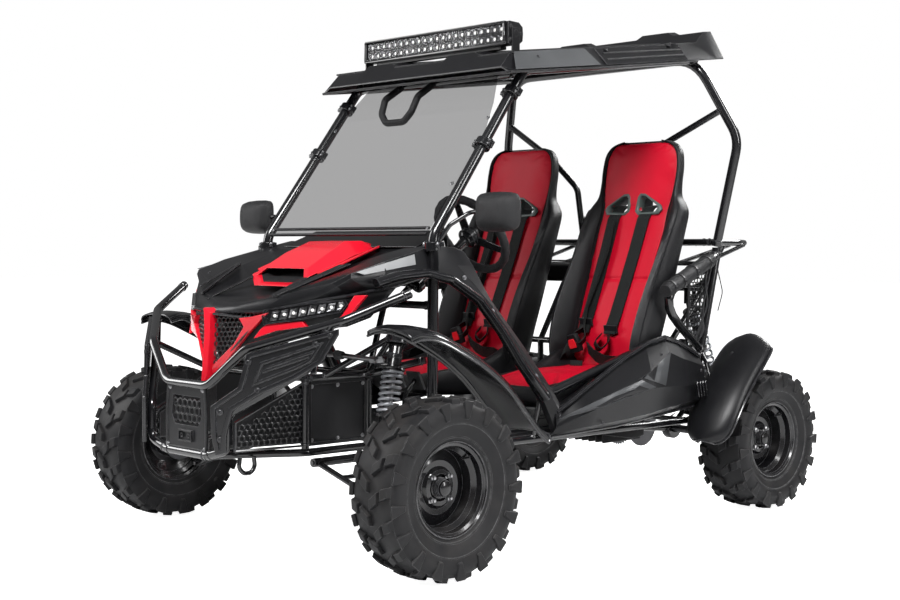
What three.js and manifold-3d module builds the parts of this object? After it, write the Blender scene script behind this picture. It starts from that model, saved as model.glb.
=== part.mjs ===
import * as THREE from 'three';
import { mergeVertices } from 'three/addons/utils/BufferGeometryUtils.js';
import Module from 'manifold-3d';

const wasm = await Module();
wasm.setup();

// Two-seat off road kart. +X is the driver's left, +Y the rear, +Z up, the ground is z = 0.
// Everything is first placed from the middle of the wheelbase, and the group is moved at the end.

// Driving dimensions, in millimetres
const wheelbase = 1723;
const frontTrack = 1418;
const rearTrack = 1220;
const noseReach = 1284.5;
const tailReach = 1132.5;
const railHeight = 330;
const frontTyre = { radius: 267, width: 176, seat: 130, lug: 13 };
const rearTyre = { radius: 257, width: 190, seat: 130, lug: 12 };
const seatGap = 0.3;
const runGap = 0.6;
const weld = 0.0005;

// Counts and shares
const tubeSides = 6;
const thinSides = 5;
const roundSides = 8;
const lugsPerRow = 6;
const springSides = 5;
const springSteps = 8;
const mitreTurn = 14;
const smallTurn = 32;

const rad = THREE.MathUtils.degToRad;
const at = (x, y, z) => new THREE.Vector3(x, y, z);
const mix = (a, b, share) => a + (b - a) * share;

// Stations of the frame, worked out from the axles
const tube = { frame: 12, cross: 10, cage: 17, side: 16, bumper: 14, rack: 10, bend: 70 };
const ahead = { box: 124, bumperEnd: 9, bumperBend: 175, bumperFront: 346, nose: 354 };
const behind = { box: 125, pillar: 234, sideTop: 372, roofFront: 642, sillFront: 521, knee: 634 };
const fromRear = { sill: 262, swing: 361, post: 187, hoop: 118, hoopTop: 215, hip: 600 };
const rackBehind = 259;
const width = {
  nose: 110, box: 250, pillar: 430, roof: 420, side: 480, sideBar: 530, knee: 516, bar: 480, hoop: 590, hip: 600, stay: 360,
  roofRear: 462,
};
const height = {
  box: 225, hoodRear: 625, belt: 662, roofFront: 1210, roofRear: 1325, hoopJoint: 1141, hoopBend: 1032,
  hoopFoot: 640, knee: 142, sillRear: 274, sideTop: 560, hipTop: 460, hipLow: 255, rack: 655, shockBar: 478,
};

const frontAxleY = -wheelbase / 2;
const rearAxleY = wheelbase / 2;
const boxFrontY = frontAxleY - ahead.box;
const boxRearY = frontAxleY + behind.box;
const pillarY = frontAxleY + behind.pillar;
const sillFrontY = frontAxleY + behind.sillFront;
const kneeY = frontAxleY + behind.knee;
const roofFrontY = frontAxleY + behind.roofFront;
const sillRearY = rearAxleY - fromRear.sill;
const swingY = rearAxleY - fromRear.swing;
const postY = rearAxleY - fromRear.post;
const hoopY = rearAxleY - fromRear.hoop;
const hoopTopY = rearAxleY - fromRear.hoopTop;
const hipY = rearAxleY - fromRear.hip;
const noseY = frontAxleY - ahead.nose;
const railZ = railHeight;
const boxTopZ = railZ + height.box;
const beltZ = railZ + height.belt;
const roofFrontZ = railZ + height.roofFront;
const roofRearZ = railZ + height.roofRear;
const rackZ = railZ + height.rack;
const hoopFootZ = railZ + height.hoopFoot;

// A closed solid from a geometry, turned inside out where its faces point in
function solid(geometry) {
  const bare = new THREE.BufferGeometry();
  bare.setAttribute('position', geometry.getAttribute('position').clone());
  if (geometry.index) bare.setIndex([...geometry.index.array]);
  const merged = mergeVertices(bare, weld);
  const vertProperties = Float32Array.from(merged.attributes.position.array);
  const corners = [...merged.index.array];
  const faces = [];
  for (let i = 0; i < corners.length; i += 3) {
    const [a, b, c] = corners.slice(i, i + 3);
    if (a !== b && b !== c && c !== a) faces.push(a, b, c);
  }
  const point = (i) => at(...vertProperties.slice(i * 3, i * 3 + 3));
  let volume = 0;
  for (let i = 0; i < faces.length; i += 3) {
    volume += point(faces[i]).dot(point(faces[i + 1]).cross(point(faces[i + 2])));
  }
  if (volume < 0) faces.reverse();
  return new wasm.Manifold(new wasm.Mesh({ numProp: 3, vertProperties, triVerts: Uint32Array.from(faces) }));
}

function geometryOf(body) {
  const mesh = body.getMesh();
  const geometry = new THREE.BufferGeometry();
  geometry.setAttribute('position', new THREE.Float32BufferAttribute(mesh.vertProperties, mesh.numProp));
  geometry.setIndex([...mesh.triVerts]);
  geometry.computeVertexNormals();
  return geometry;
}

function mirrored(geometry) {
  const other = geometry.clone();
  other.scale(-1, 1, 1);
  other.setIndex([...geometry.index.array].reverse());
  other.computeVertexNormals();
  return other;
}

const fuse = (...bodies) => bodies.flat(Infinity).reduce((whole, next) => whole.add(next));
const cut = (body, ...tools) => tools.flat(Infinity).reduce((rest, tool) => rest.subtract(tool), body);
const flip = (point) => [-point[0], point[1], point[2]];
const both = (points) => [points, points.map(flip)];

// A path of straight runs joined by bends of one radius
class BentPath extends THREE.Curve {
  constructor(corners, bend) {
    super();
    this.stops = [corners[0]];
    for (let i = 1; i < corners.length - 1; i += 1) this.stops.push(...BentPath.bent(corners, i, bend));
    this.stops.push(corners[corners.length - 1]);
  }

  static bent(corners, i, bend) {
    const corner = corners[i];
    const back = corners[i - 1].clone().sub(corner);
    const on = corners[i + 1].clone().sub(corner);
    const half = (Math.PI - back.angleTo(on)) / 2;
    if (half < rad(mitreTurn)) return [corner];
    const room = 0.48 * Math.min(back.length(), on.length());
    const reach = Math.min(bend * Math.tan(half), room);
    const start = corner.clone().addScaledVector(back.normalize(), reach);
    const end = corner.clone().addScaledVector(on.normalize(), reach);
    if (half < rad(smallTurn)) return [start, end];
    const middle = start.clone().add(end).multiplyScalar(0.25).addScaledVector(corner, 0.5);
    return [start, middle, end];
  }

  stop(share) {
    return Math.round(share * (this.stops.length - 1));
  }

  getPoint(share) {
    return this.stops[this.stop(share)].clone();
  }

  getPointAt(share) {
    return this.getPoint(share);
  }

  getTangentAt(share) {
    const i = this.stop(share);
    const here = this.stops[i];
    const before = this.stops[Math.max(i - 1, 0)];
    const after = this.stops[Math.min(i + 1, this.stops.length - 1)];
    const run = here.clone().sub(before).normalize().add(after.clone().sub(here).normalize());
    return run.normalize();
  }
}

function disc(radius, sides = tubeSides) {
  const shape = new THREE.Shape();
  for (let i = 0; i < sides; i += 1) {
    const turn = ((i + 0.5) / sides) * 2 * Math.PI;
    const [x, y] = [radius * Math.cos(turn), radius * Math.sin(turn)];
    if (i) shape.lineTo(x, y);
    else shape.moveTo(x, y);
  }
  return shape;
}

function sweep(path, radius, sides) {
  const steps = path.stops.length - 1;
  return solid(new THREE.ExtrudeGeometry(disc(radius, sides), { steps, extrudePath: path, curveSegments: 1 }));
}

const sidesFor = (radius) => (radius > tube.cross ? tubeSides : thinSides);

// A bent tube; grow makes it that much bigger all round, ends too, to cut others clear of it
function bentTube(points, radius, grow = 0, bend = tube.bend, sides = sidesFor(radius)) {
  const corners = points.map((p) => at(...p));
  const last = corners.length - 1;
  const first = corners[0].clone().sub(corners[1]).setLength(grow);
  const end = corners[last].clone().sub(corners[last - 1]).setLength(grow);
  corners[0].add(first);
  corners[last].add(end);
  return sweep(new BentPath(corners, bend), radius + grow, sides);
}

// A round bar from one point to another
function bar(from, to, radius, grow = 0, sides = sidesFor(radius)) {
  return bentTube([from, to], radius, grow, tube.bend, sides);
}

// The same path with its first and last runs cut short, to end clear of another tube
function trimmed(points, start, end = 0) {
  const list = points.map((p) => at(...p));
  const last = list.length - 1;
  const first = list[1].clone().sub(list[0]).setLength(start);
  const back = list[last - 1].clone().sub(list[last]).setLength(end);
  list[0].add(first);
  list[last].add(back);
  return list.map((p) => p.toArray());
}

// A bore's corner radius, so that its flats clear a round piece of that radius
const boreFor = (radius, gap, sides) => (radius + gap) / Math.cos(Math.PI / sides);

function block(low, high) {
  const size = high.map((value, i) => value - low[i]);
  const box = new THREE.BoxGeometry(...size);
  box.translate(...high.map((value, i) => (value + low[i]) / 2));
  return solid(box);
}

// An outline in a plane square to one axis, with a thickness along that axis
function plate(outline, axis, from, thickness) {
  const shape = new THREE.Shape(outline.map(([u, w]) => new THREE.Vector2(u, w)));
  const flat = new THREE.ExtrudeGeometry(shape, { depth: thickness, bevelEnabled: false });
  const turn = new THREE.Matrix4();
  if (axis === 'x') turn.makeBasis(at(0, 1, 0), at(0, 0, 1), at(1, 0, 0)).setPosition(from, 0, 0);
  if (axis === 'y') turn.makeBasis(at(1, 0, 0), at(0, 0, 1), at(0, -1, 0)).setPosition(0, from + thickness, 0);
  if (axis === 'z') turn.makeTranslation(0, 0, from);
  flat.applyMatrix4(turn);
  return solid(flat);
}

// A closed skin between two grids of points
function skin(outer, inner) {
  const rows = outer.length;
  const across = outer[0].length;
  const points = [...outer.flat(), ...inner.flat()];
  const index = (side, row, column) => (side * rows + row) * across + column;
  const faces = [];
  const quad = (a, b, c, d) => faces.push(a, b, c, a, c, d);
  for (let row = 0; row < rows - 1; row += 1) {
    for (let column = 0; column < across - 1; column += 1) {
      quad(index(0, row, column), index(0, row + 1, column), index(0, row + 1, column + 1), index(0, row, column + 1));
      quad(index(1, row, column), index(1, row, column + 1), index(1, row + 1, column + 1), index(1, row + 1, column));
    }
  }
  for (let row = 0; row < rows - 1; row += 1) {
    quad(index(0, row, 0), index(1, row, 0), index(1, row + 1, 0), index(0, row + 1, 0));
    const last = across - 1;
    quad(index(0, row + 1, last), index(1, row + 1, last), index(1, row, last), index(0, row, last));
  }
  for (let column = 0; column < across - 1; column += 1) {
    quad(index(0, 0, column + 1), index(1, 0, column + 1), index(1, 0, column), index(0, 0, column));
    const last = rows - 1;
    quad(index(0, last, column), index(1, last, column), index(1, last, column + 1), index(0, last, column + 1));
  }
  const geometry = new THREE.BufferGeometry();
  geometry.setAttribute('position', new THREE.Float32BufferAttribute(points.flatMap((p) => p.toArray()), 3));
  geometry.setIndex(faces);
  return solid(geometry);
}

const slab = (rows, offset) => skin(rows, rows.map((row) => row.map((p) => p.clone().add(offset))));

// A closed body through rings of points, each end closed by a fan from its middle or, if plain, from a corner
function loft(rings, plain = false) {
  const count = rings[0].length;
  const points = rings.flat();
  const faces = [];
  rings.slice(1).forEach((ring, level) => {
    for (let i = 0; i < count; i += 1) {
      const next = (i + 1) % count;
      const [a, b, c, d] = [level * count + i, level * count + next, (level + 1) * count + next, (level + 1) * count + i];
      faces.push(a, b, c, a, c, d);
    }
  });
  const last = (rings.length - 1) * count;
  for (let i = 1; plain && i < count - 1; i += 1) faces.push(0, i + 1, i, last, last + i, last + i + 1);
  [0, rings.length - 1].filter(() => !plain).forEach((level) => {
    const centre = rings[level].reduce((sum, p) => sum.add(p), at(0, 0, 0)).divideScalar(count);
    const middle = points.push(centre) - 1;
    for (let i = 0; i < count; i += 1) {
      const pair = [level * count + i, level * count + ((i + 1) % count)];
      faces.push(middle, ...(level ? pair : pair.reverse()));
    }
  });
  const geometry = new THREE.BufferGeometry();
  geometry.setAttribute('position', new THREE.Float32BufferAttribute(points.flatMap((p) => p.toArray()), 3));
  geometry.setIndex(faces);
  return solid(geometry);
}

// A turned piece around the X axis from [distance along x, radius] pairs
function turnedShape(profile, sides) {
  const points = profile.map(([x, r]) => new THREE.Vector2(r, x));
  return new THREE.LatheGeometry([...points, points[0]], sides, Math.PI / sides).rotateZ(-Math.PI / 2);
}

const turned = (profile, sides = roundSides) => solid(turnedShape(profile, sides));

// The same around an axis from a point
function turnedOn(origin, run, profile, sides = roundSides) {
  const along = run.clone().normalize();
  const side = at(0, 1, 0).cross(along).normalize();
  const basis = new THREE.Matrix4().makeBasis(along, side, along.clone().cross(side)).setPosition(origin);
  return solid(turnedShape(profile, sides).applyMatrix4(basis));
}

// The group and its finishes
const kart = new THREE.Group();
const finishes = {
  frame: ['#121213', 0.32, 0.6],
  plastic: ['#17181a', 0.55, 0],
  red: ['#c8102a', 0.3, 0],
  smoke: ['#5d6063', 0.1, 0],
  rubber: ['#1b1b1c', 0.85, 0],
  rim: ['#161617', 0.35, 0.5],
  spring: ['#8d9092', 0.35, 0.8],
  steel: ['#5a5c60', 0.4, 0.8],
  vinyl: ['#d01022', 0.5, 0],
  webbing: ['#101112', 0.9, 0],
  lamp: ['#d8dde0', 0.15, 0.1],
  engine: ['#4b4d50', 0.5, 0.7],
};

function addPart(name, geometry, finish) {
  const [color, roughness, metalness] = finishes[finish];
  const mesh = new THREE.Mesh(geometry, new THREE.MeshStandardMaterial({ color, roughness, metalness }));
  mesh.name = name;
  kart.add(mesh);
}

const addSolid = (name, body, finish) => addPart(name, geometryOf(body), finish);

function addPair(name, body, finish) {
  const geometry = geometryOf(body);
  addPart(`${name}_left`, geometry, finish);
  addPart(`${name}_right`, mirrored(geometry), finish);
}

// Roll cage: two pillars, roof rails, rear hoop, its braces and the mirror arms
const mirror = { x: 621, ahead: 90, up: 74, wide: 180, deep: 56, tall: 130, arm: 7, clamp: 27, clampTall: 30 };
const brace = { bendX: 250, bendDrop: 151, innerX: 160, innerDrop: 271, back: 59, belt: 65, bar: 12, foot: 4 };
const mirrorY = pillarY + mirror.ahead;
const mirrorZ = beltZ + mirror.up;
const mirrorInnerX = mirror.x - mirror.wide / 2;
const hoopJointZ = railZ + height.hoopJoint;
const hoopBendZ = railZ + height.hoopBend;

function pillarPoints() {
  return [
    [width.pillar, pillarY, railZ - tube.frame],
    [width.pillar, pillarY, beltZ],
    [width.roof, roofFrontY, roofFrontZ],
    [width.roofRear, hoopTopY, roofRearZ],
  ];
}

function hoopPoints() {
  const half = [
    [width.bar + tube.cage, hoopY, hoopFootZ],
    [width.hoop, hoopY, hoopBendZ],
    [width.roofRear, hoopTopY, roofRearZ],
  ];
  return [...half, ...half.map(flip).reverse()];
}

function bracePoints() {
  const rootX = mix(width.roofRear, width.hoop, (roofRearZ - hoopJointZ) / (roofRearZ - hoopBendZ));
  const rootY = mix(hoopTopY, hoopY, (roofRearZ - hoopJointZ) / (roofRearZ - hoopBendZ));
  return [
    [rootX, rootY, hoopJointZ],
    [brace.bendX, hoopTopY, hoopJointZ - brace.bendDrop],
    [brace.innerX, hoopTopY + brace.back, hoopJointZ - brace.innerDrop],
    [brace.innerX, hoopY, rackZ + tube.frame + brace.foot],
  ];
}

function mirrorArm() {
  const clamp = bar(
    [width.pillar, pillarY, beltZ - 2 * mirror.clampTall],
    [width.pillar, pillarY, beltZ - mirror.clampTall],
    mirror.clamp,
  );
  const arm = bentTube(
    [
      [width.pillar, pillarY, beltZ - mirror.clampTall * 1.5],
      [mix(width.pillar, mirrorInnerX, 0.35), mix(pillarY, mirrorY, 0.4), beltZ + mirror.up * 0.45],
      [mix(width.pillar, mirrorInnerX, 0.7), mirrorY, mirrorZ],
      [mirrorInnerX - seatGap, mirrorY, mirrorZ],
    ],
    mirror.arm,
  );
  return fuse(clamp, arm);
}

function pillarClamps(grow = 0) {
  const low = at(width.pillar, pillarY, beltZ);
  const run = at(width.roof, roofFrontY, roofFrontZ).sub(low);
  const half = run.clone().setLength(mirror.clampTall / 2);
  const clampShares = [0.72];
  return clampShares.map((share) => {
    const middle = low.clone().addScaledVector(run, share);
    return bar(middle.clone().sub(half).toArray(), middle.add(half).toArray(), mirror.clamp, grow);
  });
}

function cageTubes(grow = 0) {
  const rootZ = rackZ + brace.belt;
  const beltShare = (hoopJointZ - brace.innerDrop - rootZ) / (hoopJointZ - brace.innerDrop - rackZ - tube.frame - brace.foot);
  const beltY = mix(hoopTopY + brace.back, hoopY, beltShare);
  return [
    both(pillarPoints()).map((points) => bentTube(points, tube.cage, grow)),
    bentTube(hoopPoints(), tube.cage, grow, 2 * tube.bend),
    both(bracePoints()).map((points) => bentTube(points, brace.bar, grow)),
    bar([-width.roof, roofFrontY, roofFrontZ], [width.roof, roofFrontY, roofFrontZ], tube.cage, grow),
    bar([-brace.innerX, beltY, rootZ], [brace.innerX, beltY, rootZ], brace.bar, grow),
  ];
}

function makeRollCage() {
  const leftArm = mirrorArm();
  const clamps = [leftArm, ...pillarClamps()];
  const others = clamps.map((body) => solid(mirrored(geometryOf(body))));
  addSolid('roll_cage', fuse(cageTubes(), clamps, others), 'frame');
}

// Floor frame: rails, outriggers, cross tubes, side bars, floor pan, pedal shaft and swing arm ears
const pan = { thick: 2.5, lift: 0.5 };
const ear = { thick: 6, long: 44, drop: 44, x: 200 };
const pedalShaft = { y: 60, z: 48, radius: 8, from: 185, to: 405, ear: 6, earLong: 30 };
const sideBarShort = 117;
const swingDrop = 40;
const swingZ = railZ - swingDrop;
const panRearY = mix(sillFrontY, sillRearY, 0.72);
const pedalY = boxRearY + pedalShaft.y;
const pedalZ = railZ + pedalShaft.z;

function railTubes(grow = 0) {
  const inside = width.pillar - tube.cage - seatGap;
  const crosses = [
    [pillarY, inside], [sillFrontY + 2 * tube.frame, width.side], [panRearY, width.side], [sillRearY, width.side],
  ];
  const rail = [
    [width.nose, noseY - 2 * tube.bumper, railZ], [width.box, boxFrontY, railZ],
    [width.box, sillRearY + 2 * tube.frame, railZ],
  ];
  const outrigger = [
    [width.box, boxRearY + 2 * tube.frame, railZ], [width.side, sillFrontY, railZ],
    [width.side, sillRearY + 2 * tube.frame, railZ],
  ];
  return [
    both(rail).map((points) => bentTube(points, tube.frame, grow)),
    both(outrigger).map((points) => bentTube(points, tube.frame, grow)),
    crosses.map(([y, x]) => bar([-x, y, railZ], [x, y, railZ], tube.cross, grow)),
  ];
}

function sideBarPoints() {
  return trimmed([
    [width.pillar, pillarY, railZ + height.sideTop + tube.side],
    [mix(width.pillar, width.knee, 0.12), frontAxleY + behind.sideTop, railZ + height.sideTop],
    [width.knee, kneeY, railZ + height.knee],
    [width.sideBar, hipY, railZ + height.sillRear],
    [width.bar, postY, railZ + height.sillRear + tube.side],
  ], tube.cage + 5 * seatGap, sideBarShort);
}

// The point halfway round the bend at a corner
function bendMiddle(before, corner, after, bend) {
  const middle = at(...corner);
  const back = at(...before).sub(middle).normalize();
  const on = at(...after).sub(middle).normalize();
  const reach = bend * (1 / Math.sin(back.angleTo(on) / 2) - 1);
  return middle.add(back.add(on).setLength(reach)).toArray();
}

function sideBars(grow = 0) {
  const run = sideBarPoints();
  const foot = [bendMiddle(run[1], run[2], run[3], tube.bend), [width.side, kneeY, railZ]];
  return [
    both(run).map((points) => bentTube(points, tube.side, grow)),
    both(foot).map(([from, to]) => bar(from, to, tube.rack, grow)),
  ];
}

function floorPan() {
  const half = [[width.box, boxRearY + 3 * tube.frame], [width.side, sillFrontY], [width.side, panRearY]];
  const outline = [...half, ...half.map(([x, y]) => [-x, y]).reverse()];
  const low = railZ + tube.frame + pan.lift;
  const strip = block(
    [-width.box / 2, panRearY - tube.frame / 4, railZ], [width.box / 2, panRearY + tube.frame / 4, low + pan.thick / 2],
  );
  return fuse(plate(outline, 'z', low, pan.thick), strip);
}

function pedalMount() {
  const ears = [pedalShaft.from, pedalShaft.to - pedalShaft.ear].map((x) => block(
    [x, pedalY - pedalShaft.earLong / 2, railZ + tube.frame + pan.lift + pan.thick / 2],
    [x + pedalShaft.ear, pedalY + pedalShaft.earLong / 2, pedalZ + 2 * pedalShaft.radius],
  ));
  const ends = [pedalShaft.from, pedalShaft.to].map((x) => [x, pedalY, pedalZ]);
  return [...ears, bar(...ends, pedalShaft.radius, 0, roundSides)];
}

const swing = { pivot: 18, pin: 10, arm: 15, carrier: 38, carrierWide: 36, carrierX: 205, tail: 11, lug: 12 };

const swingCross = (grow = 0) => bar([-width.box, swingY, railZ], [width.box, swingY, railZ], tube.cross, grow);

function swingMount() {
  const ears = [ear.x, -ear.x - ear.thick].map((x) => block(
    [x, swingY - ear.long / 2, swingZ - ear.drop / 2],
    [x + ear.thick, swingY + ear.long / 2, railZ],
  ));
  const pins = [1, -1].map((side) => bar(
    [side * (ear.x + ear.thick), swingY, swingZ],
    [side * (ear.x - ear.long), swingY, swingZ],
    swing.pin,
  ));
  return [swingCross(), ears, pins];
}

// Brackets and pins of the lower arms, under the box rails
const arm = { radius: 9, pivot: 14, half: 96, spread: 78, rootUp: -34, pin: 7, pad: 13, padThick: 10, gap: 4, ear: 5 };
const armRootZ = railZ + arm.rootUp;
const padDropShare = 0.4;

function armMounts() {
  const reach = arm.half + runGap;
  return [-1, 1].flatMap((side) => {
    const x = side * width.box;
    const ears = [-reach - arm.ear, reach].map((from) => block(
      [x - arm.pivot, frontAxleY + from, armRootZ - arm.pivot], [x + arm.pivot, frontAxleY + from + arm.ear, railZ],
    ));
    const end = reach + arm.ear / 2;
    return [...ears, bar([x, frontAxleY - end, armRootZ], [x, frontAxleY + end, armRootZ], arm.pin)];
  });
}

function makeFloorFrame() {
  const raw = fuse(railTubes(), sideBars(), floorPan(), pedalMount(), swingMount(), armMounts());
  addSolid('floor_frame', cut(raw, bumperTubes(seatGap)), 'frame');
}

// Rear frame: posts, stays, hip hoops with their sleeves, cargo rack and shock mount bar
const postGap = 5;
const sleeve = { radius: 27, fromShare: 0.1, toShare: 0.86 };
const shock = { x: 300, topAhead: 15, topUp: 435, footBehind: 124, footUp: 110, eye: 13, eyeWide: 22, pin: 5 };
const shockTop = at(shock.x, rearAxleY - shock.topAhead, railZ + shock.topUp);
const shockFoot = at(shock.x, rearAxleY + shock.footBehind, railZ + shock.footUp);
const stayTrim = 9;
const rackRearY = rearAxleY + rackBehind;
const rackBendY = mix(hoopY, rackRearY, 0.62);
const shockBarZ = railZ + height.shockBar;
const mountEar = { thick: 4, long: 30, below: 14 };

function hipPoints() {
  return [
    [width.bar + tube.cage, hoopY, hoopFootZ - tube.cage * 2],
    [width.hip, hipY, railZ + height.hipTop],
    [width.bar, postY, railZ + height.hipLow],
  ];
}

function rackPoints() {
  return [
    [width.pillar, hoopY, rackZ],
    [width.pillar, rackBendY, rackZ],
    [width.stay, rackRearY, rackZ],
    [0, rackRearY, rackZ],
  ];
}

function stayPoints() {
  return trimmed([
    [width.box, sillRearY, railZ],
    [mix(width.box, width.stay, 0.7), postY, railZ + height.hipLow],
    [width.stay, shockTop.y, shockBarZ],
    [width.stay, rackBendY, rackZ],
  ], tube.frame + stayTrim);
}

function rearTubes(grow = 0) {
  const post = trimmed([
    [width.side, sillRearY, railZ], [width.bar, postY, railZ + height.hipLow],
    [width.bar + tube.cage, hoopY, hoopFootZ - 2 * tube.cage],
    [width.bar + tube.cage, hoopY, hoopFootZ - postGap],
  ], tube.side + postGap);
  const rackSide = width.bar - 4 * seatGap;
  const postCrossZ = railZ + height.hipLow;
  const slatShares = [-0.36, 0.36];
  return [
    both(post).map((points) => bentTube(points, tube.side, grow)),
    both(hipPoints()).map((points) => bentTube(points, tube.side, grow, 2 * tube.bend)),
    both(rackPoints()).map((points) => bentTube(points, tube.frame, grow)),
    both(stayPoints()).map((points) => bentTube(points, tube.frame, grow)),
    bar([-width.bar, postY, postCrossZ], [width.bar, postY, postCrossZ], tube.frame, grow),
    bar([-rackSide, hoopY, rackZ], [rackSide, hoopY, rackZ], tube.frame, grow),
    bar([-width.pillar, rackBendY, rackZ], [width.pillar, rackBendY, rackZ], tube.rack, grow),
    bar([-width.stay, shockTop.y, shockBarZ], [width.stay, shockTop.y, shockBarZ], tube.frame, grow),
    slatShares.map((share) => bar(
      [share * width.stay, hoopY, rackZ], [share * width.stay, rackRearY, rackZ], tube.rack, grow,
    )),
  ];
}

function sleeves() {
  const [top, bend] = hipPoints().map((p) => at(...p));
  const from = top.clone().lerp(bend, sleeve.fromShare);
  const to = top.clone().lerp(bend, sleeve.toShare);
  return both([from.toArray(), to.toArray()]).map(([a, b]) => bar(a, b, sleeve.radius));
}

function shockEars() {
  const inner = shock.eyeWide / 2 + runGap;
  const places = [inner, -inner - mountEar.thick];
  const low = shockTop.z - mountEar.below;
  return places.flatMap((offset) => both([[shock.x + offset, 0, 0], [shock.x + offset + mountEar.thick, 0, 0]]))
    .map(([a, b]) => block(
      [Math.min(a[0], b[0]), shockTop.y - mountEar.long / 2, low],
      [Math.max(a[0], b[0]), shockTop.y + mountEar.long / 2, shockBarZ],
    ));
}

function makeRearFrame() {
  const raw = fuse(rearTubes(), sleeves(), shockEars());
  addSolid('rear_frame', raw, 'frame');
}

// Steering axis of the left front wheel, leaning in and back towards its top
const strut = {
  inset: 237, ahead: 24, lean: -0.077, caster: 0.25, tube: 22, rod: 12, perch: 36, perchThick: 5,
  top: 433, ring: 398, ringThick: 9, tubeFoot: 323, springTop: 318, springFoot: 180, foot: -40, rodFoot: 70,
};
const wheelX = frontTrack / 2;
const strutBase = at(wheelX - strut.inset, frontAxleY - strut.ahead, frontTyre.radius);
const strutAxis = at(strut.lean, strut.caster, 1);
const onStrut = (rise) => strutBase.clone().addScaledVector(strutAxis, rise);
const along = (from, to, radius) => bar(onStrut(from).toArray(), onStrut(to).toArray(), radius, 0, roundSides);

// Front frame: box uprights and rails, strut towers, dash bar, rack tube and side screens
const rack = { up: 70, ahead: 28, tube: 20, bar: 8, half: 212, out: 68, foot: 10, footX: 180 };
const rackY = frontAxleY - rack.ahead;
const rackBarZ = boxTopZ + rack.up;
const column = {
  x: 300, wheelUp: 670, wheelBehind: 525, rise: 0.675, radius: 12, long: 308, bearing: 290, ring: 26, ringWide: 16,
};
const wheelCentre = at(column.x, frontAxleY + column.wheelBehind, railZ + column.wheelUp);
const columnRun = at(0, -1, -column.rise).normalize();
const onColumn = (distance) => wheelCentre.clone().addScaledVector(columnRun, distance);
const dashBar = { up: 445 };
const screen = { thick: 2 };

function towerTubes(grow = 0) {
  const top = onStrut((strut.ring + strut.top) / 2);
  const ringSide = at(top.x - strut.tube - strut.ringThick / 2, top.y, top.z);
  const pillarSide = at(top.x, top.y + strut.tube + strut.ringThick / 2, top.z);
  const runs = [
    [ringSide, at(width.box, boxFrontY + ahead.box / 2, boxTopZ)],
    [ringSide, at(width.box, boxRearY, boxTopZ)],
    trimmed([pillarSide.toArray(), [width.pillar, pillarY, top.z + strut.ringThick]], 0, tube.cage + 2 * seatGap)
      .map((p) => at(...p)),
  ];
  return runs.flatMap(([from, to]) => both([from.toArray(), to.toArray()]).map(([a, b]) => bar(a, b, tube.rack, grow)));
}

function frontTubes(grow = 0) {
  const footZ = railZ + tube.frame + seatGap;
  const uprights = [boxFrontY, boxRearY].flatMap((y) => both([[width.box, y, footZ], [width.box, y, boxTopZ]]));
  const rail = trimmed([
    [width.box, boxFrontY, boxTopZ], [width.box, boxRearY, boxTopZ], [width.pillar, pillarY, boxTopZ + height.box / 4],
  ], 0, tube.cage + 0.6 * tube.frame);
  const dashZ = railZ + dashBar.up;
  const dashHalf = width.pillar - tube.cage - seatGap;
  const dashStay = [[width.box, boxRearY, boxTopZ], [width.box * 0.8, pillarY, dashZ]];
  return [
    uprights.map(([from, to]) => bar(from, to, tube.frame, grow)),
    both(rail).map((points) => bentTube(points, tube.frame, grow)),
    [boxFrontY, boxRearY].map((y) => bar([-width.box, y, boxTopZ], [width.box, y, boxTopZ], tube.cross, grow)),
    bar([-dashHalf, pillarY, dashZ], [dashHalf, pillarY, dashZ], tube.frame, grow),
    both(dashStay).map(([from, to]) => bar(from, to, tube.rack, grow)),
    towerTubes(grow),
  ];
}

function strutRings() {
  const ring = along(strut.ring, strut.top, strut.tube + strut.ringThick);
  return [ring, solid(mirrored(geometryOf(ring)))];
}

function strutBores() {
  const reach = strut.top - strut.ring;
  const bore = along(strut.ring - reach, strut.top + reach, boreFor(strut.tube, runGap, roundSides));
  return [bore, solid(mirrored(geometryOf(bore)))];
}

function rackTube() {
  const outer = bar([-rack.half, rackY, rackBarZ], [rack.half, rackY, rackBarZ], rack.tube);
  const feet = [-1, 1].map((side) => bar(
    [side * rack.footX, rackY, rackBarZ - rack.tube / 2], [side * width.box, boxFrontY + rack.ahead, boxTopZ], rack.foot,
  ));
  return [outer, ...feet];
}

function columnBearing() {
  const half = column.ringWide / 2;
  const ring = bar(onColumn(column.bearing - half).toArray(), onColumn(column.bearing + half).toArray(), column.ring);
  const side = onColumn(column.bearing).add(at(-column.ring, 0, 0));
  const drop = bar([column.x - 2 * column.ring, pillarY, railZ + dashBar.up], side.toArray(), tube.rack);
  return [ring, drop];
}

function sideScreens(grow = 0) {
  const footZ = railZ + tube.frame + seatGap;
  const outline = [[boxFrontY, footZ], [boxRearY, footZ], [boxRearY, boxTopZ], [boxFrontY, boxTopZ]];
  const thick = screen.thick + 2 * grow;
  return [width.box - thick / 2, -width.box - thick / 2].map((x) => plate(outline, 'x', x, thick));
}

function makeFrontFrame() {
  const rackBore = bar(
    [-rack.half - rack.out, rackY, rackBarZ], [rack.half + rack.out, rackY, rackBarZ], rack.bar, runGap,
  );
  const columnBore = bar(
    onColumn(column.bearing - 2 * column.ringWide).toArray(),
    onColumn(column.long + column.ringWide).toArray(),
    boreFor(column.radius, runGap, tubeSides),
  );
  const raw = fuse(frontTubes(), strutRings(), rackTube(), columnBearing(), sideScreens());
  const body = cut(raw, strutBores(), rackBore, columnBore);
  addSolid('front_frame', body, 'frame');
}

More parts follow.
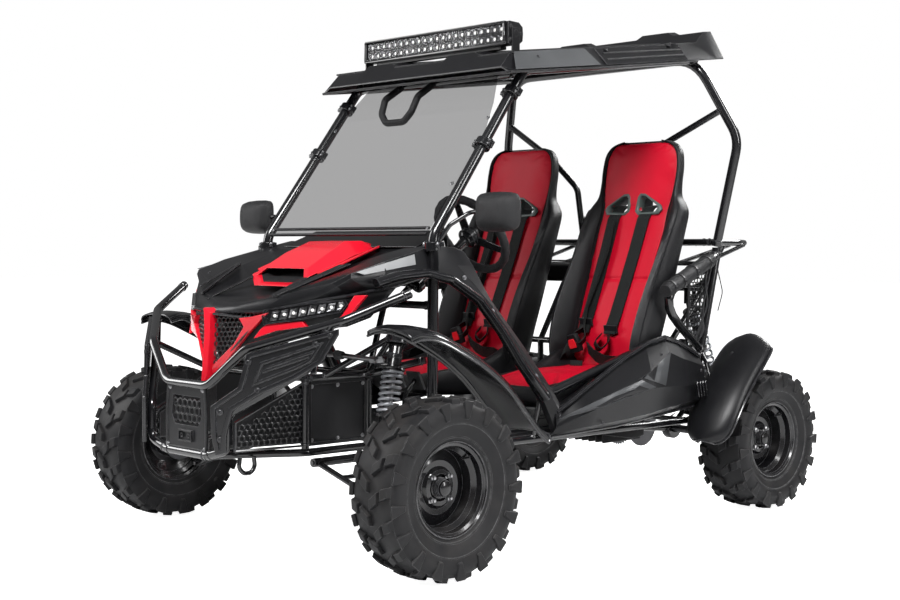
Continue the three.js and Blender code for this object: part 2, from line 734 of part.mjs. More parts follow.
// Front bumper: a wide bent tube, its lower branches and the skid plate between them
const bumper = {
  endX: 591, endUp: 489, bendX: 496, bendUp: 411, frontX: 250, frontUp: 323, lowX: 110, lowUp: 208,
  branchTopX: 462, branchTopUp: 395, branchX: 408, branchUp: 272, branchFootX: 205, branchFootUp: 132,
  footUp: 24, plateThick: 4, plateTopX: 100, plateTop: 214, hole: 12, holePitch: 32,
};
const bumperEndY = frontAxleY - ahead.bumperEnd;
const bumperBendY = frontAxleY - ahead.bumperBend;
const bumperFrontY = frontAxleY - ahead.bumperFront;
const slantY = (x) => bumperFrontY + ((x - bumper.frontX) * (bumperBendY - bumperFrontY)) / (bumper.bendX - bumper.frontX);

function bumperTubes(grow = 0) {
  const top = [
    [bumper.endX, bumperEndY, railZ + bumper.endUp],
    [bumper.bendX, bumperBendY, railZ + bumper.bendUp],
    [bumper.frontX, bumperFrontY, railZ + bumper.frontUp],
    [bumper.lowX, noseY - 2 * tube.bumper, railZ + bumper.lowUp],
  ];
  const branch = [
    [bumper.branchTopX, slantY(bumper.branchTopX), railZ + bumper.branchTopUp],
    [bumper.branchX, slantY(bumper.branchX), railZ + bumper.branchUp],
    [bumper.branchFootX, slantY(bumper.branchFootX), railZ + bumper.branchFootUp],
    [bumper.branchFootX, slantY(bumper.branchFootX), railZ + bumper.footUp],
    [width.nose, noseY - 2 * tube.bumper, railZ],
  ];
  return [
    bentTube([...top, ...top.map(flip).reverse()], tube.bumper, grow),
    both(branch).map((points) => bentTube(points, tube.bumper, grow, tube.bend / 2)),
    bar([-width.nose, noseY - 2 * tube.bumper, railZ], [width.nose, noseY - 2 * tube.bumper, railZ], tube.bumper, grow),
  ];
}

function hexagon(u, w, radius) {
  return Array.from({ length: 6 }, (_, i) => {
    const turn = (i * Math.PI) / 3;
    return [u + radius * Math.cos(turn), w + radius * Math.sin(turn)];
  });
}

function skidPlate() {
  const outline = [
    [-width.nose, railZ], [width.nose, railZ], [bumper.plateTopX, railZ + bumper.plateTop],
    [-bumper.plateTopX, railZ + bumper.plateTop],
  ];
  const y = noseY - 2 * tube.bumper - bumper.plateThick / 2;
  const centreZ = railZ + bumper.plateTop * 0.62;
  const rowCounts = [0, 2];
  const holes = rowCounts.flatMap((count, row) => Array.from({ length: count }, (_, i) => {
    const x = (i - (count - 1) / 2) * bumper.holePitch;
    const z = centreZ + (row - 1) * bumper.holePitch * 0.87;
    return plate(hexagon(x, z, bumper.hole), 'y', y - bumper.plateThick, 3 * bumper.plateThick);
  }));
  const windowZ = railZ + bumper.plateTop * 0.28;
  const slot = block(
    [-2 * bumper.holePitch, y - bumper.plateThick, windowZ - bumper.holePitch / 2],
    [2 * bumper.holePitch, y + 2 * bumper.plateThick, windowZ + bumper.holePitch / 2],
  );
  return cut(plate(outline, 'y', y, bumper.plateThick), holes, slot);
}

function makeBumper() {
  const link = trimmed(
    [[width.box, boxFrontY, boxTopZ], [bumper.frontX, bumperFrontY, railZ + bumper.frontUp]], tube.frame + 2 * seatGap,
  );
  const links = both(link).map(([from, to]) => bar(from, to, tube.rack));
  addSolid('front_bumper', fuse(bumperTubes(), skidPlate(), links), 'frame');
}

// Plastic fairings on the front of the bumper tubes, in the slanted plane of its side runs
const fairing = { low: 14, high: 367, inX: 162, outX: 464, thick: 5 };
const fairingShares = [
  [0.26, 0.82], [0.39, 0.84], [0.97, 1], [1, 0.96], [0.82, 0.74], [0.39, 0.57], [0.13, 0.38], [0.13, 0.04],
  [0.04, 0], [0, 0.39], [0.21, 0.57],
];

function makeFairings() {
  const run = at(bumper.bendX - bumper.frontX, bumperBendY - bumperFrontY, 0).normalize();
  const out = at(run.y, -run.x, 0);
  const points = fairingShares.map(([across, up]) => [
    (mix(fairing.inX, fairing.outX, across) - bumper.frontX) / run.x,
    railZ + mix(fairing.low, fairing.high, up),
  ]);
  const start = at(bumper.frontX, bumperFrontY, 0).addScaledVector(out, tube.bumper + seatGap);
  const shape = new THREE.Shape(points.map(([u, w]) => new THREE.Vector2(u, w)));
  const flat = new THREE.ExtrudeGeometry(shape, { depth: fairing.thick, bevelEnabled: false });
  flat.applyMatrix4(new THREE.Matrix4().makeBasis(run, at(0, 0, 1), out).setPosition(start));
  addPair('bumper_fairing', solid(flat), 'plastic');
}

// Hood: a V-fronted shell with a lip, a crease beside the scoop and a crest above the wheels
const hood = {
  noseY: 308, crestY: 84, crestX: 390, crestRearX: 432, rearBehind: 232, skirtX: 45, skirtDrop: 48,
  lip: 428, lipTop: 455, crestLip: 494, crestTop: 535, rear: 617, rearCrest: 572, swell: 10, thick: 4,
};
const hoodRowShares = [0, 0.04, 0.35, 0.7, 1];
const hoodColumnShares = [0, 0.2, 0.42, 0.72, 1];

function hoodPoint(row, column) {
  const x = mix(hood.crestX, hood.crestRearX, row) * column;
  const frontY = frontAxleY - mix(hood.noseY, hood.crestY, column);
  const y = mix(frontY, frontAxleY + hood.rearBehind, row);
  const edge = row === 0;
  const frontZ = edge ? mix(hood.lip, hood.crestLip, column) : mix(hood.lipTop, hood.crestTop, column);
  const middleZ = mix(hood.lipTop, hood.rear, row) + (column > 0 && column < 1 ? hood.swell * row : 0);
  const crestZ = mix(hood.crestTop, hood.rearCrest, row);
  const z = edge ? frontZ : mix(middleZ, crestZ, column ** 2);
  return at(x, y, railZ + z);
}

function hoodGrid() {
  return hoodRowShares.map((row) => {
    const half = hoodColumnShares.map((column) => hoodPoint(row, column));
    const crest = half[half.length - 1];
    half.push(at(crest.x + hood.skirtX, crest.y, crest.z - hood.skirtDrop));
    const far = half.slice(1).map((p) => at(-p.x, p.y, p.z)).reverse();
    return [...far, ...half];
  });
}

function makeHood() {
  const shell = slab(hoodGrid(), at(0, 0, -hood.thick));
  const tools = [cageTubes(seatGap), towerTubes(seatGap), bumperTubes(seatGap), frontTubes(seatGap)];
  addSolid('hood', cut(shell, tools), 'plastic');
}

// Scoop: a raised red shell with a six-sided mouth
const scoop = {
  mouthY: 22, rearBehind: 296, halfWide: 118, rearWide: 132, floor: 492, top: 553, rearFloor: 596, rearTop: 636,
  wall: 5, mouthDeep: 90,
};
const scoopShares = [[-1, 0.35], [-0.8, 1], [0.8, 1], [1, 0.35], [0.62, 0], [-0.62, 0]];

function scoopRing(y, half, low, high, inset = 0) {
  return scoopShares.map(([across, up]) => at(
    across * (half - inset), y, railZ + mix(low + inset, high - inset, up),
  ));
}

function makeScoop() {
  const mouthY = frontAxleY - scoop.mouthY;
  const rearY = frontAxleY + scoop.rearBehind;
  const middleY = mix(mouthY, rearY, 0.72);
  const outer = loft([
    scoopRing(mouthY, scoop.halfWide, scoop.floor, scoop.top),
    scoopRing(middleY, scoop.rearWide, mix(scoop.floor, scoop.rearFloor, 0.72), scoop.rearTop),
    scoopRing(rearY, scoop.rearWide * 0.9, scoop.rearFloor, scoop.rearFloor + scoop.wall * 2),
  ], true);
  const inner = loft([
    scoopRing(mouthY - scoop.wall, scoop.halfWide, scoop.floor, scoop.top, scoop.wall * 1.6),
    scoopRing(mouthY + scoop.mouthDeep, scoop.halfWide, scoop.floor + scoop.wall * 5, scoop.top + scoop.wall * 3,
      scoop.wall * 2),
  ], true);
  const underHood = slab(hoodGrid(), at(0, 0, -height.box)).translate([0, 0, seatGap]);
  addSolid('hood_scoop', cut(outer, inner, underHood), 'red');
}

// Nose: red trim, black mesh grille behind it and two slim lamps
const nose = {
  bladeTop: 408.7, bladeFoot: 201, bladeHalf: 15, bladeDeep: 26, bladeOut: 314, footOut: 316, thick: 5,
  innerX: 101, innerY: 259, innerUp: 324, outerX: 205, outerY: 235, outerUp: 424, strip: 30,
  cheekX: 240, cheekY: 136, cheekUp: 386, cheekStrip: 34, endLowX: 312, endLowY: 66, endLowUp: 404,
  endTopX: 366, endTopY: 12, endTopUp: 478, grilleDeep: 14,
};

// A flat band between two places on the nose, set up from its lower edge
function noseBand(from, to, tall) {
  const rise = at(0, 0, tall);
  const inward = at(0, nose.thick, 0);
  return slab([[from.clone(), to.clone()], [from.clone().add(rise), to.clone().add(rise)]], inward);
}

const onNose = (x, forward, up) => at(x, frontAxleY - forward, railZ + up);

function makeNoseTrim() {
  const blade = plate(
    [[-nose.bladeHalf, railZ + nose.bladeTop], [0, railZ + nose.bladeFoot - nose.bladeHalf],
      [nose.bladeHalf, railZ + nose.bladeTop], [0, railZ + nose.bladeTop + nose.bladeHalf]],
    'y', frontAxleY - nose.bladeOut, nose.bladeDeep,
  );
  const foot = onNose(0, nose.footOut - nose.bladeDeep, nose.bladeFoot + nose.strip);
  const inner = onNose(nose.innerX, nose.innerY, nose.innerUp);
  const outer = onNose(nose.outerX, nose.outerY - nose.strip, nose.outerUp);
  const cheek = onNose(nose.cheekX, nose.cheekY, nose.cheekUp - nose.cheekStrip);
  const endLow = onNose(nose.endLowX, nose.endLowY, nose.endLowUp - nose.cheekStrip);
  const endTop = onNose(nose.endTopX, nose.endTopY, nose.endTopUp - nose.cheekStrip);
  const half = [
    noseBand(foot, inner, nose.strip), noseBand(inner, outer, nose.strip / 2), noseBand(inner, cheek, nose.cheekStrip),
    noseBand(cheek, endLow, nose.strip / 2), noseBand(endLow, endTop, nose.strip),
  ];
  const whole = fuse(half);
  const body = fuse(blade, whole, solid(mirrored(geometryOf(whole))));
  addSolid('nose_trim', cut(body, bumperTubes(seatGap)), 'red');
}

const grille = {
  top: 418, low: 235, halfTop: 150, halfLow: 60, behind: 12, outerBack: 96, thick: 4, hole: 16, pitch: 38, foot: 5,
  footShare: 0.8,
};

function makeGrille() {
  const rows = [0, 1].map((level) => [-1, 0, 1].map((side) => {
    const half = level ? grille.halfTop : grille.halfLow;
    const back = side ? grille.outerBack * (half / grille.halfTop) : 0;
    const forward = nose.bladeOut - nose.bladeDeep - nose.thick - grille.behind - back;
    return onNose(side * half, forward, level ? grille.top : grille.low);
  }));
  const holes = [-1, 1].flatMap((side) => [1, 2].flatMap((row) => (
    Array.from({ length: row }, (_, i) => plate(
      hexagon(
        side * (nose.bladeHalf + grille.pitch * (i + 0.6 + (row % 2) * 0.5)),
        railZ + grille.low + grille.pitch * (row * 1.5 + 0.4), grille.hole,
      ),
      'y', frontAxleY - nose.bladeOut, nose.bladeOut,
    ))
  )));
  const panel = slab(rows, at(0, grille.thick, 0));
  const footX = grille.halfLow * grille.footShare;
  const footY = mix(rows[0][1].y, rows[0][2].y, grille.footShare) + grille.thick / 2;
  const bracket = [[footX, footY, railZ + grille.low + 3 * grille.foot], [footX, boxFrontY, boxTopZ]];
  const brackets = both(bracket).map(([from, to]) => bar(from, to, grille.foot));
  const body = fuse(cut(panel, holes), brackets);
  addSolid('front_grille', cut(body, frontTubes(seatGap), bumperTubes(seatGap)), 'plastic');
}

const lamp = {
  innerX: 158, innerY: 212, outerX: 345, outerY: 46, low: 396, tip: 462, tall: 34, deep: 26, tipTall: 12,
  footX: 226, foot: 5, midShare: 0.86, endShare: 0.7,
};

function makeHeadlights() {
  const middle = (up) => onNose(lamp.outerX * lamp.midShare, lamp.outerY + lamp.tall, up);
  const rows = [
    [onNose(lamp.innerX, lamp.innerY, lamp.low), middle(lamp.low + lamp.tipTall),
      onNose(lamp.outerX, lamp.outerY, lamp.tip - lamp.tipTall)],
    [onNose(lamp.innerX, lamp.innerY, lamp.low + lamp.tall * lamp.endShare),
      middle(lamp.low + lamp.tall + lamp.tipTall * 2), onNose(lamp.outerX, lamp.outerY, lamp.tip)],
  ];
  const backY = mix(lamp.innerY, lamp.outerY + lamp.tall, (lamp.footX - lamp.innerX) / (lamp.outerX * lamp.midShare - lamp.innerX));
  const bracket = bar(
    [lamp.footX, frontAxleY - backY + lamp.deep / 2, railZ + lamp.low + lamp.tall / 2], [lamp.footX, boxFrontY, boxTopZ], lamp.foot,
  );
  const body = fuse(slab(rows, at(0, lamp.deep, 0)), bracket);
  addPair('headlight', cut(body, bumperTubes(seatGap), frontTubes(seatGap)), 'lamp');
}

// Windshield pane in front of the pillars
const pane = { thick: 4, half: 424, low: -7, inset: 4, stop: 0.93 };

function makeWindshield() {
  const low = at(0, pillarY, beltZ);
  const run = at(0, roofFrontY - pillarY, roofFrontZ - beltZ);
  const out = at(0, -run.z, run.y).normalize();
  const start = low.clone().addScaledVector(out, mirror.clamp - pane.inset).add(at(0, 0, pane.low));
  const rows = [0, pane.stop].map((share) => [-pane.half, pane.half].map(
    (x) => start.clone().addScaledVector(run, share).setX(x),
  ));
  const clamps = pillarClamps(seatGap);
  const others = clamps.map((body) => solid(mirrored(geometryOf(body))));
  addSolid('windshield', cut(slab(rows, out.multiplyScalar(pane.thick)), clamps, others), 'smoke');
}

// Roof panel: a tray with bevelled skirts over the roof rails, on four mounts
const roof = {
  frontBehind: 518, rearAhead: 91, lowHalf: 498, topHalf: 438, frontHalf: 477, drop: 20, thick: 4,
  rise: 46, ribHalf: 150, rib: 14, lip: 38, bevel: 45, mount: 15,
};
const roofSlope = (roofRearZ - roofFrontZ) / (hoopTopY - roofFrontY);
const railTopZ = (y) => roofFrontZ + roofSlope * (y - roofFrontY) + tube.cage;
const roofTopZ = (y) => railTopZ(y) + roof.rise;

function roofMounts() {
  const mountShares = [0.12, 0.85];
  return mountShares.flatMap((share) => {
    const y = mix(roofFrontY, hoopTopY, share);
    const x = mix(width.roof, width.roofRear, share) - tube.cage / 2;
    return [x, -x].map((middle) => block(
      [middle - roof.mount, y - roof.mount, railTopZ(y) + seatGap * 2], [middle + roof.mount, y + roof.mount, roofTopZ(y)],
    ));
  });
}

function makeRoof() {
  const frontY = frontAxleY + roof.frontBehind;
  const rearY = rearAxleY - roof.rearAhead;
  const rowTable = [
    [frontY, roof.topHalf, roof.frontHalf, -roof.rise, 0],
    [frontY + roof.bevel, roof.topHalf, roof.frontHalf, 0, 1],
    [rearY - 2 * roof.bevel, roof.topHalf, roof.lowHalf, 0, 1],
    [rearY - roof.bevel, roof.topHalf, roof.lowHalf, roof.lip, 1],
    [rearY, roof.topHalf, roof.lowHalf, roof.lip, 1],
  ];
  const rows = rowTable.map(([y, top, low, lift, ribbed]) => {
    const z = roofTopZ(y) + lift;
    const rib = z + ribbed * roof.rib;
    const half = [
      at(roof.ribHalf * 0.8, y, z), at(roof.ribHalf, y, rib), at(roof.ribHalf * 1.8, y, rib),
      at(roof.ribHalf * 2, y, z), at(top, y, z), at(low, y, railTopZ(y) - roof.drop),
    ];
    return [...half.map((p) => at(-p.x, p.y, p.z)).reverse(), ...half];
  });
  addSolid('roof_panel', fuse(slab(rows, at(0, 0, -roof.thick)), roofMounts(), lightFeet()), 'plastic');
}

// Light bar on two ears, tilting about its end bolts
const light = { half: 371, tall: 78, deep: 80, behind: 652, up: 1338, ear: 4, earLong: 36, sink: 8, bevel: 16 };
const lightY = frontAxleY + light.behind;
const lightZ = railZ + light.up;

function lightFeet() {
  return [light.half + runGap, -light.half - runGap - light.ear].map((x) => block(
    [x, lightY - light.earLong / 2, roofTopZ(lightY) - roof.thick / 2],
    [x + light.ear, lightY + light.earLong / 2, lightZ + light.earLong / 2],
  ));
}

function makeLightBar() {
  const [u, w] = [light.deep / 2, light.tall / 2];
  const outline = [
    [-u, -w + light.bevel], [-u, w - light.bevel], [-u + light.bevel, w], [u - light.bevel, w],
    [u, w - light.bevel], [u, -w + light.bevel], [u - light.bevel, -w], [-u + light.bevel, -w],
  ].map(([y, z]) => [lightY + y, lightZ + z]);
  addSolid('light_bar', plate(outline, 'x', -light.half, 2 * light.half), 'lamp');
}

// Dashboard with a bore for the steering column
const dash = {
  half: 345, rearHalf: 330, frontBehind: 240, topBehind: 372, faceBehind: 392, frontUp: 629, topUp: 682, low: 500,
  thick: 4,
};

function makeDashboard() {
  const table = [
    [dash.frontBehind, dash.frontUp, dash.half], [dash.topBehind, dash.topUp, dash.rearHalf],
    [dash.faceBehind, dash.topUp - dash.thick * 5, dash.rearHalf], [dash.faceBehind, dash.low, dash.rearHalf],
  ];
  const rows = table.map(([back, up, half]) => [-half, 0, half].map((x) => onNose(x, -back, up)));
  const inner = rows.map((row, i) => row.map((p) => p.clone().add(at(0, i > 1 ? -dash.thick : 0, -dash.thick))));
  const hole = bar(
    onColumn(-column.ringWide).toArray(), onColumn(column.long).toArray(), column.ring,
  );
  const tools = [hole, cageTubes(seatGap), frontTubes(seatGap)];
  addSolid('dashboard', cut(skin(rows, inner), tools), 'plastic');
}

// Side panels: the cover beside the footwell and the faceted rocker under the door bar
const cover = { topX: 470, footX: 562, thick: 4, frontBehind: 222, deep: 460, low: 44, top: 627 };
const rocker = {
  fromY: 626, toY: 270, top: 145, rearTop: 290, ridgeX: 634, ridge: 122, low: 14, edgeX: 556, thick: 4,
};
const stud = { radius: 8, coverShares: [0.25, 0.55], rockerShares: [0.3, 0.7] };
const coverRowShares = [
  [0, 1, 0.34, 0.99], [0.17, 0.82, 0.45, 0.84], [0.3, 0.68, 0.54, 0.67], [0.44, 0.4, 0.72, 0.46],
  [0.61, 0.2, 0.85, 0.21], [0.76, 0, 1, 0],
];
const rockerShares = [0, 0.36, 0.56, 0.78, 1];
const rockerTopShares = [0, 0.5, 1, 0.95, 0.35];
const rockerRidgeShares = [0.1, 0.8, 1, 0.7, 0.1];

function coverRows(shift) {
  return coverRowShares.map(([frontBack, frontUp, rearBack, rearUp]) => {
    const edge = (back, up) => at(
      mix(cover.footX, cover.topX, up) + shift, frontAxleY + cover.frontBehind + back * cover.deep,
      railZ + mix(cover.low, cover.top, up),
    );
    return [edge(frontBack, frontUp), edge(rearBack, rearUp)];
  });
}

function rockerRows(shift) {
  const fromY = frontAxleY + rocker.fromY;
  const toY = rearAxleY - rocker.toY;
  return rockerShares.map((share, i) => {
    const y = mix(fromY, toY, share);
    const top = mix(rocker.top, rocker.rearTop, rockerTopShares[i]);
    const bulge = mix(rocker.edgeX, rocker.ridgeX, rockerRidgeShares[i]);
    const ridge = mix(rocker.ridge * 0.8, rocker.ridge * 1.1, share);
    return [
      [rocker.edgeX, top], [mix(rocker.edgeX, bulge, 0.6), mix(ridge, top, 0.45)], [bulge, ridge],
      [mix(rocker.edgeX, bulge, 0.7), ridge * 0.5], [rocker.edgeX, rocker.low],
    ].map(([x, up]) => at(x + shift, y, railZ + up));
  });
}

// Where a stud of a given height meets the upper part of the rocker's face
function rockerSeat(y, height) {
  const share = (y - frontAxleY - rocker.fromY) / (rearAxleY - rocker.toY - frontAxleY - rocker.fromY);
  const i = rockerShares.findLastIndex((stop) => stop <= share);
  const part = (share - rockerShares[i]) / (rockerShares[i + 1] - rockerShares[i]);
  const top = mix(rocker.top, rocker.rearTop, mix(rockerTopShares[i], rockerTopShares[i + 1], part));
  const ridge = mix(rocker.ridge * 0.8, rocker.ridge * 1.1, share);
  const bulge = mix(rocker.edgeX, rocker.ridgeX, mix(rockerRidgeShares[i], rockerRidgeShares[i + 1], part));
  const z = Math.min(height, railZ + top) - stud.radius;
  const down = (railZ + top - z) / (top - mix(ridge, top, 0.45));
  return [mix(rocker.edgeX, mix(rocker.edgeX, bulge, 0.6), down) - rocker.thick / 2, y, z];
}

function sideShells(grow = 0) {
  return [
    skin(coverRows(grow), coverRows(-cover.thick - grow)),
    skin(rockerRows(grow), rockerRows(-rocker.thick - grow)),
  ];
}

// Short studs from the shells to the side bar that carries them
function sideStuds() {
  const [, top, knee, hip] = sideBarPoints().map((p) => at(...p));
  const studTo = (p, seatPoint) => bar([p.x + tube.side + seatGap, p.y, p.z], seatPoint, stud.radius);
  const onCover = stud.coverShares.map((share) => top.clone().lerp(knee, share)).map((p) => (
    studTo(p, [mix(cover.footX, cover.topX, (p.z - railZ - cover.low) / (cover.top - cover.low)), p.y, p.z])
  ));
  const onRocker = stud.rockerShares.map((share) => knee.clone().lerp(hip, share)).map((p) => (
    studTo(p, rockerSeat(p.y, p.z))
  ));
  return [onCover, onRocker];
}

function makeSidePanels() {
  const tools = [sideBars(seatGap), rearTubes(seatGap), railTubes(seatGap), cageTubes(seatGap)];
  addPair('side_panel', cut(fuse(sideShells(), sideStuds()), tools), 'plastic');
}

// The biggest of the bodies that a cut leaves
function largest(body) {
  return body.decompose().reduce((best, next) => (next.volume() > best.volume() ? next : best));
}

// Front fenders: arched shells over the wheels, on a stay from the pillar
const fender = { innerX: 522, outerX: 700, lip: 16, thick: 4, frontY: 118, rearBehind: 586, top: 395, low: 58, crown: 22 };
const fenderShares = [
  [0, 0.97], [0.12, 1], [0.3, 0.9], [0.5, 0.72], [0.68, 0.47], [0.88, 0.17], [1, 0],
];
const stay = { radius: 8, share: 0.32 };

function arch(shares, frontY, rearY, low, top, inner, outer, lip, thick, crown) {
  const centre = at(0, (frontY + rearY) / 2, low);
  const rows = shares.map(([back, up]) => {
    const y = mix(frontY, rearY, back);
    const z = mix(low, top, up);
    return [
      at(inner, y, z - crown), at(mix(inner, outer, 0.22), y, z), at(mix(inner, outer, 0.8), y, z),
      at(outer, y, z - crown / 2), at(outer + thick, y, z - crown / 2 - lip),
    ];
  });
  const inset = rows.map((row) => row.map((p) => {
    const inward = centre.clone().setX(p.x).sub(p).setLength(thick);
    return p.clone().add(inward);
  }));
  return skin(rows, inset);
}

function makeFrontFenders() {
  const [frontY, rearY] = [frontAxleY - fender.frontY, frontAxleY + fender.rearBehind];
  const shell = arch(
    fenderShares, frontY, rearY, railZ + fender.low, railZ + fender.top,
    fender.innerX, fender.outerX, fender.lip, fender.thick, fender.crown,
  );
  const rootY = mix(frontY, rearY, stay.share);
  const stayZ = railZ + mix(fender.low, fender.top, 0.87) - fender.crown / 2;
  const arm = bar([mix(fender.innerX, fender.outerX, 0.3), rootY, stayZ], [width.pillar, pillarY, stayZ], stay.radius);
  const body = cut(fuse(shell, arm), cageTubes(seatGap), frontTubes(seatGap), sideShells(seatGap), sideBars(seatGap));
  addPair('front_fender', largest(body), 'plastic');
}

// Rear fenders: mudguards ahead of the rear wheels, on stays from the rear posts
const guard = { innerX: 508, outerX: 716, lip: 14, thick: 4, frontY: 312, rearY: 36, top: 306, low: -52, crown: 30 };
const guardShares = [[1, 1], [0.78, 0.97], [0.5, 0.86], [0.24, 0.66], [0.07, 0.38], [0, 0]];

function makeRearFenders() {
  const [frontY, rearY] = [rearAxleY - guard.frontY, rearAxleY - guard.rearY];
  const centre = at(0, rearAxleY, rearTyre.radius);
  const rows = guardShares.map(([back, up]) => {
    const y = mix(frontY, rearY, back);
    const z = railZ + mix(guard.low, guard.top, up);
    return [
      at(guard.innerX, y, z), at(mix(guard.innerX, guard.outerX, 0.7), y, z),
      at(guard.outerX, y + guard.crown * 0.4, z - guard.crown * 0.6),
    ];
  });
  const inset = rows.map((row) => row.map((p) => p.clone().add(centre.clone().setX(p.x).sub(p).setLength(guard.thick))));
  const stayY = mix(frontY, rearY, 0.5);
  const stayZ = railZ + mix(guard.low, guard.top, 0.86) - guard.thick;
  const arm = bar([guard.innerX + guard.crown, stayY, stayZ], [width.bar, postY, stayZ], stay.radius);
  const body = cut(fuse(skin(rows, inset), arm), rearTubes(seatGap), sideBars(seatGap), sideShells(seatGap));
  addPair('rear_fender', largest(body), 'plastic');
}

// Bucket seats: a bolstered back with two belt slots on a cushioned base
const seat = {
  x: 308, half: 192, baseUp: 178, baseTall: 96, baseFront: 148, baseRear: 330,
  foot: 60, slotX: 66, slotHalf: 32, slotTall: 50, slotUp: 806, deep: 105, bolster: 104, crown: 10,
};
// Up from the rails, behind the middle, half width share, bolster share, depth share
const backShares = [
  [-0.09, 0.59, 0.8, 0.4, 0.5], [0.04, 0.64, 0.84, 0.9, 0.85], [0.2, 0.7, 0.86, 1, 1], [0.36, 0.755, 0.98, 0.85, 1],
  [0.56, 0.83, 1.1, 0.8, 0.95], [0.68, 0.88, 1.12, 0.66, 0.9], [0.79, 0.915, 0.88, 0.22, 0.75],
  [0.93, 0.95, 0.8, 0.08, 0.6], [1, 0.97, 0.58, 0.03, 0.35],
];
const seatBack = { low: 175, high: 1030, front: -230, rear: 570 };
const seatBaseZ = railZ + seat.baseUp;
const backRingShares = [[-1, 0.45], [-1, -0.7], [-0.9, -1], [-0.78, -0.8], [-0.66, -0.06], [-0.3, 0.02], [0, 0]];

function backRing([up, back, half, bolster, deep]) {
  const z = railZ + mix(seatBack.low, seatBack.high, up);
  const y = mix(seatBack.front, seatBack.rear, back);
  const halfWide = seat.half * half;
  const front = backRingShares.map(([across, out]) => {
    const dip = out > 0 ? out * seat.deep * deep : out * seat.bolster * bolster;
    return [across * halfWide, y + dip - (1 - Math.abs(across)) * seat.crown];
  });
  const rear = [[0.86, 0.94], [0, 1], [-0.86, 0.94]].map(([across, share]) => (
    [across * halfWide, y + seat.deep * deep * share]
  ));
  const far = front.slice(0, -1).map(([x, depth]) => [-x, depth]).reverse();
  return [...front, ...far, ...rear].map(([x, depth]) => at(seat.x + x, depth, z));
}

const baseShares = [[0, 0.6, 0.86], [0.06, 0.94, 0.95], [0.4, 1, 1], [0.8, 0.9, 0.9], [1, 0.7, 0.82]];

function baseRing([back, tall, wide]) {
  const y = mix(-seat.baseFront, seat.baseRear, back);
  const low = seatBaseZ - seat.baseTall;
  const top = mix(low, seatBaseZ, tall);
  const shares = [
    [-0.94, 0], [-1, 0.45], [-0.92, 1.02], [-0.72, 0.9], [0, 1], [0.72, 0.9], [0.92, 1.02], [1, 0.45], [0.94, 0],
  ];
  return shares.map(([across, up]) => at(seat.x + across * seat.half * wide, y, mix(low, top, up)));
}

function seatSlots() {
  const z = railZ + seat.slotUp;
  return [-1, 1].map((side) => plate(
    [
      [seat.x + side * (seat.slotX - seat.slotHalf), z - seat.slotTall / 2],
      [seat.x + side * (seat.slotX + seat.slotHalf), z - seat.slotTall / 2],
      [seat.x + side * (seat.slotX + seat.slotHalf), z],
      [seat.x + side * (seat.slotX - seat.slotHalf * 0.4), z + seat.slotTall / 2],
      [seat.x + side * (seat.slotX - seat.slotHalf), z + seat.slotTall / 2],
    ],
    'y', seatBack.front, 4 * seat.bolster + seatBack.rear,
  ));
}

// Two runners under the cushion, on the floor pan
function seatFeet() {
  const top = seatBaseZ - seat.baseTall + seat.crown;
  const low = railZ + tube.frame + pan.lift + pan.thick + seatGap;
  const runnerShare = 0.7;
  return [-1, 1].map((side) => seat.x + side * seat.half * runnerShare).map((x) => block(
    [x - tube.frame, -seat.baseFront + seat.foot, low], [x + tube.frame, seat.baseRear - seat.foot, top],
  ));
}

function makeSeats() {
  const body = fuse(loft(backShares.map(backRing)), loft(baseShares.map(baseRing)), seatFeet());
  const tools = [seatSlots(), sideBars(2 * seatGap), cageTubes(seatGap), rearTubes(seatGap), sleeves(), railTubes(seatGap)];
  addPair('seat', largest(cut(body, tools)), 'vinyl');
}

// Harness: two shoulder straps, a lap belt and a buckle, close over the seat
const strap = { half: 22, thick: 2.5, clear: 1, buckle: 62, buckleDeep: 22 };

function backFrontAt(upShare) {
  const next = backShares.findIndex(([up]) => up >= upShare);
  const [low, high] = [backShares[next - 1], backShares[next]];
  const share = (upShare - low[0]) / (high[0] - low[0]);
  return mix(seatBack.front, seatBack.rear, mix(low[1], high[1], share)) - seat.crown - strap.clear;
}

// A flat band over the seat back between two sides, through shares of the back's height
function band(shares, left, right) {
  const rows = shares.map((up) => {
    const y = backFrontAt(up);
    const z = railZ + mix(seatBack.low, seatBack.high, up);
    return [at(seat.x + left, y, z), at(seat.x + right, y, z)];
  });
  return slab(rows, at(0, -strap.thick, 0));
}

function makeHarnesses() {
  const strapShares = [0.7, 0.63, 0.56, 0.36, 0.2];
  const lapShares = [0.24, 0.2];
  const straps = [-1, 1].map((side) => band(strapShares, side * seat.slotX - strap.half, side * seat.slotX + strap.half));
  const lap = band(lapShares, -seat.half * 0.5, seat.half * 0.5);
  const z = railZ + mix(seatBack.low, seatBack.high, lapShares[1]);
  const y = backFrontAt(lapShares[1]);
  const buckle = block(
    [seat.x - strap.buckle / 2, y - strap.buckleDeep, z - strap.thick],
    [seat.x + strap.buckle / 2, y - strap.thick / 2, z + 2 * strap.half],
  );
  addPair('harness', fuse(straps, lap, buckle), 'webbing');
}

// Engine on the two cross tubes at the back of the floor, with its muffler over it
const engine = {
  frontAhead: 122, half: 112, deep: 270, tall: 170, cylinder: 50, cylinderLong: 150, cover: 76, coverWide: 40, muffler: 52,
  mufflerHalf: 130, mufflerUp: 330, pipe: 14,
};

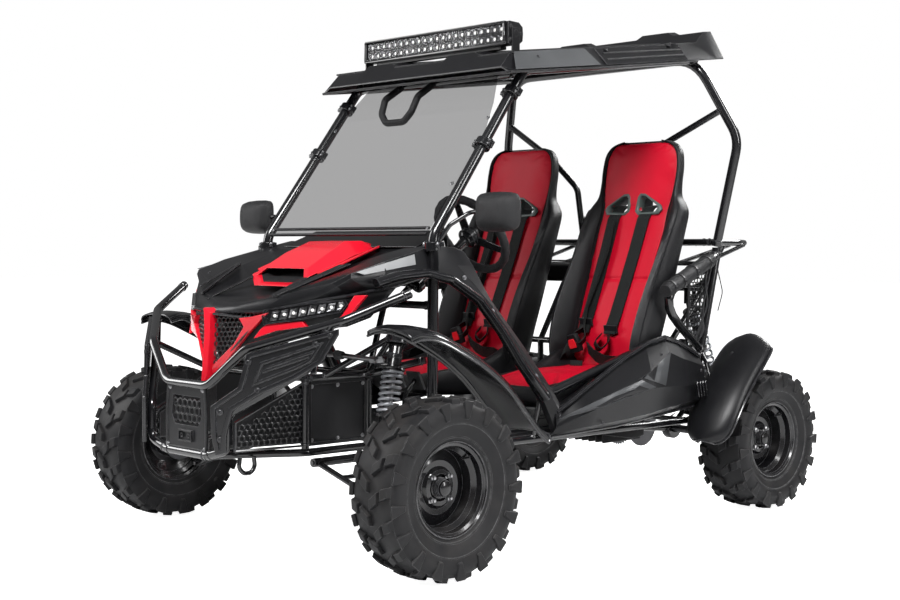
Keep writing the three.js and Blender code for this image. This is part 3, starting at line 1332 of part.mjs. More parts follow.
function makeEngine() {
  const frontY = sillRearY - engine.frontAhead;
  const low = railZ + tube.cross / 2;
  const middleY = frontY + engine.deep / 2;
  const middleZ = low + engine.tall / 2;
  const crankcase = loft([-engine.half, engine.half].map((x) => [
    at(x, frontY, low), at(x, frontY + engine.deep, low), at(x, frontY + engine.deep, low + engine.tall * 0.6),
    at(x, middleY, low + engine.tall), at(x, frontY, low + engine.tall * 0.8),
  ]), true);
  const coverX = engine.half + engine.coverWide;
  const clutch = turnedAt(
    [[0, 0], [0, engine.cover], [engine.half, engine.cover], [coverX, engine.cover * 0.9], [coverX, 0]], middleY, middleZ,
  );
  const headZ = middleZ + engine.cylinderLong;
  const cylinder = bar([0, middleY, middleZ], [0, middleY - engine.cylinder, headZ], engine.cylinder);
  const mufflerY = frontY + engine.deep - engine.muffler;
  const mufflerZ = railZ + engine.mufflerUp;
  const muffler = bar([-engine.mufflerHalf, mufflerY, mufflerZ], [engine.mufflerHalf, mufflerY, mufflerZ], engine.muffler, 0, roundSides);
  const pipe = bentTube([
    [0, middleY, mix(middleZ, headZ, 0.7)], [-engine.half, middleY, mix(middleZ, headZ, 0.8)],
    [-engine.half, mufflerY, mufflerZ],
  ], engine.pipe);
  const tools = [railTubes(seatGap), swingCross(seatGap), rearTubes(seatGap), cageTubes(seatGap)];
  addSolid('engine', cut(fuse(crankcase, clutch, cylinder, muffler, pipe), tools), 'engine');
}

function turnedAt(profile, y, z, sides = roundSides) {
  return turned(profile, sides).translate([0, y, z]);
}

// Mirror heads on the ends of their arms
function makeMirrors() {
  const [u, w] = [mirror.deep / 2, mirror.tall / 2];
  const cutBack = mirror.tall * 0.2;
  const ring = (x, share) => [
    [-u, -w + cutBack], [-u, w - cutBack], [-u + cutBack, w], [u, w], [u, -w], [-u + cutBack, -w],
  ].map(([y, z]) => at(x, mirrorY + y * share, mirrorZ + z * share));
  const right = mirror.x + mirror.wide / 2;
  const bevel = mirror.wide * 0.12;
  addPair('mirror', loft([
    ring(mirrorInnerX, 0.8), ring(mirrorInnerX + bevel, 1), ring(right - bevel, 1), ring(right, 0.8),
  ], true), 'rubber');
}

// Steering wheel, spokes, hub and column in one turning piece
const wheel = {
  radius: 138, grip: 14, hub: 34, hubDeep: 30, spoke: 9, collar: 20, collarLong: 8, sides: 12, gripSides: 6,
};

function makeSteeringWheel() {
  const ring = new THREE.TorusGeometry(wheel.radius, wheel.grip, wheel.gripSides, wheel.sides);
  const turn = new THREE.Matrix4().lookAt(at(0, 0, 0), columnRun, at(0, 0, 1)).setPosition(wheelCentre);
  ring.applyMatrix4(turn);
  const spokes = [rad(90), rad(210), rad(330)].map((angle) => {
    const end = at(wheel.radius * Math.cos(angle), wheel.radius * Math.sin(angle), 0).applyMatrix4(turn);
    return bar(onColumn(wheel.hubDeep / 2).toArray(), end.toArray(), wheel.spoke);
  });
  const hub = bar(onColumn(0).toArray(), onColumn(wheel.hubDeep).toArray(), wheel.hub, 0, roundSides);
  const shaft = bar(onColumn(0).toArray(), onColumn(column.long).toArray(), column.radius);
  const collarEnd = column.bearing - column.ringWide / 2 - runGap;
  const collar = bar(onColumn(collarEnd - wheel.collarLong).toArray(), onColumn(collarEnd).toArray(), wheel.collar);
  addSolid('steering_wheel', fuse(solid(ring), spokes, hub, shaft, collar), 'rubber');
}

// Rack bar and the tie rods that slide with it, each ending over its steering arm
const tie = { radius: 8, boot: 16, reach: 66, out: 12, armThick: 12, eye: 15, eyeThick: 12, gap: 2.5 };
const armRoot = onStrut(strut.tubeFoot + tie.armThick);
const armTip = armRoot.clone().add(at(tie.out, -tie.reach, 0));

function makeSteeringRack() {
  const half = rack.half + rack.out;
  addSolid('steering_rack', bar([-half, rackY, rackBarZ], [half, rackY, rackBarZ], rack.bar), 'steel');
  const eyeZ = armTip.z + tie.armThick / 2 + tie.gap;
  const inner = [half + seatGap, rackY, rackBarZ];
  const rod = bar([half + tie.boot, rackY, rackBarZ], [armTip.x - tie.eye / 2, armTip.y, eyeZ + tie.eyeThick / 2], tie.radius);
  const joint = bar(inner, [half + 2 * tie.boot, rackY, rackBarZ], tie.boot);
  const eye = bar([armTip.x, armTip.y, eyeZ], [armTip.x, armTip.y, eyeZ + tie.eyeThick], tie.eye);
  addPair('tie_rod', fuse(rod, joint, eye), 'steel');
}

// Strut tubes with their steering arms, springs, and knuckles that slide on the struts
const knuckle = { tube: 21, bore: 13, spindle: 13, hub: 30, foot: 24, brake: 64, brakeThick: 8, reach: 26 };
const coil = { radius: 29, wire: 4.5, curls: 5 };

const onAxis = (origin, run, profile) => turnedOn(origin, run, profile.map(([rise, r]) => [rise * run.length(), r]));

function makeStruts() {
  const wide = strut.tube + strut.ringThick;
  const armTop = strut.tubeFoot + 2 * tie.armThick;
  const capLow = strut.top + runGap;
  const body = onAxis(strutBase, strutAxis, [
    [strut.rodFoot, 0], [strut.rodFoot, strut.rod], [strut.springTop, strut.rod], [strut.springTop, strut.perch],
    [strut.tubeFoot, strut.perch], [strut.tubeFoot, wide], [armTop, wide], [armTop, strut.tube], [capLow, strut.tube],
    [capLow, wide], [capLow + strut.perchThick, wide], [capLow + strut.perchThick, 0],
  ]);
  const steerArm = bar(armRoot.toArray(), armTip.clone().lerp(armRoot, -tie.eye / tie.reach / 2).toArray(), tie.armThick / 2);
  addPair('strut_tube', fuse(body, steerArm), 'steel');
}

// One unbroken coil about an axis, its ends running straight along the turn
function coilSpring(from, to, radius, wire, curls, label) {
  const axis = to.clone().sub(from);
  const length = axis.length();
  axis.normalize();
  const side = at(1, 0, 0).cross(axis).normalize();
  const other = axis.clone().cross(side);
  const rise = length - 2 * wire - 2 * seatGap;
  const start = wire + seatGap;
  const points = [];
  const count = curls * springSteps;
  for (let i = 0; i <= count; i += 1) {
    const turn = (i / springSteps) * 2 * Math.PI;
    points.push(from.clone()
      .addScaledVector(axis, start + (rise * i) / count)
      .addScaledVector(side, radius * Math.cos(turn))
      .addScaledVector(other, radius * Math.sin(turn)));
  }
  const first = points[0].clone().sub(points[1]).setLength(2 * wire);
  const last = points[count].clone().sub(points[count - 1]).setLength(2 * wire);
  first.addScaledVector(axis, -first.dot(axis));
  last.addScaledVector(axis, -last.dot(axis));
  points.unshift(points[0].clone().add(first));
  points.push(points[points.length - 1].clone().add(last));
  reportGap(points, wire, label);
  const path = new BentPath([points[0], points[1]], tube.bend);
  path.stops = points;
  return sweep(path, wire, springSides);
}

// The least gap between turns of a coil, measured on the points of its centre line
function reportGap(points, wire, label) {
  let least = Infinity;
  points.forEach((p, i) => points.slice(i + springSteps - 1).forEach((q) => {
    least = Math.min(least, p.distanceTo(q) - 2 * wire);
  }));
  console.log(`${label}: least gap ${least.toFixed(2)} mm`);
}

function makeFrontSprings() {
  const foot = onStrut(strut.springFoot + strut.perchThick);
  const top = onStrut(strut.springTop);
  addPair('front_spring', coilSpring(foot, top, coil.radius, coil.wire, coil.curls, 'front spring'), 'spring');
}

function makeKnuckles() {
  const top = strut.springFoot + strut.perchThick;
  const slider = onAxis(strutBase, strutAxis, [
    [strut.foot, 0], [strut.foot, knuckle.tube], [strut.springFoot, knuckle.tube], [strut.springFoot, strut.perch],
    [top, strut.perch], [top, 0],
  ]);
  const bore = along(strut.foot + knuckle.foot, strut.springTop, boreFor(strut.rod, runGap, roundSides));
  const plateX = wheelX - frontTyre.width / 2;
  const discX = plateX + knuckle.brakeThick;
  const spindle = turnedAt([
    [strutBase.x, 0], [strutBase.x, knuckle.hub], [plateX, knuckle.hub], [plateX, knuckle.brake], [discX, knuckle.brake],
    [discX, knuckle.spindle], [wheelX + knuckle.reach, knuckle.spindle], [wheelX + knuckle.reach, 0],
  ], frontAxleY, frontTyre.radius);
  addPair('knuckle', cut(fuse(slider, spindle), bore), 'steel');
}

// Lower arms, hinged at the box and ending just under the knuckles
function makeLowerArms() {
  const foot = onStrut(strut.foot);
  const padTop = foot.z - arm.gap - knuckle.tube * padDropShare;
  const pad = bar([foot.x, foot.y, padTop - arm.padThick], [foot.x, foot.y, padTop], arm.pad);
  const legs = [-1, 1].map((side) => bar(
    [width.box, frontAxleY + side * arm.spread, armRootZ], [foot.x, foot.y, padTop - arm.radius - runGap], arm.radius,
  ));
  const pivot = (half, radius) => bar(
    [width.box, frontAxleY - half, armRootZ], [width.box, frontAxleY + half, armRootZ], radius,
  );
  const body = fuse(pad, legs, pivot(arm.half, arm.pivot));
  addPair('lower_arm', cut(body, pivot(2 * arm.half, boreFor(arm.pin, runGap, thinSides))), 'frame');
}

// Wheels: a hollow lugged tyre on a dished rim, made around x = 0 and moved to its hub
const rim = { barrel: 4, lip: 8, lipThick: 5, disc: 6, hub: 42, hubLong: 66, cap: 30, capThick: 6, dishShare: 0.3 };
const tyreWall = 9;
const beadShare = 0.78;
const lugSpanShares = [0.04, 0.88];
const lugDropShares = [0, 1.1];

function tyreProfile({ radius, width: wide, seat: bead, lug }) {
  const carcass = radius - lug;
  const half = wide / 2;
  const wallShares = [[beadShare, 0], [beadShare, 0.12], [1, 0.5], [0.9, 0.94]];
  const outer = wallShares.map(([across, up]) => [half * across, mix(bead, carcass, up)]);
  const liner = [[beadShare, 0], [0.94, 0.7]];
  const inner = liner.map(([across, up]) => [half * across - tyreWall, mix(bead, carcass - tyreWall, up)]);
  const over = (points) => [...points.map(([x, r]) => [-x, r]), ...[...points].reverse()];
  return [...over(outer), ...over(inner).reverse()];
}

function lugBody(tyre, side) {
  const half = tyre.width / 2;
  const pitch = (2 * Math.PI * tyre.radius) / lugsPerRow;
  const wide = pitch * 0.16;
  const skew = pitch * 0.08;
  const foot = tyre.radius - 2 * tyre.lug;
  const tops = lugSpanShares.map((across, i) => [across, tyre.radius - lugDropShares[i] * tyre.lug]);
  const section = [...tops, [lugSpanShares[1], foot - tyre.lug], [lugSpanShares[0], foot]];
  return loft([-wide, wide].map((edge) => section.map(([across, r]) => (
    at(side * half * across, edge + skew * (1 - 2 * across), -r)
  ))), true);
}

function tyreBody(tyre) {
  const step = 360 / lugsPerRow;
  const turns = Array.from({ length: lugsPerRow }, (_, i) => i * step);
  const lugs = [-1, 1].flatMap((side) => {
    const first = lugBody(tyre, side);
    const start = side > 0 ? 0 : step / 2;
    return turns.map((turn) => first.rotate([turn + start, 0, 0]));
  });
  return fuse(turned(tyreProfile(tyre), 2 * lugsPerRow), lugs);
}

// A left rim: barrel, disc and a hub capped towards the outside, turned as one section
function rimBody(tyre, bore) {
  const half = (tyre.width / 2) * beadShare + seatGap;
  const seatR = tyre.seat - seatGap;
  const dish = -half * rim.dishShare;
  const edge = half + rim.lipThick;
  const hubEnd = dish + rim.hubLong;
  return turned([
    [-edge, seatR + rim.lip], [-half, seatR], [half, seatR], [edge, seatR + rim.lip], [edge, seatR - rim.barrel],
    [dish + rim.disc, seatR - rim.barrel],
    [dish + rim.disc, rim.hub], [hubEnd, rim.cap], [hubEnd, 0], [hubEnd - rim.capThick, 0], [hubEnd - rim.capThick, bore],
    [dish, bore], [dish, seatR - rim.barrel], [-edge, seatR - rim.barrel],
  ], 2 * lugsPerRow);
}

const hubReach = (tyre) => rim.hubLong - rim.capThick - ((tyre.width / 2) * beadShare + seatGap) * rim.dishShare;

function makeWheels() {
  const rearX = rearTrack / 2;
  const frontAt = [wheelX, frontAxleY, frontTyre.radius];
  const rearAt = [rearX, rearAxleY, rearTyre.radius];
  addPair('front_tyre', tyreBody(frontTyre).translate(frontAt), 'rubber');
  addPair('rear_tyre', tyreBody(rearTyre).translate(rearAt), 'rubber');
  addPair('front_rim', rimBody(frontTyre, boreFor(knuckle.spindle, runGap, 2 * lugsPerRow)).translate(frontAt), 'rim');
  addPair('rear_rim', rimBody(rearTyre, boreFor(axle.radius, seatGap, 2 * lugsPerRow)).translate(rearAt), 'rim');
}

// Swing arm with its axle carriers and tails to the shocks, and the driven axle
const axle = { radius: 15, sprocket: 92, sprocketX: -58, disc: 86, discX: 58, thick: 5, boss: 30, bossLong: 12 };
const swingPlateShares = [[-0.072, -0.033], [0.535, -0.249], [0.95, -0.183], [0.992, -0.055], [1, 0], [0, 0.033]];
const swingPlate = swingPlateShares.map((pair) => pair.map((share) => share * fromRear.swing));
const swingBoreDeep = 50;

function makeSwingArm() {
  const pivotHalf = ear.x - runGap;
  const pivot = bar([-pivotHalf, swingY, swingZ], [pivotHalf, swingY, swingZ], swing.pivot, 0, roundSides);
  const lugX = shock.x - shock.eyeWide / 2 - 3 * runGap;
  const left = [
    bar([swing.carrierX - swing.carrierWide, swingY, swingZ], [swing.carrierX, rearAxleY, rearTyre.radius], swing.arm),
    bar(
      [swing.carrierX - swing.carrierWide / 2, rearAxleY, rearTyre.radius],
      [swing.carrierX + swing.carrierWide / 2, rearAxleY, rearTyre.radius], swing.carrier, 0, roundSides,
    ),
    plate(swingPlate.map(([y, z]) => [swingY + y, swingZ + z]), 'x', swing.carrierX - swing.carrierWide, pan.thick * 2),
    bar([swing.carrierX, rearAxleY, rearTyre.radius], [lugX - 1.3 * swing.lug, shockFoot.y, shockFoot.z], swing.tail),
    bar([lugX - swing.lug, shockFoot.y, shockFoot.z], [lugX, shockFoot.y, shockFoot.z], shock.eye + swing.lug / 4),
  ];
  const whole = fuse(left);
  const arms = fuse(whole, solid(mirrored(geometryOf(whole))));
  const cross = bar(
    [-swing.carrierX + swing.carrierWide, swingY + swingPlate[1][0], swingZ + swingPlate[1][1] / 2],
    [swing.carrierX - swing.carrierWide, swingY + swingPlate[1][0], swingZ + swingPlate[1][1] / 2], swing.tail,
  );
  const pinBore = boreFor(swing.pin, runGap, thinSides);
  const bores = [1, -1].map((side) => bar(
    [side * (pivotHalf - swingBoreDeep), swingY, swingZ], [side * ear.x, swingY, swingZ], pinBore,
  ));
  const boreR = boreFor(axle.radius, runGap, roundSides);
  const axleBore = turned([[-rearTrack / 2, 0], [-rearTrack / 2, boreR], [rearTrack / 2, boreR], [rearTrack / 2, 0]])
    .rotate([180 / roundSides, 0, 0]).translate([0, rearAxleY, rearTyre.radius]);
  addSolid('swing_arm', cut(fuse(pivot, arms, cross), bores, axleBore), 'frame');
}

function makeAxle() {
  const end = rearTrack / 2 + hubReach(rearTyre) - seatGap;
  const flat = (x, radius) => [
    [x - axle.bossLong, axle.radius], [x - axle.bossLong, axle.boss], [x - axle.thick / 2, axle.boss],
    [x - axle.thick / 2, radius], [x + axle.thick / 2, radius], [x + axle.thick / 2, axle.boss],
    [x + axle.bossLong, axle.boss], [x + axle.bossLong, axle.radius],
  ];
  const section = [
    [-end, 0], [-end, axle.radius], ...flat(axle.sprocketX, axle.sprocket), ...flat(axle.discX, axle.disc),
    [end, axle.radius], [end, 0],
  ];
  addSolid('rear_axle', turnedAt(section, rearAxleY, rearTyre.radius), 'steel');
}

// Rear shocks: a tube and eye above, a rod and eye below, and the spring between their collars
const damper = {
  tube: 20, rod: 8, collar: 40, collarThick: 5, topShare: 0.13, tubeShare: 0.6, rodTopShare: 0.36, footShare: 0.86,
  coil: 33, wire: 5, curls: 5,
};
const onShock = (share) => shockTop.clone().lerp(shockFoot, share);

function shockBar(fromShare, toShare, radius) {
  return bar(onShock(fromShare).toArray(), onShock(toShare).toArray(), radius);
}

function shockCollar(share, side) {
  const run = shockFoot.clone().sub(shockTop).setLength(damper.collarThick * side);
  const from = onShock(share);
  return bar(from.toArray(), from.clone().add(run).toArray(), damper.collar);
}

function shockEye(centre) {
  const half = shock.eyeWide / 2;
  return bar([shock.x - half, centre.y, centre.z], [shock.x + half, centre.y, centre.z], shock.eye, 0, roundSides);
}

function makeShocks() {
  const pinBore = (centre) => bar(
    [shock.x - shock.eyeWide, centre.y, centre.z], [shock.x + shock.eyeWide, centre.y, centre.z],
    boreFor(shock.pin, runGap, thinSides),
  );
  const tubeBore = shockBar(damper.topShare, damper.tubeShare + damper.topShare, boreFor(damper.rod, runGap, thinSides));
  const upper = fuse(
    shockEye(shockTop), shockBar(0, damper.tubeShare, damper.tube), shockCollar(damper.topShare, -1),
  );
  const clear = [-1, 1].map((side) => block(
    [shock.x + side * (shock.eyeWide / 2) - (side < 0 ? shock.eyeWide : 0), shockTop.y - mountEar.long, shockTop.z - mountEar.long],
    [shock.x + side * (shock.eyeWide / 2) + (side < 0 ? 0 : shock.eyeWide), shockTop.y + mountEar.long, shockTop.z + mountEar.long],
  ));
  const necked = cut(upper, pinBore(shockTop), tubeBore, clear);
  addPair('rear_shock_tube', largest(necked), 'steel');
  const lower = fuse(
    shockEye(shockFoot), shockBar(damper.rodTopShare, 1, damper.rod), shockCollar(damper.footShare, 1),
  );
  addPair('rear_shock_rod', cut(lower, pinBore(shockFoot)), 'steel');
  const spring = coilSpring(
    onShock(damper.topShare), onShock(damper.footShare), damper.coil, damper.wire, damper.curls, 'rear spring',
  );
  addPair('rear_spring', spring, 'spring');
}

// Pedals on the shaft of the floor frame, brake on the left of the throttle
const pedal = {
  ring: 15, half: 12, arm: 7, rise: 160, back: 62, throttleX: 250, brakeX: 342, padHalf: 30, padTall: 62, padThick: 8,
  padLean: 0.5,
};

function makePedal(name, x) {
  const top = [x, pedalY + pedal.back, pedalZ + pedal.rise];
  const lean = pedal.padTall * pedal.padLean;
  const pad = slab([0, 1].map((up) => [-pedal.padHalf, pedal.padHalf].map((side) => at(
    x + side, top[1] + (up - 0.5) * -lean, top[2] + (up - 0.5) * pedal.padTall,
  ))), at(0, -pedal.padThick, 0));
  const arm = bentTube([[x, pedalY, pedalZ], [x, pedalY + pedal.back * 0.2, pedalZ + pedal.rise * 0.7],
    [x, top[1] - pedal.padThick / 2, top[2]]], pedal.arm);
  const ring = bar([x - pedal.half, pedalY, pedalZ], [x + pedal.half, pedalY, pedalZ], pedal.ring, 0, roundSides);
  const bore = bar(
    [x - 2 * pedal.half, pedalY, pedalZ], [x + 2 * pedal.half, pedalY, pedalZ],
    boreFor(pedalShaft.radius, seatGap, roundSides), 0, roundSides,
  );
  addSolid(name, cut(fuse(ring, arm, pad), bore), 'steel');
}

makeFloorFrame();
makeFrontFrame();
makeRearFrame();
makeRollCage();
makeRoof();
makeWindshield();
makeHood();
makeScoop();
makeNoseTrim();
makeGrille();
makeHeadlights();
makeDashboard();
makeBumper();
makeFairings();
makeFrontFenders();
makeSidePanels();
makeRearFenders();
makeSeats();
makeHarnesses();
makeEngine();
makeLightBar();
makeMirrors();
makeSteeringWheel();
makeSteeringRack();
makeLowerArms();
makeStruts();
makeFrontSprings();
makeKnuckles();
makeWheels();
makeSwingArm();
makeAxle();
makeShocks();
makePedal('throttle_pedal', pedal.throttleX);
makePedal('brake_pedal', pedal.brakeX);

// The origin goes to the middle of the whole length, on the ground
kart.position.y = (noseReach - tailReach) / 2;

export default kart;
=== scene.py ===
import math

import bmesh
import bpy
from bpy.props import FloatProperty, FloatVectorProperty, IntProperty, PointerProperty
from mathutils import Matrix, Vector


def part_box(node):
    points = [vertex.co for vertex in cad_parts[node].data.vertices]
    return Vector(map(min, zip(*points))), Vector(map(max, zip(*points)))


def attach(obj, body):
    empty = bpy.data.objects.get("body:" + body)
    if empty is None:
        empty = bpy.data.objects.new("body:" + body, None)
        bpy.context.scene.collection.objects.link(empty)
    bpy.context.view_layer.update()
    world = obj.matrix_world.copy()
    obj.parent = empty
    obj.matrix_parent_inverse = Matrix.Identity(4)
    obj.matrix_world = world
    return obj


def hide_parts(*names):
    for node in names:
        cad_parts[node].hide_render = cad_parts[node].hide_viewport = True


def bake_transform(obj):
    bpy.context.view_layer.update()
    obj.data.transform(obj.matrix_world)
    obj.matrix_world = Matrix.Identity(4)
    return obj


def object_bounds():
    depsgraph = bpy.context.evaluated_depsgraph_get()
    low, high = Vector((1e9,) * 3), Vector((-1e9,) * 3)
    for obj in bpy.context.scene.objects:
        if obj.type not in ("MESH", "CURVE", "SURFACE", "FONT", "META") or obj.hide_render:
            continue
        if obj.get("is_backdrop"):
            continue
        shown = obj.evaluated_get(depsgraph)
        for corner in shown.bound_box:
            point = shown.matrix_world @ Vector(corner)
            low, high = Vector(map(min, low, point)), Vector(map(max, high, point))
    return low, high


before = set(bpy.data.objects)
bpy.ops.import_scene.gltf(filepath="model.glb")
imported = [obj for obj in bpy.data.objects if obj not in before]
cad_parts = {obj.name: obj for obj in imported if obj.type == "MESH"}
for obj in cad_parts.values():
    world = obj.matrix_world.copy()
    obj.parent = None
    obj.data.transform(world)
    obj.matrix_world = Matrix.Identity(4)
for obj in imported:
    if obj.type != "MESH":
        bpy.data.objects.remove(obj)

CAD_BOX = [list(corner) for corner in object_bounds()]

bl_info = {
    "name": "Off road kart pieces",
    "version": (1, 0, 0),
    "blender": (4, 5, 0),
    "location": "View3D > Sidebar > Kart",
    "description": "Builds the dressed pieces of a two-seat off road kart on its CAD frame",
    "category": "Object",
}

# Lengths are in millimetres in the model frame of the CAD source, whose origin lies SHIFT
# behind the row origin: +X is the driver's left, +Y the rear, +Z up.
SHIFT = 76.0
FRONT_Y, REAR_Y = -861.5, 861.5
SIDES = {"left": 1, "right": -1}


def colour(name, about, shade):
    return FloatVectorProperty(name=name, description=about, subtype="COLOR", size=4, min=0, max=1,
                               default=(*shade, 1))


def number(name, about, default, low, high):
    return IntProperty(name=name, description=about, default=default, min=low, max=high)


def length(name, about, default, low, high):
    return FloatProperty(name=name, description=about, subtype="DISTANCE", unit="LENGTH", default=default,
                         min=low,
                         max=high)


class KartSettings(bpy.types.PropertyGroup):
    """Sizes and colours that the pieces are made from"""
    paint: colour("Frame paint", "Paint of the tubes, arms and stays", (0.006, 0.006, 0.007))
    plastic: colour("Black plastic", "Hood, guards, roof and side panels", (0.007, 0.007, 0.008))
    red: colour("Red plastic", "Hood scoop and nose blades", (0.62, 0.006, 0.02))
    vinyl: colour("Red vinyl", "Seat cushions", (0.44, 0.002, 0.016))
    vinyl_dark: colour("Black vinyl", "Seat shells and bolsters", (0.007, 0.007, 0.008))
    rubber: colour("Tyre rubber", "Tyres and their tread", (0.01, 0.01, 0.011))
    silver: colour("Spring paint", "Coils of the four springs", (0.3, 0.31, 0.33))
    smoke: colour("Windshield", "Tint of the smoked pane", (0.014, 0.014, 0.015))
    tube_sides: number("Tube sides", "Flats round each frame tube", 20, 8, 48)
    lug_count: number("Tread lugs", "Lugs in one row round a tyre", 17, 8, 32)
    led_columns: number("Light bar columns", "Lamps in one row of the light bar", 22, 6, 40)
    coil_turns: number("Front spring turns", "Turns of each front spring", 8, 4, 12)
    shock_turns: number("Rear spring turns", "Turns of each rear spring", 9, 4, 14)
    lug_depth: length("Lug depth", "Height of the tread lugs above the carcass", 0.013, 0.004, 0.02)
    pad_swell: length("Cushion swell", "Furthest that a cushion swells from its flat cut", 0.011, 0.002, 0.03)


def settings():
    return bpy.context.scene.kart_settings


def place(v):
    return Vector((v[0] / 1000, (v[1] + SHIFT) / 1000, v[2] / 1000))


def mix(a, b, share):
    return a + (b - a) * share


def mixv(a, b, share):
    return Vector(a) * (1 - share) + Vector(b) * share


class Shape:
    """Faces in millimetres, gathered for one object"""

    def __init__(self):
        self.verts, self.faces = [], []

    def add(self, verts, faces):
        base = len(self.verts)
        self.verts += [Vector(v) for v in verts]
        self.faces += [tuple(i + base for i in face) for face in faces]
        return self

    def face(self, *corners):
        return self.add(corners, [tuple(range(len(corners)))])

    def mirrored(self):
        return Shape().add([(-v.x, v.y, v.z) for v in self.verts],
                           [tuple(reversed(face)) for face in self.faces])

    def moved(self, offset):
        return Shape().add([v + Vector(offset) for v in self.verts], self.faces)

    def join(self, other):
        return self.add(other.verts, other.faces)

    def both(self):
        return self.join(self.mirrored())

    def rings(self, rings, caps=True):
        """Faces between closed rings of points, and over the first and last ring"""
        count = len(rings[0])
        faces = []
        for level in range(len(rings) - 1):
            a, b = level * count, (level + 1) * count
            faces += [(a + i, a + (i + 1) % count, b + (i + 1) % count, b + i) for i in range(count)]
        if caps:
            last = (len(rings) - 1) * count
            faces += [tuple(reversed(range(count))), tuple(range(last, last + count))]
        return self.add([p for ring in rings for p in ring], faces)

    def tube(self, points, radius, bend=0.0, sides=None):
        return self.rings(sweep_rings(fillet(points, bend), radius, sides or settings().tube_sides))

    def sleeve(self, start, end, inner, outer, origin, axis, steps=48):
        """An open collar between two places along an axis"""
        return self.turn([(start, inner), (start, outer), (end, outer), (end, inner)], origin, axis, steps)

    def turn(self, profile, origin, axis, steps=48):
        w = Vector(axis).normalized()
        u = w.orthogonal().normalized()
        v = w.cross(u)
        verts, faces, rows = [], [], []
        for d, r in profile:
            centre = Vector(origin) + w * d
            start = len(verts)
            if r < 1e-4:
                verts.append(centre)
                rows.append([start] * steps)
                continue
            verts += circle(centre, u * r, v * r, steps)
            rows.append(list(range(start, start + steps)))
        for low, high in zip(rows, rows[1:]):
            for i in range(steps):
                j = (i + 1) % steps
                face = [low[i], low[j], high[j], high[i]]
                face = [n for k, n in enumerate(face) if n not in face[:k]]
                if len(face) > 2:
                    faces.append(tuple(face))
        return self.add(verts, faces)

    def block(self, low, high):
        (x0, y0, z0), (x1, y1, z1) = low, high
        verts = [(x, y, z) for x in (x0, x1) for y in (y0, y1) for z in (z0, z1)]
        faces = [(0, 1, 3, 2), (4, 6, 7, 5), (0, 4, 5, 1), (2, 3, 7, 6), (0, 2, 6, 4), (1, 5, 7, 3)]
        return self.add(verts, faces)

    def prism(self, outline, depth):
        low = [Vector(p) for p in outline]
        return self.rings([low, [p + Vector(depth) for p in low]])

    def grid(self, rows):
        across = len(rows[0])
        faces = [(r * across + c, r * across + c + 1, (r + 1) * across + c + 1, (r + 1) * across + c)
                 for r in range(len(rows) - 1) for c in range(across - 1)]
        return self.add([p for row in rows for p in row], faces)


def circle(centre, u, v, count):
    """Points round a centre, from two half axes"""
    return [centre + u * math.cos(a) + v * math.sin(a) for a in (2 * math.pi * i / count for i in range(count))]


def fillet(points, bend, steps=6):
    points = [Vector(p) for p in points]
    path = [points[0]]
    for a, b, c in zip(points, points[1:], points[2:]):
        u, v = a - b, c - b
        half = (math.pi - u.angle(v)) / 2
        if half < 0.02 or bend <= 0:
            path.append(b)
            continue
        reach = min(bend * math.tan(half), 0.48 * min(u.length, v.length))
        start, end = b + u.normalized() * reach, b + v.normalized() * reach
        for i in range(steps + 1):
            t = i / steps
            path.append(start * (1 - t) ** 2 + b * (2 * t * (1 - t)) + end * t * t)
    path.append(points[-1])
    return path


def sweep_rings(path, radius, sides):
    radii = radius if isinstance(radius, (list, tuple)) else [radius] * len(path)
    tangents = []
    for i, p in enumerate(path):
        before = (p - path[i - 1]).normalized() if i else None
        after = (path[i + 1] - p).normalized() if i + 1 < len(path) else None
        tangents.append(((before or after) + (after or before)).normalized())
    normal = tangents[0].orthogonal().normalized()
    rings = []
    for p, t, r in zip(path, tangents, radii):
        normal = (normal - t * normal.dot(t)).normalized()
        rings.append(circle(p, normal * r, t.cross(normal) * r, sides))
    return rings


def spline_rows(table, count):
    """Rows of numbers eased through a table by Catmull-Rom, count steps for each gap"""
    out = []
    last = len(table) - 1
    for i in range(last):
        p0, p1, p2, p3 = table[max(i - 1, 0)], table[i], table[i + 1], table[min(i + 2, last)]
        for k in range(count):
            t = k / count
            out.append([0.5 * (2 * b + (c - a) * t + (2 * a - 5 * b + 4 * c - d) * t * t
                               + (3 * b - a - 3 * c + d) * t ** 3) for a, b, c, d in zip(p0, p1, p2, p3)])
    out.append(list(table[last]))
    return out


def honeycomb(shape, inside, across, up, origin, pitch, wall):
    """Hexagon rings on the plane of two directions, wherever inside(u, v) holds for a cell's middle"""
    a, b, o = Vector(across), Vector(up), Vector(origin)
    reach = 40
    for row in range(-reach, reach):
        for column in range(-reach, reach):
            u = (column + (row % 2) * 0.5) * pitch
            v = row * pitch * math.sqrt(3) / 2
            if inside(u, v):
                verts = [o + a * (u + r * math.cos(t)) + b * (v + r * math.sin(t))
                         for r in (pitch / math.sqrt(3), (pitch - wall) / math.sqrt(3))
                         for t in (math.pi / 6 + i * math.pi / 3 for i in range(6))]
                shape.add(verts, [(i, (i + 1) % 6, 6 + (i + 1) % 6, 6 + i) for i in range(6)])


def inset(outline, by):
    """A flat outline drawn in by a distance, each corner on its mitre"""
    area = sum(a[0] * b[1] - b[0] * a[1] for a, b in zip(outline, outline[1:] + outline[:1]))
    turn = 1 if area > 0 else -1
    corners = []
    for i, p in enumerate(outline):
        before, after = outline[i - 1], outline[(i + 1) % len(outline)]
        u = Vector((p[0] - before[0], p[1] - before[1])).normalized()
        v = Vector((after[0] - p[0], after[1] - p[1])).normalized()
        n, m = Vector((-u.y, u.x)) * turn, Vector((-v.y, v.x)) * turn
        move = (n + m) * (by / max(0.4, 1 + n.dot(m)))
        corners.append((p[0] + move.x, p[1] + move.y))
    return corners


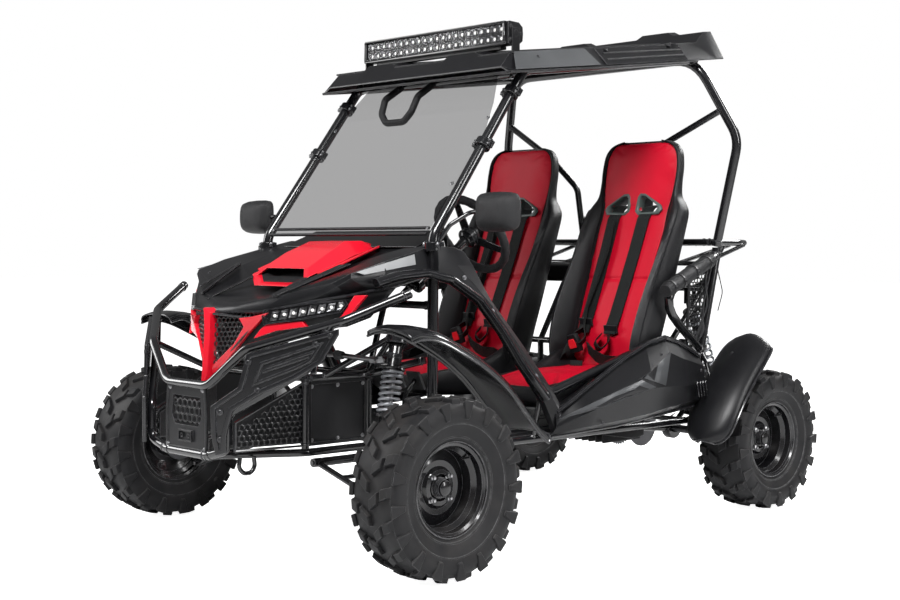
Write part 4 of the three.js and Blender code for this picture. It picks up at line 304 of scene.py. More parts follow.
def raised_band(shape, at, outline, width, rise):
    """A raised border along a flat outline, at(a, b, out) gives its place in space"""
    inner = inset(outline, width)
    rings = [[at(a, b, out) for a, b in line] for line,
             out in ((outline, -1), (outline, rise), (inner, rise), (inner, -1))]
    return shape.rings(rings, caps=False)


def modifiers(obj, thick=0.0, bevel=0.0, subdivide=0, offset=-1.0, segments=2):
    if thick:
        m = obj.modifiers.new("thickness", "SOLIDIFY")
        m.thickness = thick / 1000
        m.offset = offset
    if bevel:
        m = obj.modifiers.new("edges", "BEVEL")
        m.width = bevel / 1000
        m.segments = segments
        m.limit_method = "ANGLE"
        m.angle_limit = math.radians(28)
        m = obj.modifiers.new("normals", "WEIGHTED_NORMAL")
        m.keep_sharp = False
    if subdivide:
        m = obj.modifiers.new("round", "SUBSURF")
        m.levels = m.render_levels = subdivide


# The CAD material slot that each finish stands for, unless a piece says otherwise
SLOTS = {"paint": "frame_paint", "zinc": "bare_steel", "steel": "bare_steel", "alloy": "engine_alloy",
         "foam": "rubber_grip", "red": "red_plastic", "red_button": "red_plastic", "smoke": "smoke_pane",
         "reflector": "lamp_lens", "led": "lamp_lens", "lens": "lamp_lens", "spring": "spring_steel",
         "vinyl": "seat_vinyl", "vinyl_dark": "seat_vinyl", "slot_trim": "seat_vinyl", "thread": "seat_vinyl",
         "webbing": "webbing", "tyre": "tyre_rubber", "rim": "rim_paint"}
MATERIALS = {}


def clean(bm, near):
    bmesh.ops.remove_doubles(bm, verts=bm.verts, dist=near)
    bmesh.ops.recalc_face_normals(bm, faces=bm.faces)


def linked(name, mesh):
    obj = bpy.data.objects.new(name, mesh)
    bpy.context.scene.collection.objects.link(obj)
    return obj


def mesh_object(name, shape, near=1e-6):
    mesh = bpy.data.meshes.new(name)
    mesh.from_pydata([place(v) for v in shape.verts], [], shape.faces)
    bm = bmesh.new()
    bm.from_mesh(mesh)
    clean(bm, near)
    bm.to_mesh(mesh)
    bm.free()
    return linked(name, mesh)


def dress(obj, finish, body, replaces, slot=None):
    """The finish, the body it rides on and the CAD node it stands for; the slot is looked up but not used"""
    obj.data.materials.clear()
    obj.data.materials.append(MATERIALS[finish])
    obj.data.polygons.foreach_set("use_smooth", [True] * len(obj.data.polygons))
    if body:
        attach(obj, body)
    if replaces:
        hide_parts(replaces)
    slot or SLOTS.get(finish, "black_plastic")
    return obj


def piece(name, shape, finish, replaces=None, body="chassis", slot=None, angle=35, **extra):
    obj = mesh_object(name, shape)
    dress(obj, finish, body, replaces, slot)
    if not extra.get("bevel") and not extra.get("subdivide"):
        obj.data.set_sharp_from_angle(angle=math.radians(angle))
    modifiers(obj, **extra)
    return obj


def each_side(name, shape, finish, replaces=None, **extra):
    """A piece on the driver's side and its mirror image"""
    return [piece(f"{name}_{side}", shape if s > 0 else shape.mirrored(), finish,
                  replaces and f"{replaces}_{side}", **extra)
            for side, s in SIDES.items()]


def refined(node, name, finish, bevel, segments=2):
    """A CAD solid's own shape with its triangles joined and its edges rounded"""
    bm = bmesh.new()
    bm.from_mesh(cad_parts[node].data)
    bmesh.ops.remove_doubles(bm, verts=bm.verts, dist=2e-6)
    bmesh.ops.dissolve_limit(bm, angle_limit=math.radians(1.5), verts=bm.verts, edges=bm.edges)
    mesh = bpy.data.meshes.new(name)
    bm.to_mesh(mesh)
    bm.free()
    obj = dress(linked(name, mesh), finish, "chassis", node)
    modifiers(obj, bevel=bevel, segments=segments)


def bolt(shape, centre, axis, radius=6.0, tall=5.0):
    """A socket head bolt with its washer"""
    r = radius
    shape.turn([(0, 0), (0, r * 1.5), (tall * 0.25, r * 1.5), (tall * 0.3, r), (tall * 0.9, r),
                (tall, r * 0.88),
                (tall, r * 0.5), (tall * 0.45, r * 0.45), (tall * 0.45, 0)], centre, axis, 12)


def group(name, inputs, outputs):
    tree = bpy.data.node_groups.new(name, "ShaderNodeTree")
    for label, kind, default in inputs:
        socket = tree.interface.new_socket(label, in_out="INPUT", socket_type=kind)
        socket.default_value = default
    for label, kind in outputs:
        tree.interface.new_socket(label, in_out="OUTPUT", socket_type=kind)
    return tree, tree.nodes.new("NodeGroupInput"), tree.nodes.new("NodeGroupOutput")


def node(tree, kind, links=(), **values):
    made = tree.nodes.new(kind)
    for key, value in values.items():
        setattr(made, key, value)
    for socket, source in links:
        if hasattr(source, "is_output"):
            tree.links.new(source, made.inputs[socket])
        else:
            made.inputs[socket].default_value = source
    return made


def ramp(tree, source, low, high):
    made = node(tree, "ShaderNodeMapRange", [("Value", source), ("From Min", low), ("From Max", high)])
    return made.outputs["Result"]


def math_node(tree, operation, a, b):
    return node(tree, "ShaderNodeMath", [(0, a), (1, b)], operation=operation).outputs[0]


def coordinates(tree):
    return node(tree, "ShaderNodeTexCoord").outputs["Object"]


def noise(tree, coord, scale, detail=2.0):
    made = node(tree, "ShaderNodeTexNoise", [("Vector", coord), ("Scale", scale), ("Detail", detail)])
    return made.outputs["Fac"]


def mixed(tree, share, first, second):
    return node(tree, "ShaderNodeMixRGB", [("Fac", share), ("Color1", first), ("Color2", second)]).outputs[0]


def bumped_group(name, inputs):
    """A node group that puts out a normal and a value"""
    return group(name, [(label, "NodeSocketFloat", default) for label, default in inputs],
                 [("Normal", "NodeSocketVector"), ("Value", "NodeSocketFloat")])


def put_out(tree, inp, out, height, distance, value):
    bump = node(tree, "ShaderNodeBump", [("Strength", inp.outputs["Depth"]), ("Distance", distance),
                                         ("Height", height)])
    tree.links.new(bump.outputs["Normal"], out.inputs["Normal"])
    tree.links.new(value, out.inputs["Value"])
    return tree


def grain_group():
    """Fine moulded grain: a bump normal and a slow mottling value"""
    tree, inp, out = bumped_group("Grain", [("Scale", 900.0), ("Depth", 0.1), ("Mottle", 9.0)])
    coord = coordinates(tree)
    return put_out(tree, inp, out, noise(tree, coord, inp.outputs["Scale"], 3.0), 0.0006,
                   noise(tree, coord, inp.outputs["Mottle"], 5.0))


def leather_group():
    """Pebbled vinyl: cells and pores as a bump"""
    tree, inp, out = bumped_group("Pebble", [("Scale", 420.0), ("Depth", 0.35)])
    coord = coordinates(tree)
    warp = node(tree, "ShaderNodeTexNoise", [("Vector", coord), ("Scale", 40.0)]).outputs["Color"]
    cells = node(tree, "ShaderNodeTexVoronoi", [("Vector", mixed(tree, 0.02, coord, warp)),
                                                ("Scale", inp.outputs["Scale"])],
                 feature="DISTANCE_TO_EDGE")
    return put_out(tree, inp, out, ramp(tree, cells.outputs["Distance"], 0.0, 0.25), 0.0008,
                   noise(tree, coord, 7.0, 6.0))


def weave_group():
    """Crossed threads of a belt or foam cloth"""
    tree, inp, out = bumped_group("Weave", [("Scale", 500.0), ("Depth", 0.6)])
    coord = coordinates(tree)
    waves = [node(tree, "ShaderNodeTexWave", [("Vector", coord), ("Scale", inp.outputs["Scale"])],
                  bands_direction=axis).outputs["Fac"] for axis in ("X", "Z")]
    both_ways = math_node(tree, "MAXIMUM", *waves)
    return put_out(tree, inp, out, both_ways, 0.0006, both_ways)


def edge_highlight_group():
    """Painted highlight along outer edges: the rounded normal set against the true one, broken up by noise"""
    tree, inp, out = group("Edge highlight", [("Radius", "NodeSocketFloat", 0.003),
                                         ("Amount", "NodeSocketFloat", 1.0)],
                           [("Mask", "NodeSocketFloat")])
    rounded = node(tree, "ShaderNodeBevel", [("Radius", inp.outputs["Radius"])], samples=4)
    true = node(tree, "ShaderNodeNewGeometry")
    dot = node(tree, "ShaderNodeVectorMath", [(0, rounded.outputs[0]), (1, true.outputs["Normal"])],
               operation="DOT_PRODUCT")
    patchy = ramp(tree, noise(tree, coordinates(tree), 60.0, 4.0), 0.25, 0.6)
    broken = math_node(tree, "MULTIPLY", ramp(tree, dot.outputs["Value"], 0.985, 0.9), patchy)
    tree.links.new(math_node(tree, "MULTIPLY", broken, inp.outputs["Amount"]), out.inputs["Mask"])
    return tree


def dust_group():
    """Dry dust that lies in patches, thickest on upward faces"""
    tree, inp, out = group("Dust", [("Amount", "NodeSocketFloat", 0.3), ("Scale", "NodeSocketFloat", 14.0)],
                           [("Mask", "NodeSocketFloat")])
    up = node(tree, "ShaderNodeSeparateXYZ", [(0, node(tree, "ShaderNodeNewGeometry").outputs["Normal"])])
    patches = ramp(tree, noise(tree, coordinates(tree), inp.outputs["Scale"], 8.0), 0.35, 0.75)
    patch = math_node(tree, "MULTIPLY", patches, ramp(tree, up.outputs["Z"], -0.4, 1.0))
    tree.links.new(math_node(tree, "MULTIPLY", patch, inp.outputs["Amount"]), out.inputs["Mask"])
    return tree


GROUPS = {}


def make_groups():
    GROUPS.update(grain=grain_group(), edge=edge_highlight_group(), leather=leather_group(), weave=weave_group(),
                  dust=dust_group())


def use(tree, name, **values):
    made = tree.nodes.new("ShaderNodeGroup")
    made.node_tree = GROUPS[name]
    for key, value in values.items():
        made.inputs[key].default_value = value
    return made


def shader(name, colour, rough, metal=0.0, coat=0.0, bump="grain", fine=(700, 0.05, 6), spread=0.06,
           tone=0.35, edge=0.0, edge_highlight_colour=(0.16, 0.16, 0.17, 1), edge_radius=0.003, dust=0.0, alpha=1.0,
           emit=0.0,
           glow=(1, 1, 1), spec=0.4):
    """A principled material whose colour, roughness and normal vary over the piece"""
    material = bpy.data.materials.new(name)
    material.use_nodes = True
    tree = material.node_tree
    main = tree.nodes["Principled BSDF"]
    for socket, value in (("Metallic", metal), ("Specular IOR Level", spec), ("Coat Weight", coat),
                          ("Coat Roughness", 0.08), ("Alpha", alpha), ("Emission Color", (*glow, 1)),
                          ("Emission Strength", emit)):
        main.inputs[socket].default_value = value
    texture = use(tree, bump, **dict(zip(("Scale", "Depth", "Mottle"), fine)))
    tree.links.new(texture.outputs["Normal"], main.inputs["Normal"])
    value = texture.outputs["Value"]
    roughness = node(tree, "ShaderNodeMapRange", [("Value", value), ("To Min", max(rough - spread, 0.02)),
                                                  ("To Max", min(rough + spread, 1.0))])
    tree.links.new(roughness.outputs["Result"], main.inputs["Roughness"])
    result = mixed(tree, value, [c * (1 - tone) for c in colour[:3]] + [1],
                   [min(c * (1 + tone), 1) for c in colour[:3]] + [1])
    # Painted highlight: outer edges are lightened towards a paler colour
    if edge:
        mask = use(tree, "edge", Radius=edge_radius, Amount=edge).outputs["Mask"]
        result = mixed(tree, mask, result, edge_highlight_colour)
    if dust:
        mask = use(tree, "dust", Amount=dust).outputs["Mask"]
        result = mixed(tree, mask, result, (0.19, 0.17, 0.15, 1))
    tree.links.new(result, main.inputs["Base Color"])
    MATERIALS[name] = material


def make_materials():
    s = settings()
    # The edge amounts and paler edge colours below paint highlights along outer edges
    edge_highlight_tint = (0.1, 0.1, 0.102, 1)
    shader("paint", s.paint, 0.2, coat=0.35, fine=(160, 0.05, 5), edge=0.35)
    shader("plastic", s.plastic, 0.33, fine=(1100, 0.16, 5), edge=0.8, edge_highlight_colour=edge_highlight_tint, spec=0.22)
    shader("plastic_gloss", s.plastic, 0.17, coat=0.35, edge=0.5, spec=0.25)
    # A lighter grey that paints the highlight on lit facets of the rocker and roof
    shader("lit_facet_grey", (0.05, 0.052, 0.055), 0.36, edge=0.4, spec=0.3)
    # A silvery coat that paints the highlight on the hood's side facets
    shader("patch", (0.3, 0.305, 0.31), 0.3, metal=0.4, coat=0.4, tone=0.3)
    shader("red", s.red, 0.24, coat=0.45, tone=0.12, edge=0.25, edge_highlight_colour=(0.75, 0.25, 0.25, 1), spec=0.3)
    shader("vinyl", s.vinyl, 0.44, bump="leather", fine=(520, 0.22), tone=0.1, spec=0.18)
    shader("vinyl_dark", s.vinyl_dark, 0.36, bump="leather", fine=(520, 0.3), tone=0.3, edge=0.25,
           edge_radius=0.006, spec=0.26)
    shader("thread", (0.01, 0.01, 0.011), 0.7, bump="weave", fine=(900, 0.5), spec=0.1)
    shader("webbing", (0.005, 0.006, 0.006), 0.5, bump="weave", fine=(420, 0.8), spec=0.22)
    shader("foam", (0.01, 0.01, 0.011), 0.6, bump="leather", fine=(240, 0.5), edge=0.3, spec=0.2)
    shader("tyre", s.rubber, 0.52, fine=(500, 0.3, 16), edge=0.8,
           edge_highlight_colour=(0.11, 0.11, 0.112, 1), dust=0.1, spec=0.16)
    shader("rim", (0.006, 0.006, 0.007), 0.24, coat=0.3, fine=(220, 0.06, 8), edge=0.7, dust=0.08, spec=0.3)
    shader("spring", s.silver, 0.38, metal=0.55, fine=(300, 0.1, 12), edge=0.5,
           edge_highlight_colour=(0.7, 0.7, 0.72, 1))
    shader("steel", (0.075, 0.075, 0.08), 0.34, metal=0.9, fine=(380, 0.1, 18), dust=0.15)
    shader("zinc", (0.32, 0.32, 0.33), 0.3, metal=1.0, fine=(300, 0.1, 25))
    shader("alloy", (0.08, 0.08, 0.084), 0.48, metal=0.85, fine=(260, 0.35, 14), dust=0.15)
    shader("rubber", (0.009, 0.009, 0.01), 0.5, bump="leather", fine=(330, 0.6), edge=0.4, spec=0.3)
    shader("slot_trim", (0.055, 0.07, 0.065), 0.42, edge=0.5)
    # The reflector's faint emission is a painted glow; it is not a lamp
    shader("reflector", (0.3, 0.3, 0.31), 0.16, metal=1.0, fine=(120, 0.1, 30), emit=0.02)
    shader("led", (0.95, 0.95, 0.9), 0.15, emit=0.9, glow=(1.0, 0.98, 0.95))
    shader("lens", (0.02, 0.02, 0.022), 0.05, fine=(60, 0.02, 10), alpha=0.1, spread=0.02)
    shader("smoke", s.smoke, 0.05, fine=(30, 0.01, 3), alpha=0.4, spread=0.02, tone=0.05)
    shader("mirror", (0.75, 0.76, 0.78), 0.03, metal=1.0, fine=(20, 0.01, 3), spread=0.01)
    shader("red_button", (0.7, 0.01, 0.02), 0.3, coat=0.4)


def both(table):
    return table + [(r, b, [(-x, y, z) for x, y, z in points]) for r, b, points in table]


FLOOR_RAILS = [
    (12, 70, [(110, -1243.5, 330), (250, -985.5, 330), (250, 623.5, 330)]),
    (12, 70, [(250, -712.5, 330), (480, -340.5, 330), (480, 623.5, 330)]),
    (16, 90, [(431.4, -609.2, 903.9), (440.3, -489.5, 890), (516, -227.5, 472), (530, 261.5, 604),
              (494.1, 558.4, 615.5)]),
    (10, 0, [(516, -227.5, 472), (480, -227.5, 330)]),
    (10, 0, [(206, 500.5, 290), (156, 500.5, 290)]),
    (7, 0, [(250, -960.6, 296), (250, -762.4, 296)]),
]
FLOOR_CROSSES = [
    (10, 0, [(-412.7, -627.5, 330), (412.7, -627.5, 330)]),
    (10, 0, [(-480, -316.5, 330), (480, -316.5, 330)]),
    (10, 0, [(-480, 336.3, 330), (480, 336.3, 330)]),
    (10, 0, [(-480, 599.5, 330), (480, 599.5, 330)]),
    (10, 0, [(-250, 500.5, 330), (250, 500.5, 330)]),
    (8, 0, [(185, -676.5, 378), (405, -676.5, 378)]),
]
FRONT_RAILS = [
    (12, 0, [(250, -985.5, 342.3), (250, -985.5, 555)]),
    (12, 0, [(250, -736.5, 342.3), (250, -736.5, 555)]),
    (12, 70, [(250, -985.5, 555), (250, -736.5, 555), (410, -639.6, 605)]),
    (10, 0, [(250, -736.5, 555), (200, -627.5, 775)]),
    (10, 0, [(413.5, -781.6, 682.5), (250, -923.5, 555)]),
    (10, 0, [(413.5, -781.6, 682.5), (250, -736.5, 555)]),
    (10, 0, [(440, -755.1, 682.5), (431.4, -645, 690.3)]),
    (10, 0, [(180, -889.5, 615), (250, -957.5, 555)]),
]
FRONT_CROSSES = [
    (10, 0, [(-250, -985.5, 555), (250, -985.5, 555)]),
    (10, 0, [(-250, -736.5, 555), (250, -736.5, 555)]),
    (12, 0, [(-412.7, -627.5, 775), (412.7, -627.5, 775)]),
    (20, 0, [(-212, -889.5, 625), (212, -889.5, 625)]),
    (10, 0, [(248, -627.5, 775), (274, -576.9, 837.8)]),
]
REAR_RAILS = [
    (16, 70, [(480, 605.4, 350.1), (480, 674.5, 585), (497, 743.5, 936), (497, 743.5, 965)]),
    (16, 140, [(497, 743.5, 936), (600, 261.5, 790), (480, 674.5, 585)]),
    (12, 70, [(255.8, 605.2, 349.4), (327, 674.5, 585), (360, 846.5, 808), (360, 977.2, 985)]),
]
REAR_CROSSES = [
    (12, 70, [(430, 743.5, 985), (430, 977.2, 985), (360, 1120.5, 985), (-360, 1120.5, 985), (-430, 977.2, 985),
              (-430, 743.5, 985)]),
    (12, 0, [(-480, 674.5, 585), (480, 674.5, 585)]),
    (12, 0, [(-478.8, 743.5, 985), (478.8, 743.5, 985)]),
    (10, 0, [(-430, 977.2, 985), (430, 977.2, 985)]),
    (12, 0, [(-360, 846.5, 808), (360, 846.5, 808)]),
    (10, 0, [(-129.6, 743.5, 985), (-129.6, 1120.5, 985)]),
    (10, 0, [(129.6, 743.5, 985), (129.6, 1120.5, 985)]),
    (10, 0, [(-290, 743.5, 985), (-290, 1120.5, 985)]),
    (10, 0, [(290, 743.5, 985), (290, 1120.5, 985)]),
]
PILLAR = [(430, -627.5, 318), (430, -627.5, 992), (420, -219.5, 1540), (462, 646.5, 1655)]
HOOP = [(497, 743.5, 970), (590, 743.5, 1362), (462, 646.5, 1655), (-462, 646.5, 1655), (-590, 743.5, 1362),
        (-497, 743.5, 970)]
CAGE_RAILS = [
    (17, 70, PILLAR),
    (12, 70, [(542.4, 707.4, 1471), (250, 646.5, 1320), (160, 705.5, 1200), (160, 743.5, 1001)]),
]
CAGE_CROSSES = [
    (17, 140, HOOP),
    (17, 0, [(-420, -219.5, 1540), (420, -219.5, 1540)]),
    (12, 0, [(-160, 734.1, 1050), (160, 734.1, 1050)]),
]
BUMPER_MAIN = [(591, -870.5, 819), (496, -1036.5, 741), (250, -1207.5, 653), (110, -1243.5, 538),
               (-110, -1243.5, 538),
               (-250, -1207.5, 653), (-496, -1036.5, 741), (-591, -870.5, 819)]
BUMPER_BRANCH = [(462, -1060.1, 725), (408, -1097.7, 602), (205, -1238.8, 462), (205, -1238.8, 354),
                 (110, -1243.5, 330)]


def tubes(shape, table):
    for radius, bend, points in table:
        shape.tube(points, radius, bend)
        for end, inner in ((points[0], points[1]), (points[-1], points[-2])):
            weld(shape, end, inner, radius)
    return shape


def weld(shape, end, inner, radius):
    """A raised bead where a tube meets the next one"""
    axis = (Vector(inner) - Vector(end)).normalized()
    start = Vector(end) + axis * (radius * 0.9)
    shape.turn([(0, radius * 0.9), (1.5, radius + 2.4), (4, radius + 2.6), (7, radius + 0.6),
                (8, radius * 0.9)], start, axis, 18)


def gusset(shape, corner, a, b, size=52, thick=4):
    """A triangular plate let into the angle between two tubes"""
    c = Vector(corner)
    u, v = (Vector(a) - c).normalized(), (Vector(b) - c).normalized()
    n = u.cross(v).normalized() * (thick / 2)
    outline = [c + u * 10 + v * 10, c + u * size + v * 10, c + u * (size * 0.45) + v * (size * 0.45),
               c + u * 10 + v * size]
    shape.prism([p - n for p in outline], n * 2)


def make_floor():
    shape = tubes(Shape(), both(FLOOR_RAILS) + FLOOR_CROSSES)
    for s in (1, -1):
        for y in (-627.5, -316.5, 336.3, 599.5):
            gusset(shape, (250 * s, y, 330), (400 * s, y, 330), (250 * s, y + 200, 330))
        gusset(shape, (480 * s, 336.3, 330), (300 * s, 336.3, 330), (480 * s, 600, 330), 60)
    piece("floor_tubes", shape, "paint", "floor_frame")
    pan = Shape()
    outline = [(250, -700), (480, -334), (480, 334), (-480, 334), (-480, -334), (-250, -700)]
    pan.prism([(x, y, 342) for x, y in outline], (0, 0, 3.4))
    for x in (-420, -350, -180, -110, 110, 180, 350, 420):
        for y0, y1 in ((-280, -20), (20, 300)):
            pan.prism([(x - 12, y0, 345), (x + 12, y0, 345), (x + 12, y1, 345), (x - 12, y1, 345)], (0, 0, 3))
    for x in (-300, -100, 100, 300):
        for k in range(6):
            pan.block((x - 70, -600 + k * 42, 345), (x + 70, -588 + k * 42, 348))
    piece("floor_sheet", pan, "plastic", slot="frame_paint", bevel=1.0)


def make_front_frame():
    shape = tubes(Shape(), both(FRONT_RAILS) + FRONT_CROSSES)
    for s in (1, -1):
        gusset(shape, (250 * s, -985.5, 555), (250 * s, -800, 555), (250 * s, -985.5, 400), 60)
        gusset(shape, (250 * s, -736.5, 555), (250 * s, -900, 555), (250 * s, -736.5, 400), 60)
        top, foot = Vector((436 * s, -768.5, 735)), Vector((444 * s, -794.8, 630))
        axis = (top - foot).normalized()
        shape.sleeve(30, 70, 25, 33, foot + axis * 4, axis, 40)
        for d in (34, 68):
            shape.sleeve(0, 4, 33, 35.5, foot + axis * d, axis, 40)
    shape.sleeve(0, 18, 17, 27, (300, -569, 843), WHEEL_RUN, 32)
    piece("nose_tubes", shape, "paint", "front_frame")
    plates, bolts, edges = Shape(), Shape(), Shape()
    for s in (1, -1):
        plates.prism([(250 * s - 1.2, y, z) for y, z in ((-976, 350), (-746, 350), (-746, 546), (-976, 546))],
                     (2.4, 0, 0))
        for y in (-962, -760, -861):
            for z in (366, 530):
                bolt(bolts, (251 * s, y, z), (s, 0, 0), 4.5, 4)
        for y0, y1, z0, z1 in ((-976, -746, 350, 360), (-976, -746, 536, 546), (-976, -966, 350, 546),
                               (-756, -746, 350, 546)):
            edges.block((253 * s - 1, y0, z0), (253 * s + 3, y1, z1))
    piece("nose_side_plates", plates, "plastic", bevel=0.8)
    piece("nose_plate_bolts", bolts, "zinc")
    piece("nose_mesh_frames", edges, "plastic", bevel=1.0)


def make_rear_frame():
    shape = tubes(Shape(), both(REAR_RAILS) + REAR_CROSSES)
    for s in (1, -1):
        gusset(shape, (480 * s, 674.5, 585), (300 * s, 674.5, 585), (497 * s, 743.5, 800), 70)
        gusset(shape, (430 * s, 977.2, 985), (300 * s, 977.2, 985), (430 * s, 800, 985), 50)
        gusset(shape, (360 * s, 846.5, 808), (200 * s, 846.5, 808), (360 * s, 930, 930), 60)
        for near in (834, 838):
            shape.block((300 * s - 20, near, 748), (300 * s - 17, 855, 800))
            shape.block((300 * s + 17, near, 748), (300 * s + 20, 855, 800))
        shape.tube([(430 * s, 1010, 976), (430 * s, 764, 906)], 8)
        shape.tube([(290 * s, 1112, 976), (290 * s, 764, 900)], 8)
        shape.tube([(497 * s, 735, 880), (340 * s, 780, 860)], 8)
    shape.tube([(-430, 764, 904), (430, 764, 904)], 9)
    piece("rear_tubes", shape, "paint", "rear_frame")
    mesh, cables, tank = Shape(), Shape(), Shape()
    for s in (1, -1):
        corner = [(474 * s, 600, 600), (476 * s, 690, 600), (484 * s, 722, 880), (484 * s, 600, 880)]
        cables.tube(corner + corner[:1], 6, 10, 8)
        inside = lambda u, v: -62 < u < 24 + 0.1 * v and abs(v) < 128
        honeycomb(mesh, inside, (0, 1, 0), (0.03 * s, 0, 1), (479 * s, 668, 740), 17, 4)
        for k, (dy, dx) in enumerate(((0, 0), (14, 6), (-12, 10), (24, -4))):
            cables.tube([(500 * s + dx, 700 + dy, 930), (514 * s + dx, 650 + dy, 840),
                         (496 * s + dx, 672 - dy, 740 + 9 * k),
                         (506 * s, 640 + dy, 660), (488 * s + dx, 610 + dy, 600)], 3.5, 60, 8)
        cables.tube([(505 * s, 735, 900), (516 * s, 760, 800), (508 * s, 742, 730)], 2, 60, 8)
    tank.prism([(-250, 560, 830), (-250, 700, 830), (-250, 700, 900), (-250, 590, 900)], (500, 0, 0))
    piece("rear_mesh", mesh, "plastic", thick=2.0)
    piece("rear_cables", cables, "rubber", slot="rubber_grip")
    piece("fuel_tank", tank, "plastic", bevel=16.0, segments=4)
    foam, ties = Shape(), Shape()
    radii = [22 if k in (0, 24) else 26.5 + 0.5 * math.sin(k * 2.1) for k in range(25)]
    for s in (1, -1):
        top, foot = Vector((507.3 * s, 695.3, 921.4)), Vector((585.6 * s, 329, 810.4))
        foam.tube([mix(top, foot, k / 24) for k in range(25)], radii, 0, 28)
        for share in (0.12, 0.42, 0.7, 0.9):
            c = mix(top, foot, share)
            ties.sleeve(0, 7, 26, 29, c, foot - top, 32)
            ties.block((c.x + 26 * s - 4, c.y - 5, c.z - 4), (c.x + 26 * s + 6, c.y + 5, c.z + 5))
    piece("hip_foam", foam, "foam")
    piece("hip_foam_ties", ties, "plastic", bevel=0.6)


def split_clamp(shape, bolts, centre, axis, radius=17, width=30):
    """A two-part clamp: lobed ring with split ears and two bolts"""
    c, w = Vector(centre), Vector(axis).normalized()
    r0, r1 = radius + 0.3, radius + 10
    h = width / 2
    shape.turn([(-h, r0), (-h, r1 - 2), (-h + 2, r1), (h - 2, r1), (h, r1 - 2), (h, r0)], c, w, 40)
    side = w.orthogonal().normalized()
    side = (Vector((1, 0, 0)) - w * w.x).normalized() if abs(w.x) < 0.9 else side
    out = w.cross(side)
    for k in (1, -1):
        a = c + side * (k * (r1 + 4))
        for gap in (1, -1):
            low = a - w * h * 0.9 + out * (gap * 1.5 if gap > 0 else -9.5)
            corner = [low - side * 8, low + side * 8, low + side * 8 + w * (h * 1.8),
                      low - side * 8 + w * (h * 1.8)]
            shape.prism(corner, out * 8)
        for e in (-0.5, 0.5):
            bolt(bolts, a + w * (h * e) + out * -9.5, -out, 4, 5)
            bolt(bolts, a + w * (h * e) + out * 9.5, out, 3.2, 4)


def make_cage():
    shape = tubes(Shape(), both(CAGE_RAILS) + CAGE_CROSSES)
    for s in (1, -1):
        gusset(shape, (420 * s, -219.5, 1540), (300 * s, -219.5, 1540), (440 * s, 100, 1580), 60)
        gusset(shape, (160 * s, 734.1, 1050), (0, 734.1, 1050), (160 * s, 743, 1150), 40)
        shape.tube([(430 * s, -627.5, 947), (465.4 * s, -591.5, 1025.3), (500.7 * s, -537.5, 1066),
                    (530.7 * s, -537.5, 1066)],
                   7, 40, 16)
    piece("cage_tubes", shape, "paint", "roll_cage")
    clamps, bolts = Shape(), Shape()
    for s in (1, -1):
        up = Vector((420 * s, -219.5, 1540)) - Vector((430 * s, -627.5, 992))
        for share in (0.54, 0.86):
            split_clamp(clamps, bolts, Vector((430 * s, -627.5, 992)) + up * share, up, 17, 28)
        split_clamp(clamps, bolts, (430 * s, -627.5, 958), (0, 0, 1), 17, 30)
    piece("pillar_clamps", clamps, "plastic_gloss", slot="frame_paint", bevel=0.8)
    piece("pillar_clamp_bolts", bolts, "zinc")
    loop = Shape()
    loop.tube([(-178, -225, 1528), (-180, -300, 1480), (-174, -322, 1426), (-140, -330, 1392),
               (-48, -330, 1392),
               (-16, -322, 1426), (-8, -300, 1480), (-10, -225, 1528)], 12, 34, 18)
    piece("grab_loop", loop, "foam")


